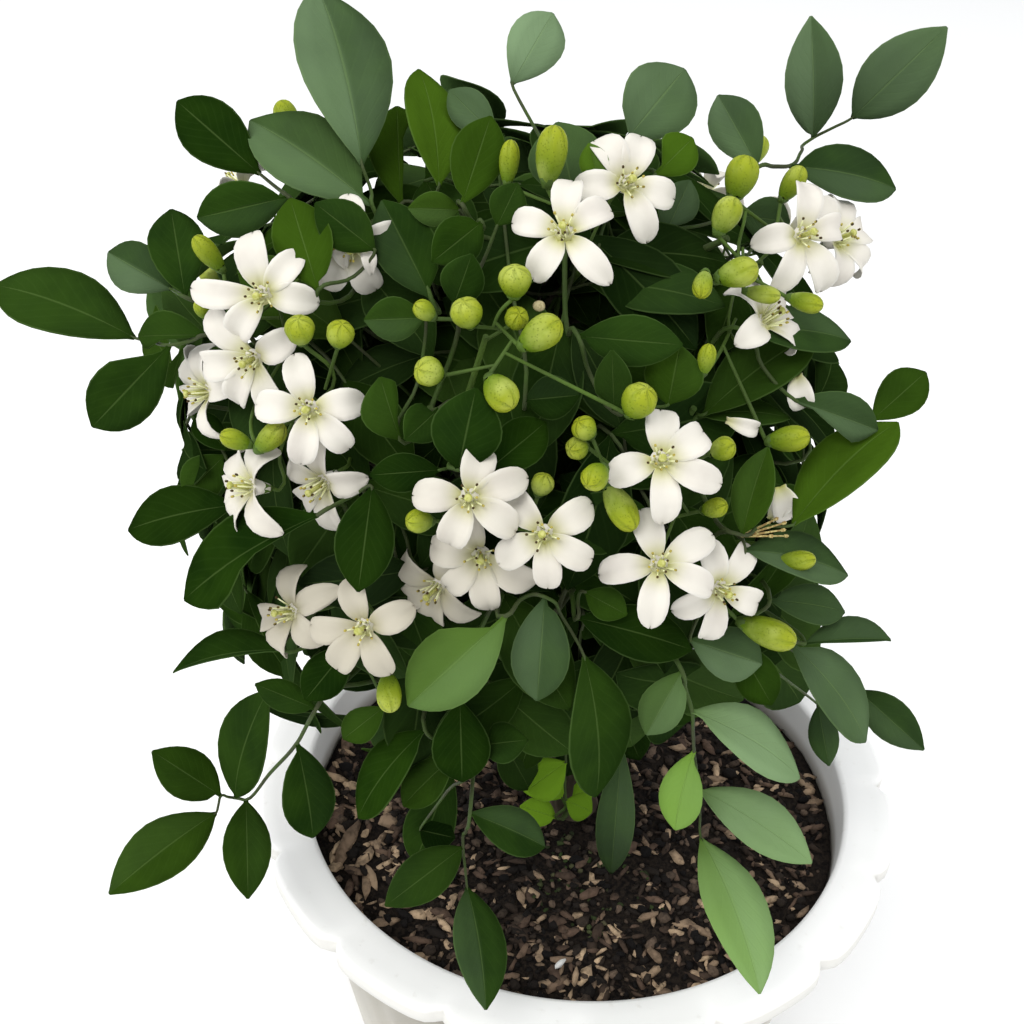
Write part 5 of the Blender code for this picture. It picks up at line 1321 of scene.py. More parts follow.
def find_filling_leaves():
    found = []
    draw = random.Random(FILL_SEED)
    for out in spiral(FILL_PLACES):
        run, facing = leaf_ways(out, draw.uniform(0, math.tau), *FILL_WAYS)
        size = FILL_LEAFLET * draw.uniform(0.9, 1.1)
        in_front = out.dot((VIEW_EYE - CROWN_CENTRE).normalized()) > FILL_FRONT
        for share in FILL_INNER if in_front else FILL_OUTER:
            spot = crown_point(out, share) - run * (FILL_RACHIS * 0.6)
            rows = list(filter(inside_outline, filling_rows(spot, run, facing, size)))
            if len(rows) >= FILL_FEWEST:
                leaf = find_leaf(near_shoots(spot)[:2], rows, filling_leaflet)
                if leaf:
                    leaf.shown = leaf.solid
                    found.append(leaf)
                break
    return found


filling_leaves = find_filling_leaves()
print("filling leaves:", len(filling_leaves), "leaflets:", sum(len(leaf.solid) for leaf in filling_leaves))

# %% [markdown]
# ## The young shoot
#
# A small bright shoot grows from the trunk's foot. Its leaflets are placed on an upright plane
# in front of the trunk.

# %% The young shoot
SOIL_TOP = 0.150
YOUNG_CROOK = (562, 826)
YOUNG_LEAFLETS = [(556, 818, 520, 806, 22), (566, 806, 592, 788, 22), (562, 798, 538, 768, 24)]
YOUNG_NEAR = 0.014
YOUNG_RISE = 0.006


def young_leaflet(row, deeper, push):
    """A leaflet of the young shoot, on an upright plane in front of the trunk."""
    u, v, tip_u, tip_v, width = row
    base = on_plane(u, v, YOUNG_NEAR)
    tip = on_plane(tip_u, tip_v, YOUNG_NEAR + push * MM)
    return base, tip, width * pixel_size(tip), UP * 0.6 - VIEW_AHEAD


def find_young_shoot():
    crook = on_plane(*YOUNG_CROOK, YOUNG_NEAR)
    crook.z = max(crook.z, SOIL_TOP + YOUNG_RISE)
    out = Vector((crook.x, crook.y, 0.0)).normalized()
    root = out * (TRUNK_RADIUS + FIT_GAP) + UP * (crook.z - YOUNG_RISE / 2)
    stems["young"] = [root, crook]
    return find_leaf(["young"], YOUNG_LEAFLETS, young_leaflet)


young_leaf = find_young_shoot()
print("young shoot's leaflets:", len(young_leaf.solid))

# %% [markdown]
# ## Tubes that follow a path
#
# Every stalk is a curve with a round bevel: its points carry the radius, so the stalk tapers
# along its way, and automatic handles round the bends. All the stalks of a shoot go in one
# curve, which becomes one mesh.

# %% Tubes that follow a path
def tube_mesh(tubes, bevel=2, steps=5):
    """One mesh of round tubes, each a path with a radius at every point."""
    curve = bpy.data.curves.new("tubes", "CURVE")
    curve.dimensions = "3D"
    curve.bevel_depth = MM
    curve.bevel_resolution = bevel
    curve.resolution_u = steps
    curve.use_fill_caps = True
    for path, radii in tubes:
        spline = curve.splines.new("BEZIER")
        spline.bezier_points.add(len(path) - 1)
        for point, spot, radius in zip(spline.bezier_points, path, radii):
            point.co = spot
            point.radius = radius / MM
            point.handle_left_type = "AUTO"
            point.handle_right_type = "AUTO"
    guide = put("tubes", curve)
    mesh = bpy.data.meshes.new_from_object(guide.evaluated_get(bpy.context.evaluated_depsgraph_get()))
    mesh.materials.clear()
    bpy.data.objects.remove(guide, do_unlink=True)
    return mesh


def tapered(count, first, last):
    return [first + (last - first) * index / (count - 1) for index in range(count)]


def add_piece(name, shape, finish, replaced=()):
    """Shows a mesh or a bmesh as a piece of the plant that rides on the root."""
    mesh = shape if isinstance(shape, bpy.types.Mesh) else mesh_from(shape, name)
    mesh.materials.append(finish)
    for face in mesh.polygons:
        face.use_smooth = True
    piece = put(name, mesh)
    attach(piece, "root")
    if replaced:
        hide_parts(*replaced)
    return piece


def new_bm(*values):
    """An empty bmesh with a UV map, and with these values at its vertices."""
    bm = bmesh.new()
    bm.loops.layers.uv.new("UVMap")
    for name in values:
        bm.verts.layers.float.new(name)
    return bm


def joined(parts, whole):
    """Adds small bmeshes to a whole, since an operator goes over all of the mesh that it adds to."""
    scrap = bpy.data.meshes.new("scrap")
    for part in parts:
        part.to_mesh(scrap)
        part.free()
        whole.from_mesh(scrap)
    bpy.data.meshes.remove(scrap)
    return whole


def thickened(bm, thickness):
    """Gives a grid its thickness, and returns the faces that this adds."""
    made = bmesh.ops.solidify(bm, geom=bm.faces[:], thickness=thickness)["geom"]
    return [item for item in made if isinstance(item, bmesh.types.BMFace)]


def standing(spot, axis):
    """The matrix that stands a shape made along Z on an axis at a spot."""
    return Matrix.Translation(spot) @ axis.to_track_quat("Z", "Y").to_matrix().to_4x4()


def stump(bm, foot, tip, thick, thin, sides, uvs=False):
    """A closed stump of a cone from a foot to a tip."""
    run = tip - foot
    return bmesh.ops.create_cone(bm, cap_ends=True, segments=sides, radius1=thick, radius2=thin,
                                 depth=run.length, matrix=standing(foot + run / 2, run.normalized()),
                                 calc_uvs=uvs)["verts"]


print("a tube's taper:", tapered(3, 2.0, 1.0))

# %% [markdown]
# ## Leaf paint
#
# A leaflet is glossy dark green with a pale midrib, fine side veins that slant to the tip and
# a thin pale edge. Each leaflet has its own tone: some carry a painted blue sheen, a painted
# reflection of the sky, the young ones are yellow-green, some that hang in the light are painted
# brighter, and the inner ones are painted nearly black as painted shade. The tone is kept as a
# colour on the leaflet, and the veins are drawn on its own UV map, across and along the blade.

# %% Leaf paint
# Of these colours, the sheen is a painted reflection of the sky, the shaded one is painted shade, and the
# young one is young yellow-green that also paints light on leaves that hang in it.
LEAF_DARK = (0.0068, 0.0205, 0.0022)
LEAF_LIGHT = (0.0150, 0.0385, 0.0034)
LEAF_YOUNG_AND_LIT = (0.150, 0.290, 0.018)
LEAF_SHADED = (0.0030, 0.0080, 0.0018)
LEAF_PAINTED_SHEEN = (0.235, 0.345, 0.190)
LEAF_UNDERSIDE = (0.060, 0.115, 0.035)
SIDE_VEINS = 13.0
VEIN_SLANT = 3.4


def leaf_paint():
    paint = Paint("leaf_green", 0.4, Specular_IOR_Level=0.0)
    across, along, level = paint.split(paint.coords("UV"))
    off = (across - 0.5).math("ABSOLUTE") * 2.0
    left, right, bright = paint.split(paint.attribute("tone", "Color"))
    shade = paint.attribute("shade")
    under = paint.attribute("under")
    blotch = paint.speckle(60.0).step(0.3, 0.7)
    drift = paint.speckle(24.0)
    grain = paint.speckle(420.0, 2.0)
    # The sheen is a painted reflection of the sky on either half; the shade value paints shade, and the
    # brightness is partly young yellow-green and partly painted light.
    half = across.step(0.43, 0.57) * 0.68 + 0.16
    sheen = (left * (1.0 - half) + right * half) * (0.30 + drift * 0.72) * along.step(-0.35, 0.45)
    midrib = (1.0 - off.step(0.012, 0.045)) * (1.0 - along.step(0.75, 1.0))
    slant = along * SIDE_VEINS - off * VEIN_SLANT + drift * 1.6
    wave = (slant.math("FRACT") - 0.5).math("ABSOLUTE")
    veins = (1.0 - wave.step(0.02, 0.16)) * (1.0 - off.step(0.7, 0.95)) * off.step(0.03, 0.12)
    edge = off.step(0.94, 0.99)
    green = paint.layers(LEAF_DARK, (blotch, LEAF_LIGHT), (bright, LEAF_YOUNG_AND_LIT), (shade, LEAF_SHADED),
                         (sheen.capped(), LEAF_PAINTED_SHEEN), (veins * 0.012, (0.16, 0.30, 0.07)),
                         (edge * 0.12, (0.20, 0.32, 0.10)), (midrib * 0.11, (0.22, 0.34, 0.10)),
                         (under * 0.45, LEAF_UNDERSIDE))
    rough = 0.34 + grain * 0.12 + blotch * 0.06 + under * 0.2
    relief = midrib * -0.3 + veins * -0.06 + grain * 0.3
    return paint.finish(green, rough, relief, 0.0004)


leaf_finish = leaf_paint()
print("nodes in the leaf paint:", len(leaf_finish.node_tree.nodes))

# %% [markdown]
# ## Leaflets
#
# A leaflet starts as a flat grid with its UV map. Each vertex is then moved to its place on the
# blade: out to the outline, up a little from the fold at the midrib, with a slow wave along the
# edge. The sheet is given its thickness at the end, and its lower side is marked.

# %% Leaflets
LEAF_ACROSS = 4
LEAF_ALONG = 14
LEAF_THICKNESS = 0.0003
LEAF_FOLD = 0.13
LEAF_WAVE = 0.05
LEAF_NECK = 0.0005
LEAF_TIP = 0.0003


def leaf_outline(t):
    """Half a leaflet's width as a share: wedge-shaped below, widest past the middle, then blunt."""
    return 3.78 * t * (1.0 - t) ** 0.92


def towards_ends(share):
    """Crowds evenly spaced rows towards both ends."""
    return share - 0.55 * math.sin(math.tau * share) / math.tau


def leaf_spot(blade, across, t, draw):
    """Where a point of the flat grid goes on the blade."""
    inner = min(max(t, 0.02), 0.98)
    left, right = blade.half_widths(inner)
    share = (left if across < 0 else right) / blade.half_width(inner)
    half = blade.width / 2 * leaf_outline(t) * share
    half = max(LEAF_TIP if t > 0.5 else LEAF_NECK, half)
    off = across * half
    lift = abs(off) * (LEAF_FOLD + LEAF_WAVE * math.sin(t * draw[0] + draw[1] + across))
    return blade.middle(t) + blade.side * off + blade.upright(t) * lift


def new_leaf_bm():
    """An empty mesh with the layers that a leaflet's paint reads."""
    bm = new_bm("shade")
    bm.verts.layers.float_color.new("tone")
    bm.faces.layers.float.new("under")
    return bm


def leaflet(blade, tone, draw):
    """One leaflet of a tone: painted sheen of its left and right half, brightness that is partly painted
    light, painted shade.
    """
    bm = new_leaf_bm()
    tones = bm.verts.layers.float_color["tone"]
    shades = bm.verts.layers.float["shade"]
    under = bm.faces.layers.float["under"]
    bmesh.ops.create_grid(bm, x_segments=LEAF_ACROSS, y_segments=LEAF_ALONG, size=0.5, calc_uvs=True)
    waves = (draw.uniform(5, 9), draw.uniform(0, math.tau))
    for vert in bm.verts:
        vert.co = leaf_spot(blade, vert.co.x * 2, towards_ends(vert.co.y + 0.5), waves)
        vert[tones] = (*tone[:3], 1.0)
        vert[shades] = tone[3]
    bm.normal_update()
    if sum((face.normal for face in bm.faces), Vector()).dot(blade.normal) < 0:
        bmesh.ops.reverse_faces(bm, faces=bm.faces[:])
        bm.normal_update()
    for face in thickened(bm, LEAF_THICKNESS):
        face.normal_update()
        face[under] = 1.0 if face.normal.dot(blade.normal) < -0.2 else 0.0
    bmesh.ops.recalc_face_normals(bm, faces=bm.faces[:])
    return bm


print("vertices in a leaflet's grid:", (LEAF_ACROSS + 1) * (LEAF_ALONG + 1))

# %% [markdown]
# ## Leaves on their shoots
#
# All the leaflets of a shoot become one piece. A leaflet that points at the eye or away from
# it would show as a horn, so its tip is drawn nearer along the line of sight, which leaves its
# place in the picture as it is.

# %% Leaves on their shoots
YOUNG_WIDER = 1.35
YOUNG_TONE = (0.0, 0.0, 1.0, 0.0)
LEAF_STRETCH = 1.3
LEAF_SLIM = 0.9


def add_leaves(name, some_leaves, replaced=()):
    """The leaflets of several leaves as one piece, each with its own tone or a drawn one."""
    draw = random.Random(name)
    parts = [leaflet(blade, blade.tone or [draw.uniform(*reach) for reach in leaf.tones], draw)
             for leaf in some_leaves for blade in leaf.shown]
    add_piece(name, joined(parts, new_leaf_bm()), leaf_finish, replaced)


def turned_to_sight(blade):
    """A leaflet that shows, with its tip drawn nearer along the sight line where it runs off too far."""
    sight = (blade.tip - VIEW_EYE).normalized()
    run = blade.tip - blade.base
    deep = run.dot(sight)
    reach = square_to(sight, run).length * math.sqrt(LEAF_STRETCH ** 2 - 1)
    eye = (VIEW_EYE - blade.base).normalized()
    toward = square_to(blade.along, eye).normalized()
    seen = blade.width * max(0.1, blade.normal.dot(toward))
    tip = blade.tip + sight * (max(-reach, min(reach, deep)) - deep)
    length = (tip - blade.base).length
    true = max(seen, LEAFLET_RATIO * LEAF_SLIM * length)
    facing = rolled((tip - blade.base).normalized(), eye, seen, true)
    shown = leaf_blade(blade.base, tip, true, facing)
    shown.away = blade.away
    shown.tone = blade.tone
    return shown


for leaf in seen_leaves:
    leaf.shown = [turned_to_sight(blade) for blade in leaf.shown]
for blade in young_leaf.shown:
    blade.width *= YOUNG_WIDER
    blade.tone = YOUNG_TONE
leaves = {name: [] for name in stems}
for leaf in seen_leaves + filling_leaves + [young_leaf]:
    leaves[leaf.shoot].append(leaf)
for name, own in leaves.items():
    if own:
        add_leaves("leaves_" + name, own, ["shoot_" + name])

# %% [markdown]
# ## Leaves inside the bush
#
# Between the outer leaves one looks into more leaves, dark because little light gets there; that
# darkness is painted shade in their tones. They stand on the twigs inside, on three smaller
# crowns, each leaf with a pair of leaflets and one at the end. The solids leave them out, since
# they add nothing to the outline.

# %% Leaves inside the bush
INNER_PLACES = 190
INNER_SHARES = (0.45, 0.58, 0.70)
INNER_SEED = 23
# The last range is painted shade, which makes the inner leaves and those hanging in the shade nearly black.
INNER_TONES = ((0, 0.04), (0, 0.04), (0, 0.05), (0.15, 0.8))


def inner_leaf(index, out, draw):
    """One leaf inside the bush, or None where it would leave the outline."""
    run, facing = leaf_ways(out, draw.uniform(0, math.tau), 1.0, 0.15, draw.uniform(0.1, 0.9))
    size = FILL_LEAFLET * draw.uniform(0.75, 1.0)
    foot = crown_point(out, INNER_SHARES[index % len(INNER_SHARES)]) - run * FILL_RACHIS
    rows = list(filter(inside_outline, filling_rows(foot, run, facing, size)[-3:]))
    if len(rows) < 2:
        return None
    spots = [filling_leaflet(row, 0, 0)[0] for row in rows]
    blades = [make_blade(rows, spots, row, filling_leaflet, 0, 0) for row in range(len(rows))]
    wood = [path[0].lerp(path[1], place) for path in twigs.values() for place in (0.0, 0.5, 1.0)]
    root = min(wood, key=lambda spot: (spot - spots[0]).length)
    bow = (root + spots[0]) / 2 + UP * (spots[0] - root).length * 0.12
    return Leaf("inner", blades, blades, [root, bow], INNER_TONES)


# Leaves that hang in the shade behind those of the table: base and tip pixels, width in pixels, and
# how far in front of the pot's middle they hang, in mm. The first three have tones of their own.
SHADED = [
    (622, 745, 611, 874, 40, 44, (0.25, 0.15, 0.0, 0.1)), (566, 762, 524, 792, 46, 30, (0.0, 0.0, 1.0, 0.0)),
    (566, 800, 592, 812, 30, 28, (0.0, 0.0, 0.75, 0.0)),
    (452, 770, 415, 862, 52, 62), (500, 735, 530, 790, 40, 30), (545, 700, 520, 770, 40, 30),
    (610, 690, 640, 760, 44, 20), (590, 700, 566, 776, 40, 24),
]


def shaded_leaf(u, v, tip_u, tip_v, width, near, tone=None):
    base = on_plane(u, v, near * MM)
    tip = on_plane(tip_u, tip_v, near * MM)
    facing = (VIEW_EYE - base).normalized()
    blade = leaf_blade(base, tip, width * pixel_size(base), facing)
    blade.tone = tone
    wood = [path[1] for path in twigs.values()] + [limb[1] for limb in limbs]
    root = min(wood, key=lambda spot: (spot - base).length)
    return Leaf("inner", [blade], [blade], [root, (root + base) / 2 + UP * 0.004], INNER_TONES)


inner_draw = random.Random(INNER_SEED)
inner_leaves = [inner_leaf(index, out, inner_draw) for index, out in enumerate(spiral(INNER_PLACES))]
shaded_leaves = [shaded_leaf(*row) for row in SHADED]
inner_leaves = [leaf for leaf in inner_leaves if leaf] + shaded_leaves
add_leaves("leaves_inner", inner_leaves)
print("leaves inside:", len(inner_leaves))

# %% [markdown]
# ## Stalks
#
# The stems and leaf stalks are dull green, browner where they are older. A leaf's stalk starts
# inside the stem, runs through the bases of the leaflets and ends under the last one.

# %% Stalks
STEM_RADIUS = 0.0012
STALK_SUNK = 0.012


def stalk_paint(name, young, old):
    paint = Paint(name, 0.5, Specular_IOR_Level=0.1)
    patch = paint.speckle(90.0, 4.0).step(0.35, 0.65)
    dots = paint.speckle(900.0, 2.0)
    return paint.finish(paint.blend(patch * 0.8 + dots * 0.2, young, old), 0.42 + dots * 0.2, dots, 0.0002)


def behind(spot):
    """A place a little deeper in the bush, where the bush faces the camera."""
    facing = crown_normal(spot).dot((VIEW_EYE - spot).normalized())
    return spot - crown_normal(spot) * STALK_SUNK * max(0.0, facing - 0.5)


def leaf_stalk(leaf):
    """The tube of one leaf's stalk, through the bases of its leaflets."""
    foot = leaf.shown[0].base
    path = [leaf.path[0], foot.lerp(leaf.path[0], 0.12) - crown_normal(foot) * STALK_SUNK]
    if leaf is young_leaf:
        path = list(leaf.path)
    for blade in leaf.shown:
        gap = (blade.base - path[-1]).length
        if gap > TOUCHING and len(path) > 2:
            path.append(behind(path[-1].lerp(blade.base, 0.5)))
        if gap > TOUCHING:
            path.append(blade.base)
    path.append(leaf.shown[-1].middle(0.03) - leaf.shown[-1].upright(0.03) * LEAF_THICKNESS)
    return path, tapered(len(path), PETIOLE_RADIUS * 0.9, PETIOLE_RADIUS * 0.45)


stalk_finish = stalk_paint("stalk_green", (0.045, 0.085, 0.016), (0.045, 0.050, 0.026))
for name, path in stems.items():
    tubes = [(path, tapered(2, STEM_RADIUS, STEM_RADIUS * 0.7))]
    tubes += [leaf_stalk(leaf) for leaf in leaves[name]]
    add_piece("stalks_" + name, tube_mesh(tubes), stalk_finish)
inner_tubes = [leaf_stalk(leaf) for leaf in inner_leaves]
add_piece("stalks_inner", tube_mesh(inner_tubes, bevel=1, steps=3), stalk_finish)
print("stalk pieces:", len(stems) + 1)

# %% [markdown]
# ## Trunk and twigs
#
# The trunk is as thick as a finger and forks early. Its bark is grey-brown with fine vertical
# cracks. The mesh is a tube whose skin is pushed in and out by noise, so it isn't quite round.

# %% Trunk and twigs
BARK_DARK = (0.030, 0.022, 0.015)
BARK_GREY = (0.105, 0.082, 0.058)
BARK_MOSSY = (0.050, 0.055, 0.028)
BARK_DEPTH = 0.0009


def bark_paint():
    paint = Paint("bark", 0.85, Specular_IOR_Level=0.2)
    streak = paint.speckle(160.0, 5.0, stretch=(1.0, 1.0, 0.18))
    patch = paint.speckle(45.0, 3.0).step(0.35, 0.65)
    colour = paint.layers(BARK_DARK, (streak.step(0.35, 0.65), BARK_GREY), (patch * 0.4, BARK_MOSSY))
    return paint.finish(colour, 0.75 + streak * 0.2, streak + patch * 0.3, 0.0012)


def gnarl(mesh, depth, scale):
    """Pushes a mesh's vertices in and out by noise."""
    outwards = [vert.normal.copy() for vert in mesh.vertices]
    for vert, outward in zip(mesh.vertices, outwards):
        vert.co += outward * (depth * noise.noise(vert.co * scale))


bark_finish = bark_paint()
trunk_tubes = [([Vector(spot) for spot in TRUNK_PATH], [TRUNK_RADIUS * share for share in TRUNK_TAPER])]
trunk_tubes += [(path, [LIMB_RADIUS * share for share in LIMB_TAPER]) for path in limbs]
trunk_tubes += [(path, tapered(2, TWIG_RADIUS, TWIG_RADIUS * TWIG_TAPER)) for path in twigs.values()]
trunk_mesh = tube_mesh(trunk_tubes, bevel=5, steps=12)
gnarl(trunk_mesh, BARK_DEPTH, 170.0)
add_piece("trunk_bark", trunk_mesh, bark_finish, ["trunk"])
print("trunk vertices:", len(trunk_mesh.vertices))

# %% [markdown]
# ## Buds and flower stalks
#
# A bud is an egg with five faint ribs where the folded petals meet, lime green with darker oil
# dots and yellower towards its tip. It sits in a small green calyx. A sphere with its UV map
# is shaped by the share of its height.

# %% Buds and flower stalks
BUD_FOOT_GREEN = (0.075, 0.145, 0.007)
BUD_TIP_GREEN = (0.275, 0.315, 0.015)
BUD_PALE = (0.44, 0.50, 0.13)
BUD_DARK = (0.13, 0.20, 0.010)
BUD_RIBS = 5


def bud_paint():
    paint = Paint("bud_green", 0.45, Specular_IOR_Level=0.12)
    around, along, level = paint.split(paint.coords("UV"))
    patch = paint.speckle(120.0)
    dots = 1.0 - paint.cells(1700.0).step(0.12, 0.3)
    swirl = around * BUD_RIBS + along * 0.8 + patch * 0.5
    seam = (1.0 - (swirl.math("FRACT") - 0.5).math("ABSOLUTE").step(0.0, 0.22)) * along.step(0.3, 0.9)
    colour = paint.layers(BUD_FOOT_GREEN, (along.step(0.1, 0.95), BUD_TIP_GREEN),
                          (patch.step(0.45, 0.8) * 0.6, BUD_PALE), (dots * 0.35, BUD_DARK),
                          (seam * 0.30, BUD_DARK))
    return paint.finish(colour, 0.38 + patch * 0.15, dots * -0.4 + patch * 0.4 - seam, 0.0003)


def egg(bud):
    """A bud's closed petals."""
    bm = new_bm()
    bmesh.ops.create_uvsphere(bm, u_segments=20, v_segments=12, radius=1.0, calc_uvs=True)
    turn = bud.axis.to_track_quat("Z", "Y")
    for vert in bm.verts:
        share = (vert.co.z + 1) / 2
        rib = 1.0 - 0.05 * max(0.0, math.cos(BUD_RIBS * math.atan2(vert.co.y, vert.co.x))) ** 3
        girth = bud.width / 2 * (0.80 + 0.42 * share) * rib
        spot = Vector((vert.co.x * girth, vert.co.y * girth, vert.co.z * bud.length / 2))
        vert.co = bud.centre + turn @ spot
    return bm


def calyx(bm, foot, axis, radius, length):
    """A small green cup with five pointed lobes."""
    cup = stump(bm, foot, foot + axis * length, radius * 0.5, radius, 10)
    top = sorted(cup, key=lambda vert: (vert.co - foot).dot(axis))[10:]
    side = axis.orthogonal()
    top.sort(key=lambda vert: math.atan2((vert.co - foot).dot(axis.cross(side)), (vert.co - foot).dot(side)))
    for vert in top[::2]:
        vert.co += axis * length * 0.5


bud_finish = bud_paint()
flowering = {name: [bloom for bloom in blooms if bloom.head == name] for name in heads}
pedicel_finish = stalk_paint("flower_stalk_green", (0.070, 0.125, 0.020), (0.045, 0.075, 0.018))
for name, (twig, paths) in heads.items():
    tubes = [(paths[0], tapered(len(paths[0]), HEAD_STALK_RADIUS * 0.9, HEAD_STALK_RADIUS * 0.65))]
    tubes += [(path, tapered(len(path), PEDICEL_RADIUS * 0.55, PEDICEL_RADIUS * 0.7)) for path in paths[1:]]
    head_buds = [bud for bud in buds if bud.head == name]
    replaced = ["head_" + name]
    if head_buds:
        add_piece("buds_" + name, joined(map(egg, head_buds), new_bm()), bud_finish, replaced)
        replaced = []
    stalks = bmesh.new()
    stalks.from_mesh(tube_mesh(tubes))
    for bud in head_buds:
        calyx(stalks, bud.path[0] - bud.axis * 0.0004, bud.axis, bud.width * 0.30, bud.length * 0.14)
    for bloom in flowering.get(name, []):
        calyx(stalks, bloom.foot, bloom.axis, THROAT_RADIUS * 0.75, THROAT_LENGTH * 0.35)
    add_piece("flower_stalks_" + name, stalks, pedicel_finish, replaced)
print("buds made:", len(buds))

# %% [markdown]
# ## Petals
#
# A petal is like a spoon: narrow at the throat, widest past its middle, blunt at the tip, with
# its edges a little raised and its end rolled back. It is warm white with faint lines along it
# and a touch of green in the throat, with soft grey patches of painted shade, and the flowers low
# on the left are painted darker as painted shade.

# %% Petals
PETAL_GRID = (6, 10)
PETAL_SHEET = 0.00025
PETAL_NARROW = 0.80
PETAL_CUP = (0.05, 0.28)
PETAL_CURL = (0.0002, 0.0020)
PETAL_TWIST = 0.22
PETAL_BEND = 0.0007
PETAL_LEAST = 0.0004
PETAL_ROOT = (0.46, 0.46, 0.14)
PETAL_CREAM = (0.65, 0.62, 0.555)
# Painted shade, laid in soft patches over the petals
PETAL_SHADE_PATCH = (0.53, 0.49, 0.445)
PETAL_LINE = (0.56, 0.53, 0.46)
PETAL_EDGE = (0.74, 0.73, 0.68)
PETAL_SHADED = (0.38, 0.345, 0.26)


def petal_paint():
    paint = Paint("petal_white", 0.55, Specular_IOR_Level=0.2)
    painted_shade = paint.attribute("shade")
    across, along, level = paint.split(paint.coords("UV"))
    off = (across - 0.5).math("ABSOLUTE") * 2.0
    lines = ((across * 15.0).math("FRACT") - 0.5).math("ABSOLUTE").step(0.05, 0.45)
    cloud = paint.speckle(90.0)
    # The grey cloud patches are painted shade, and the shade value paints shade over whole flowers.
    colour = paint.layers(PETAL_ROOT, (along.step(0.0, 0.44), PETAL_CREAM),
                          (cloud.step(0.4, 0.75) * 0.6, PETAL_SHADE_PATCH), ((1.0 - lines) * 0.03, PETAL_LINE),
                          (off.step(0.8, 1.0) * 0.4, PETAL_EDGE), (painted_shade * 0.75, PETAL_SHADED))
    return paint.finish(colour, 0.48 + cloud * 0.15, cloud * 0.5, 0.0003)


def petal_outline(t):
    """Half a petal's width as a share of its greatest."""
    return max(0.42 * (1.0 - t), 2.26 * max(0.0, t + 0.02) ** 0.62 * max(0.0, 1.0 - t) ** 0.56)


def painted_shade_of(bloom):
    """How much painted shade a flower gets: the shade lies low on the left."""
    u, v = seen_pixel(bloom.throat)
    return min(1.0, max(0.0, (v - 450) / 150)) * min(1.0, max(0.0, (600 - u) / 130))


def petal(blade, draw, painted_shade=0.0):
    bm = new_bm("shade")
    shades = bm.verts.layers.float["shade"]
    bmesh.ops.create_grid(bm, x_segments=PETAL_GRID[0], y_segments=PETAL_GRID[1], size=0.5, calc_uvs=True)
    cup = draw.uniform(*PETAL_CUP)
    curl = draw.uniform(*PETAL_CURL)
    twist = draw.uniform(-PETAL_TWIST, PETAL_TWIST)
    half = blade.width / 2 * PETAL_NARROW * draw.uniform(0.92, 1.08)
    bend = draw.uniform(-PETAL_BEND, PETAL_BEND)
    for vert in bm.verts:
        vert[shades] = painted_shade
        across = vert.co.x * 2
        t = towards_ends(vert.co.y + 0.5)
        off = across * max(PETAL_LEAST, half * petal_outline(t)) + bend * math.sin(math.pi * t)
        up = blade.upright(t)
        lift = cup * off * off / half - curl * max(0.0, t - 0.55) ** 2 * 5
        lift += twist * off * t - 0.0004 * math.exp(-(across * 4) ** 2)
        vert.co = blade.middle(t) + blade.side * off + up * lift
    bm.normal_update()
    thickened(bm, PETAL_SHEET)
    bmesh.ops.recalc_face_normals(bm, faces=bm.faces[:])
    return bm


def throat(bloom):
    """The tube below the petals."""
    bm = new_bm("shade")
    tip = bloom.throat + bloom.axis * PETAL_LEAST
    foot = tip - bloom.axis * (THROAT_LENGTH * 0.95)
    stump(bm, foot, tip, THROAT_RADIUS * 0.5, THROAT_RADIUS * 1.1, 15, True)
    return bm


petal_finish = petal_paint()
for name, own in flowering.items():
    if own:
        draw = random.Random(name)
        parts = [throat(bloom) for bloom in own]
        parts += [petal(bloom.blade(index), draw, painted_shade_of(bloom))
                  for bloom in own for index in range(PETALS)]
        add_piece("petals_" + name, joined(parts, new_bm("shade")), petal_finish,
                  ["bloom_" + bloom.name for bloom in own])
print("petals made:", PETALS * len(blooms))

# %% [markdown]
# ## Stamens and pistils
#
# Ten thin stamens stand round a thicker style, five long and five short. Their anthers are tiny
# brown specks that show well against the white, and the style ends in a yellow-green knob.

# %% Stamens and pistils
STAMENS = 10
STYLE_LENGTH = 0.0060

# How far a stamen's tip stands out from the axis and up along it
INNER_STAMEN = (0.0018, 0.0056)
OUTER_STAMEN = (0.0031, 0.0042)

# Radius at the foot and the tip and the number of sides, then radius and length of what they bear
FILAMENT = (0.00028, 0.00014, 5)
ANTHER = (0.00034, 0.00055)
STYLE = (0.0006, 0.0005, 8)
STIGMA = (0.00095, 0.0007, 2)


def stamen_paint(name, colour, dark, roughness, size=1500.0):
    paint = Paint(name, roughness, Specular_IOR_Level=0.2)
    grain = paint.speckle(size, 1.0)
    return paint.finish(paint.blend(grain.step(0.42, 0.58), colour, dark), roughness + grain * 0.1)


def knob(bm, spot, axis, radius, length, level=1):
    size = Matrix.Diagonal((radius, radius, length, 1.0))
    bmesh.ops.create_icosphere(bm, subdivisions=level, radius=1.0, matrix=standing(spot, axis) @ size)


def flower_middle(bloom, filaments, anthers, style, draw):
    """The stamens and the pistil of one flower."""
    for index in range(STAMENS):
        out = bloom.outward(math.tau * index / STAMENS + draw.uniform(-0.2, 0.2))
        reach, rise = OUTER_STAMEN if index % 2 else INNER_STAMEN
        foot = bloom.throat + out * THROAT_RADIUS * 0.55
        tip = bloom.throat + out * (reach + draw.uniform(-0.0007, 0.0007))
        tip += bloom.axis * (rise + draw.uniform(-0.0006, 0.0006))
        stump(filaments, foot, tip, *FILAMENT)
        knob(anthers, tip, (tip - foot).normalized(), *ANTHER)
    end = bloom.throat + bloom.axis * (STYLE_LENGTH * 0.95)
    stump(style, bloom.throat - bloom.axis * MM, end, *STYLE)
    knob(style, end, bloom.axis, *STIGMA)


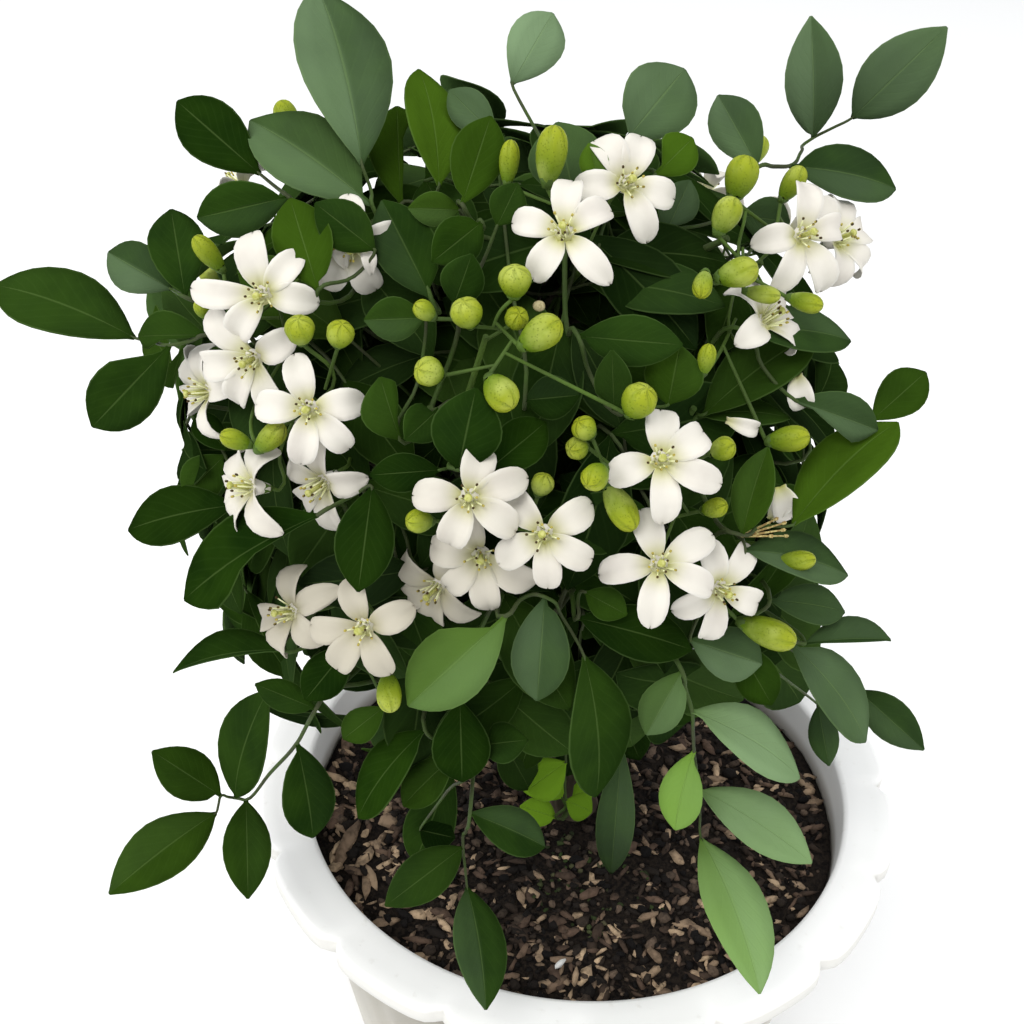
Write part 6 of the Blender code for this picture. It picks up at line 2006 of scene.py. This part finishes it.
filament_finish = stamen_paint("filament_cream", (0.80, 0.80, 0.52), (0.72, 0.74, 0.40), 0.5)
anther_finish = stamen_paint("anther_brown", (0.050, 0.030, 0.009), (0.40, 0.33, 0.07), 0.7, 420.0)
style_finish = stamen_paint("style_green", (0.36, 0.37, 0.085), (0.47, 0.47, 0.16), 0.5)
for name, own in flowering.items():
    if own:
        draw = random.Random(name)
        filaments, anthers, style = bmesh.new(), bmesh.new(), bmesh.new()
        for bloom in own:
            flower_middle(bloom, filaments, anthers, style, draw)
        add_piece("filaments_" + name, filaments, filament_finish)
        add_piece("anthers_" + name, anthers, anther_finish)
        add_piece("styles_" + name, style, style_finish)
print("stamens made:", len(blooms) * STAMENS)

# %% [markdown]
# ## A spent flower and petals behind
#
# One flower at the right has dropped its petals, and its stamens and pistil stick out to the
# side. Petals of hidden flowers peep out between the leaves, and a pale scar marks where a bud
# fell off.

# %% A spent flower and petals behind
# The tips of the spent stamens: pixel and depth, mm
SPENT = [(784, 523, 6), (783, 530, 3), (776, 519, 7), (771, 536, 2), (786, 536, 5), (768, 524, 9)]

# Petals of hidden flowers: base and tip pixels, width in pixels and depth, mm
PEEPING = [
    (797, 374, 806, 414, 30, 16), (780, 486, 792, 520, 34, 16), (770, 520, 790, 494, 26, 18),
    (726, 420, 760, 428, 22, 12), (338, 240, 346, 270, 22, 14), (365, 250, 372, 276, 20, 14),
]
SCAR = (539, 306, 2)
SPENT_FOOT = (741, 536, 8)
SPENT_FILAMENT = (0.00035, 0.0002, 6)
SPENT_ANTHER = (0.0005, 0.0008)


def peeping_petal(u, v, tip_u, tip_v, width, deep, draw):
    base = on_crown(u, v, deep)
    tip = on_crown(tip_u, tip_v, deep)
    facing = (VIEW_EYE - base).normalized()
    return petal(Blade(base, tip, width * pixel_size(base), facing, PETAL_ARCH), draw)


spent_foot = on_crown(*SPENT_FOOT)
spent = bmesh.new()
for row in SPENT:
    end = on_crown(*row)
    stump(spent, spent_foot, end, *SPENT_FILAMENT)
    knob(spent, end, (end - spent_foot).normalized(), *SPENT_ANTHER)
spent_finish = stamen_paint("spent_gold", (0.50, 0.42, 0.17), (0.30, 0.20, 0.07), 0.6)
add_piece("spent_stamens", spent, spent_finish)
peep_draw = random.Random(5)
peeping = [peeping_petal(*row, peep_draw) for row in PEEPING]
add_piece("petals_behind", joined(peeping, new_bm("shade")), petal_finish)
scar = bmesh.new()
knob(scar, on_crown(*SCAR), UP, 0.0014, 0.0012, 2)
scar_finish = stamen_paint("scar_beige", (0.42, 0.36, 0.20), (0.30, 0.25, 0.13), 0.8)
add_piece("bud_scar", scar, scar_finish)
print("petals that peep out:", len(PEEPING))

# %% [markdown]
# ## The pot
#
# The pot is smooth white plastic. Its flat rim has sixteen soft lobes with a small crease where
# two of them meet, and its body is fluted below them. One profile is spun about the pot's
# axis in fine steps, and the lobes are a change of radius with the angle.

# %% The pot
LOBES = 16
RIM_RADIUS = 0.110
RIM_NOTCH = 0.0032
RIM_INNER_RADIUS = 0.093
RIM_THICKNESS = 0.0035
LIP_DROP = 0.007
LIP_THICKNESS = 0.0025
BODY_TOP_RADIUS = 0.0975
BODY_FOOT_RADIUS = 0.070
FLUTE_DEPTH = 0.0018
POT_WALL = 0.0032
POT_FLOOR = 0.004
WALL_EASE = 0.0025
SOIL_CROWN = 0.004
POT_STEPS = 288
CREASE_DEPTH = 0.0010
RIDGE_HEIGHT = 0.0022
ROUND = 0.0006
FOOT_HEIGHT = 0.004
BODY_RINGS = 12


def pot_profile():
    """The pot's section from the middle of its foot round the rim to the middle of its floor."""
    under_rim = POT_HEIGHT - RIM_THICKNESS
    inner_top = BODY_TOP_RADIUS - POT_WALL - WALL_EASE
    lip = RIM_RADIUS - LIP_THICKNESS
    lip_foot = POT_HEIGHT - LIP_DROP
    foot = [
        (0.0, 0.0), (BODY_FOOT_RADIUS - 0.003, 0.0), (BODY_FOOT_RADIUS - ROUND, 0.0008),
        (BODY_FOOT_RADIUS, FOOT_HEIGHT),
    ]
    body = []
    for index in range(1, BODY_RINGS):
        share = index / BODY_RINGS
        radius = BODY_FOOT_RADIUS + (BODY_TOP_RADIUS - BODY_FOOT_RADIUS) * share ** 0.9
        body.append((radius, FOOT_HEIGHT + (under_rim - FOOT_HEIGHT) * share))
    rim = [
        (BODY_TOP_RADIUS, under_rim - 0.0015), (BODY_TOP_RADIUS + 0.0015, under_rim), (lip, under_rim),
        (lip, lip_foot + ROUND), (lip + 0.0008, lip_foot), (RIM_RADIUS - ROUND, lip_foot),
        (RIM_RADIUS, lip_foot + 0.0008), (RIM_RADIUS, POT_HEIGHT - 0.0018),
        (RIM_RADIUS - ROUND, POT_HEIGHT - ROUND), (RIM_RADIUS - 0.002, POT_HEIGHT),
        (RIM_RADIUS - 0.006, POT_HEIGHT), (RIM_RADIUS - 0.011, POT_HEIGHT - 0.0002),
    ]
    inside = [
        (RIM_INNER_RADIUS + 0.002, POT_HEIGHT - 0.0002), (RIM_INNER_RADIUS + ROUND, POT_HEIGHT - 0.0007),
        (RIM_INNER_RADIUS, POT_HEIGHT - 0.002), (inner_top + 0.0003, SOIL_TOP),
        (inner_top, SOIL_TOP - SOIL_CROWN), (BODY_FOOT_RADIUS - POT_WALL, POT_FLOOR), (0.0, POT_FLOOR),
    ]
    return foot + body + rim + inside


def spun(profile, steps):
    """A section turned about Z, closed at its poles."""
    bm = bmesh.new()
    verts = [bm.verts.new((radius, 0.0, z)) for radius, z in profile]
    edges = [bm.edges.new(pair) for pair in zip(verts, verts[1:])]
    bmesh.ops.spin(bm, geom=verts + edges, cent=(0, 0, 0), axis=UP, dvec=(0, 0, 0), angle=math.tau,
                   steps=steps, use_merge=True)
    bmesh.ops.remove_doubles(bm, verts=bm.verts[:], dist=0.00001)
    bmesh.ops.recalc_face_normals(bm, faces=bm.faces[:])
    return bm


def shape_lobes(bm):
    """Gives the rim its lobes and creases, and the body its flutes."""
    wall = BODY_FOOT_RADIUS - POT_WALL
    for vert in bm.verts:
        radius = math.hypot(vert.co.x, vert.co.y)
        angle = math.atan2(vert.co.y, vert.co.x)
        notch = max(0.0, math.cos(angle * LOBES))
        depth = 0.0
        if radius > RIM_RADIUS - 0.004:
            depth = RIM_NOTCH * (0.35 * notch ** 2 + 0.75 * notch ** 14)
        elif radius > wall + 0.002 and vert.co.z < POT_HEIGHT - RIM_THICKNESS + 0.0001:
            outer = BODY_FOOT_RADIUS + (BODY_TOP_RADIUS - BODY_FOOT_RADIUS) * vert.co.z / POT_HEIGHT
            inside = radius < outer - POT_WALL / 2
            depth = 0.0 if inside or vert.co.z < 0.01 else FLUTE_DEPTH * notch ** 2
        if vert.co.z > POT_HEIGHT - 0.0025 and radius > RIM_INNER_RADIUS + 0.001:
            out = (radius - RIM_INNER_RADIUS) / (RIM_RADIUS - RIM_INNER_RADIUS)
            ridge = math.sin(angle * LOBES) * notch ** 8
            vert.co.z -= (CREASE_DEPTH * notch ** 16 - RIDGE_HEIGHT * ridge) * min(1.0, out * out * 1.2)
        if radius > 0.001:
            vert.co.x *= 1 - depth / radius
            vert.co.y *= 1 - depth / radius


print("points in the pot's section:", len(pot_profile()))

# %% [markdown]
# ## The pot's finish
#
# The white plastic is clean on the rim, with a band of painted shade along its outer edge. Below
# the rim the body is darker, partly dust where watering leaves streaks and partly painted shade,
# most of it just under the rim. On its inner wall the soil has left a brown line. All of this
# depends on height and on distance from the axis only, so those two measures make the masks.

# %% The pot's finish
POT_WHITE = (0.88, 0.88, 0.865)
POT_BRIGHT = (0.92, 0.92, 0.915)
POT_SCUFF = (0.62, 0.59, 0.54)
# The lip colour is painted shade; the two dust colours are dust and painted shade together.
POT_LIP_SHADE = (0.58, 0.565, 0.52)
POT_SOILED = (0.28, 0.23, 0.18)
DUST_AND_SHADE_LOW = (0.46, 0.435, 0.37)
DUST_AND_SHADE_HIGH = (0.19, 0.172, 0.130)
DUST_STREAK = (0.15, 0.13, 0.095)


def pot_paint():
    paint = Paint("pot_white", 0.35, Specular_IOR_Level=0.45)
    x, y, z = paint.split(paint.coords())
    cloud = paint.speckle(14.0, 4.0)
    scuff = paint.speckle(260.0, 6.0, stretch=(1.0, 1.0, 0.3)).step(0.62, 0.78)
    radius = (x * x + y * y).math("SQRT")
    wall = radius - z * ((BODY_TOP_RADIUS - BODY_FOOT_RADIUS) / POT_HEIGHT)
    inside = 1.0 - wall.step(BODY_FOOT_RADIUS - POT_WALL - 0.0002, BODY_FOOT_RADIUS - POT_WALL + 0.0012)
    # A band of painted shade runs round the rim's outer edge, and below the rim the body is darkened by dust
    # together with painted shade, deepest just under it.
    lip = (1.0 - z.step(POT_HEIGHT - 0.0024, POT_HEIGHT - 0.0006)) * (1.0 - inside)
    dusty_and_shaded = (1.0 - z.step(POT_HEIGHT - 0.016, POT_HEIGHT - LIP_DROP)) * (1.0 - inside)
    streaks = paint.speckle(30.0, 5.0, stretch=(1.0, 1.0, 0.25)).step(0.35, 0.7)
    dust_and_shade = paint.blend(z.step(0.07, POT_HEIGHT - 0.02), DUST_AND_SHADE_LOW, DUST_AND_SHADE_HIGH)
    soiled = (1.0 - z.step(SOIL_TOP - 0.004, SOIL_TOP + 0.004)) * inside
    colour = paint.layers(POT_WHITE, (cloud.step(0.3, 0.7), POT_BRIGHT), (scuff * 0.25, POT_SCUFF),
                          (lip * 0.7, POT_LIP_SHADE), (dusty_and_shaded * 0.85, dust_and_shade),
                          (dusty_and_shaded * streaks * 0.45, DUST_STREAK), (soiled * 0.7, POT_SOILED))
    return paint.finish(colour, 0.28 + cloud * 0.14 + scuff * 0.2, cloud + scuff * 0.2, 0.0003)


pot_bm = spun(pot_profile(), POT_STEPS)
shape_lobes(pot_bm)
pot_piece = add_piece("pot_shell", pot_bm, pot_paint(), ["pot"])
print("pot triangles:", len(pot_piece.data.polygons) * 2)

# %% [markdown]
# ## Soil
#
# The pot is filled to a finger's width below its rim with a dark mix. Its top is uneven, so a
# spun disc is pushed up and down by noise in three sizes. The disc goes down to the pot's floor
# like the solid does, so the soil is closed on all sides.

# %% Soil
SOIL_RADIUS = BODY_TOP_RADIUS - POT_WALL - WALL_EASE - 0.0004
SOIL_FOOT = POT_FLOOR + 0.0003
SOIL_WAVES = [(28.0, 0.0020), (110.0, 0.0012), (400.0, 0.0006)]
SOIL_RINGS = 46
SOIL_DARK = (0.004, 0.003, 0.003)
SOIL_MIDDLE = (0.012, 0.009, 0.007)
SOIL_BROWN = (0.022, 0.016, 0.012)
SOIL_STEPS = 150


def soil_height(x, y):
    """The soil's surface at a place."""
    spot = Vector((x, y, 0.0))
    rise = sum(noise.noise(spot * scale) * height for scale, height in SOIL_WAVES)
    edge = math.hypot(x, y) / SOIL_RADIUS
    return SOIL_TOP - 0.0012 + rise - 0.002 * edge ** 6


def on_soil(u, v):
    """The place on the soil that a pixel of the photograph shows."""
    ray = pixel_ray(u, v)
    return VIEW_EYE + ray * ((SOIL_TOP - VIEW_EYE.z) / ray.z)


def soil_paint():
    paint = Paint("soil_brown", 0.95, Specular_IOR_Level=0.12)
    fine = paint.speckle(700.0, 6.0)
    patch = paint.speckle(70.0, 4.0).step(0.35, 0.65)
    colour = paint.layers(SOIL_DARK, (fine.step(0.35, 0.65), SOIL_BROWN), (patch * 0.4, SOIL_MIDDLE))
    return paint.finish(colour, 0.85 + fine * 0.15, fine, 0.0012)


def soil_bed():
    profile = [(SOIL_RADIUS * index / SOIL_RINGS, SOIL_TOP) for index in range(SOIL_RINGS + 1)]
    profile += [(SOIL_RADIUS - 0.0002, SOIL_TOP - 0.012), (BODY_FOOT_RADIUS - POT_WALL - 0.001, SOIL_FOOT),
                (0.0, SOIL_FOOT)]
    bm = spun(profile, SOIL_STEPS)
    for vert in bm.verts:
        if vert.co.z > SOIL_TOP - 0.001:
            vert.co.z = soil_height(vert.co.x, vert.co.y)
    return bm


soil_piece = add_piece("soil_bed", soil_bed(), soil_paint(), ["soil"])
print("soil triangles:", sum(len(face.vertices) - 2 for face in soil_piece.data.polygons))

# %% [markdown]
# ## Litter
#
# Husks, slivers of wood and crumbs lie on the soil. Each is a ball of twenty faces,
# stretched, turned and dented. They are made in small batches, because an operator that works
# on a large mesh goes over all of it each time.

# %% Litter
HUSKS = 1500
CRUMBS = 2800
SOIL_SEED = 11
BATCH = 60
MOSS_REACH = 0.024
MOSS_GREEN = (0.035, 0.060, 0.014)
STONE_WHITE = (0.72, 0.72, 0.70)
HUSK_JITTER = 0.0002


def litter_paint(name, dark, middle, pale, scale):
    """A finish for bodies that differ one by one, from dark to pale by their tone."""
    paint = Paint(name, 0.85, Specular_IOR_Level=0.2)
    tone, green, white = paint.split(paint.attribute("tone", "Color"))
    grain = paint.speckle(scale, 4.0)
    colour = paint.layers(dark, ((tone * 2.0).capped(), middle), ((tone * 2.0 - 1.0).capped(), pale),
                          (grain.step(0.42, 0.72) * 0.5, dark), (green, MOSS_GREEN), (white, STONE_WHITE))
    return paint.finish(colour, 0.75 + grain * 0.2, grain, 0.0004)


def thrown(count, draw, near_wall):
    """Seeded places on the soil; near_wall above 1 draws them to the pot's wall."""
    for index in range(count):
        reach = (SOIL_RADIUS - 0.003) * draw.random() ** (0.5 / near_wall)
        turn = draw.uniform(0, math.tau)
        if reach > TRUNK_RADIUS + 0.002:
            yield reach * math.cos(turn), reach * math.sin(turn)


def husk_body(x, y, draw):
    """A husk or sliver: tan near the wall and at the left, mostly dark elsewhere."""
    reach = math.hypot(x, y) / SOIL_RADIUS
    pale = draw.random() < 0.16 + 0.44 * reach ** 2 + (0.2 if x < -0.045 else 0.0)
    length = draw.uniform(0.0035, 0.0095) * (1.35 if x < -0.05 and draw.random() < 0.3 else 1.0)
    size = (length / 2, length * draw.uniform(0.11, 0.26), length * draw.uniform(0.08, 0.13))
    return size, (draw.uniform(0.45, 1.0) if pale else draw.uniform(0.0, 0.42), 0.0, 0.0)


def crumb_body(x, y, draw):
    size = min(0.0026, draw.lognormvariate(math.log(0.0010), 0.45))
    mossy = size < 0.0013 and (Vector((x, y, 0)) - MOSS).length < MOSS_REACH
    moss = draw.uniform(0.2, 0.8) if mossy and draw.random() < 0.6 else 0.0
    shape = (size * draw.uniform(0.7, 1.4), size * draw.uniform(0.6, 1.2), size * 0.7)
    return shape, (draw.random() ** 1.7, moss, 0.0)


def laid(x, y, size, draw, turn=None):
    """The matrix that lays a ball of radius 1 as a body on the soil."""
    turn = draw.uniform(0, math.tau) if turn is None else turn
    place = Matrix.Translation((x, y, soil_height(x, y) + size[2] * draw.uniform(0.0, 0.8)))
    lean = Matrix.Rotation(draw.gauss(0, 0.25), 4, "X") @ Matrix.Rotation(draw.gauss(0, 0.25), 4, "Y")
    return place @ Matrix.Rotation(turn, 4, "Z") @ lean @ Matrix.Diagonal((*size, 1.0))


def litter_batch(bodies, draw):
    bm = bmesh.new()
    tones = bm.verts.layers.float_color.new("tone")
    for body, tone in bodies:
        for vert in bmesh.ops.create_icosphere(bm, subdivisions=1, radius=1.0, matrix=body)["verts"]:
            vert[tones] = (*tone, 1.0)
            vert.co = vert.co.lerp(body.translation, draw.uniform(-0.25, 0.35))
            vert.co += Vector([draw.uniform(-1, 1) for axis in range(3)]) * HUSK_JITTER
    return bm


def litter(bodies, draw):
    """Many bodies in one, each a matrix and a tone."""
    batches = (litter_batch(bodies[first:first + BATCH], draw) for first in range(0, len(bodies), BATCH))
    return joined(batches, bmesh.new())


print("litter comes in batches of", BATCH)

# %% [markdown]
# ## Litter on the soil
#
# The largest slivers lie where the photograph shows them, the others where a seeded draw puts
# them. Green crumbs of moss gather round one place at the front, and one white stone lies
# near the rim.

# %% Litter on the soil
# Large slivers that show at the left and front: pixel, length and width in mm, turn in degrees, tone
SLIVERS = [
    (348, 842, 24, 6.0, 82, 0.62), (336, 812, 17, 5.0, 75, 0.50), (366, 880, 15, 4.5, 95, 0.68),
    (352, 905, 12, 4.0, 60, 0.45), (330, 775, 14, 4.5, 88, 0.40), (412, 952, 15, 4.0, 8, 0.85),
    (378, 850, 11, 3.5, 110, 0.75), (640, 905, 9, 3.0, 20, 0.80), (648, 918, 9, 3.0, 25, 0.62),
    (698, 930, 10, 3.0, -35, 0.66), (345, 742, 12, 4.0, 100, 0.55), (520, 895, 10, 3.2, -60, 0.70),
    (760, 900, 9, 3.0, 70, 0.72), (806, 860, 9, 3.0, 80, 0.60), (596, 880, 9, 3.0, 10, 0.74),
    (452, 900, 9, 3.0, 65, 0.82), (430, 912, 8, 3.0, 120, 0.72), (575, 975, 9, 2.8, 70, 0.8),
]
MOSS = on_soil(600, 880)
MOSS.z = 0.0
throw = random.Random(SOIL_SEED)
husks = [(x, y, *husk_body(x, y, throw)) for x, y in thrown(HUSKS, throw, 1.25)]
crumbs = [(x, y, *crumb_body(x, y, throw)) for x, y in thrown(CRUMBS, throw, 1.0)]
husks = [(laid(x, y, size, throw), tone) for x, y, size, tone in husks]
crumbs = [(laid(x, y, size, throw), tone) for x, y, size, tone in crumbs]
for u, v, length, width, turn, tone in SLIVERS:
    spot = on_soil(u, v)
    size = (length * MM / 2, width * MM / 2, 0.0011)
    husks.append((laid(spot.x, spot.y, size, throw, math.radians(turn)), (tone, 0.0, 0.0)))
stone = on_soil(560, 963)
husks.append((laid(stone.x, stone.y, (0.0042, 0.0014, 0.0012), throw, math.radians(55)), (1.0, 0.0, 1.0)))
husk_finish = litter_paint("husk_tan", SOIL_MIDDLE, (0.125, 0.080, 0.056), (0.54, 0.39, 0.25), 500.0)
crumb_finish = litter_paint("crumb_brown", SOIL_DARK, SOIL_BROWN, (0.15, 0.105, 0.075), 900.0)
add_piece("husks", litter(husks, throw), husk_finish)
add_piece("crumbs", litter(crumbs, throw), crumb_finish)
print("bodies on the soil:", len(husks) + len(crumbs))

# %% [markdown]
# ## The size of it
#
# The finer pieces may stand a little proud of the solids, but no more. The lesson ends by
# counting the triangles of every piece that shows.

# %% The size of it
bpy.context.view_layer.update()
triangles = sum(len(face.vertices) - 2 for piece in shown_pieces() for face in piece.data.polygons)
print("triangles:", triangles)
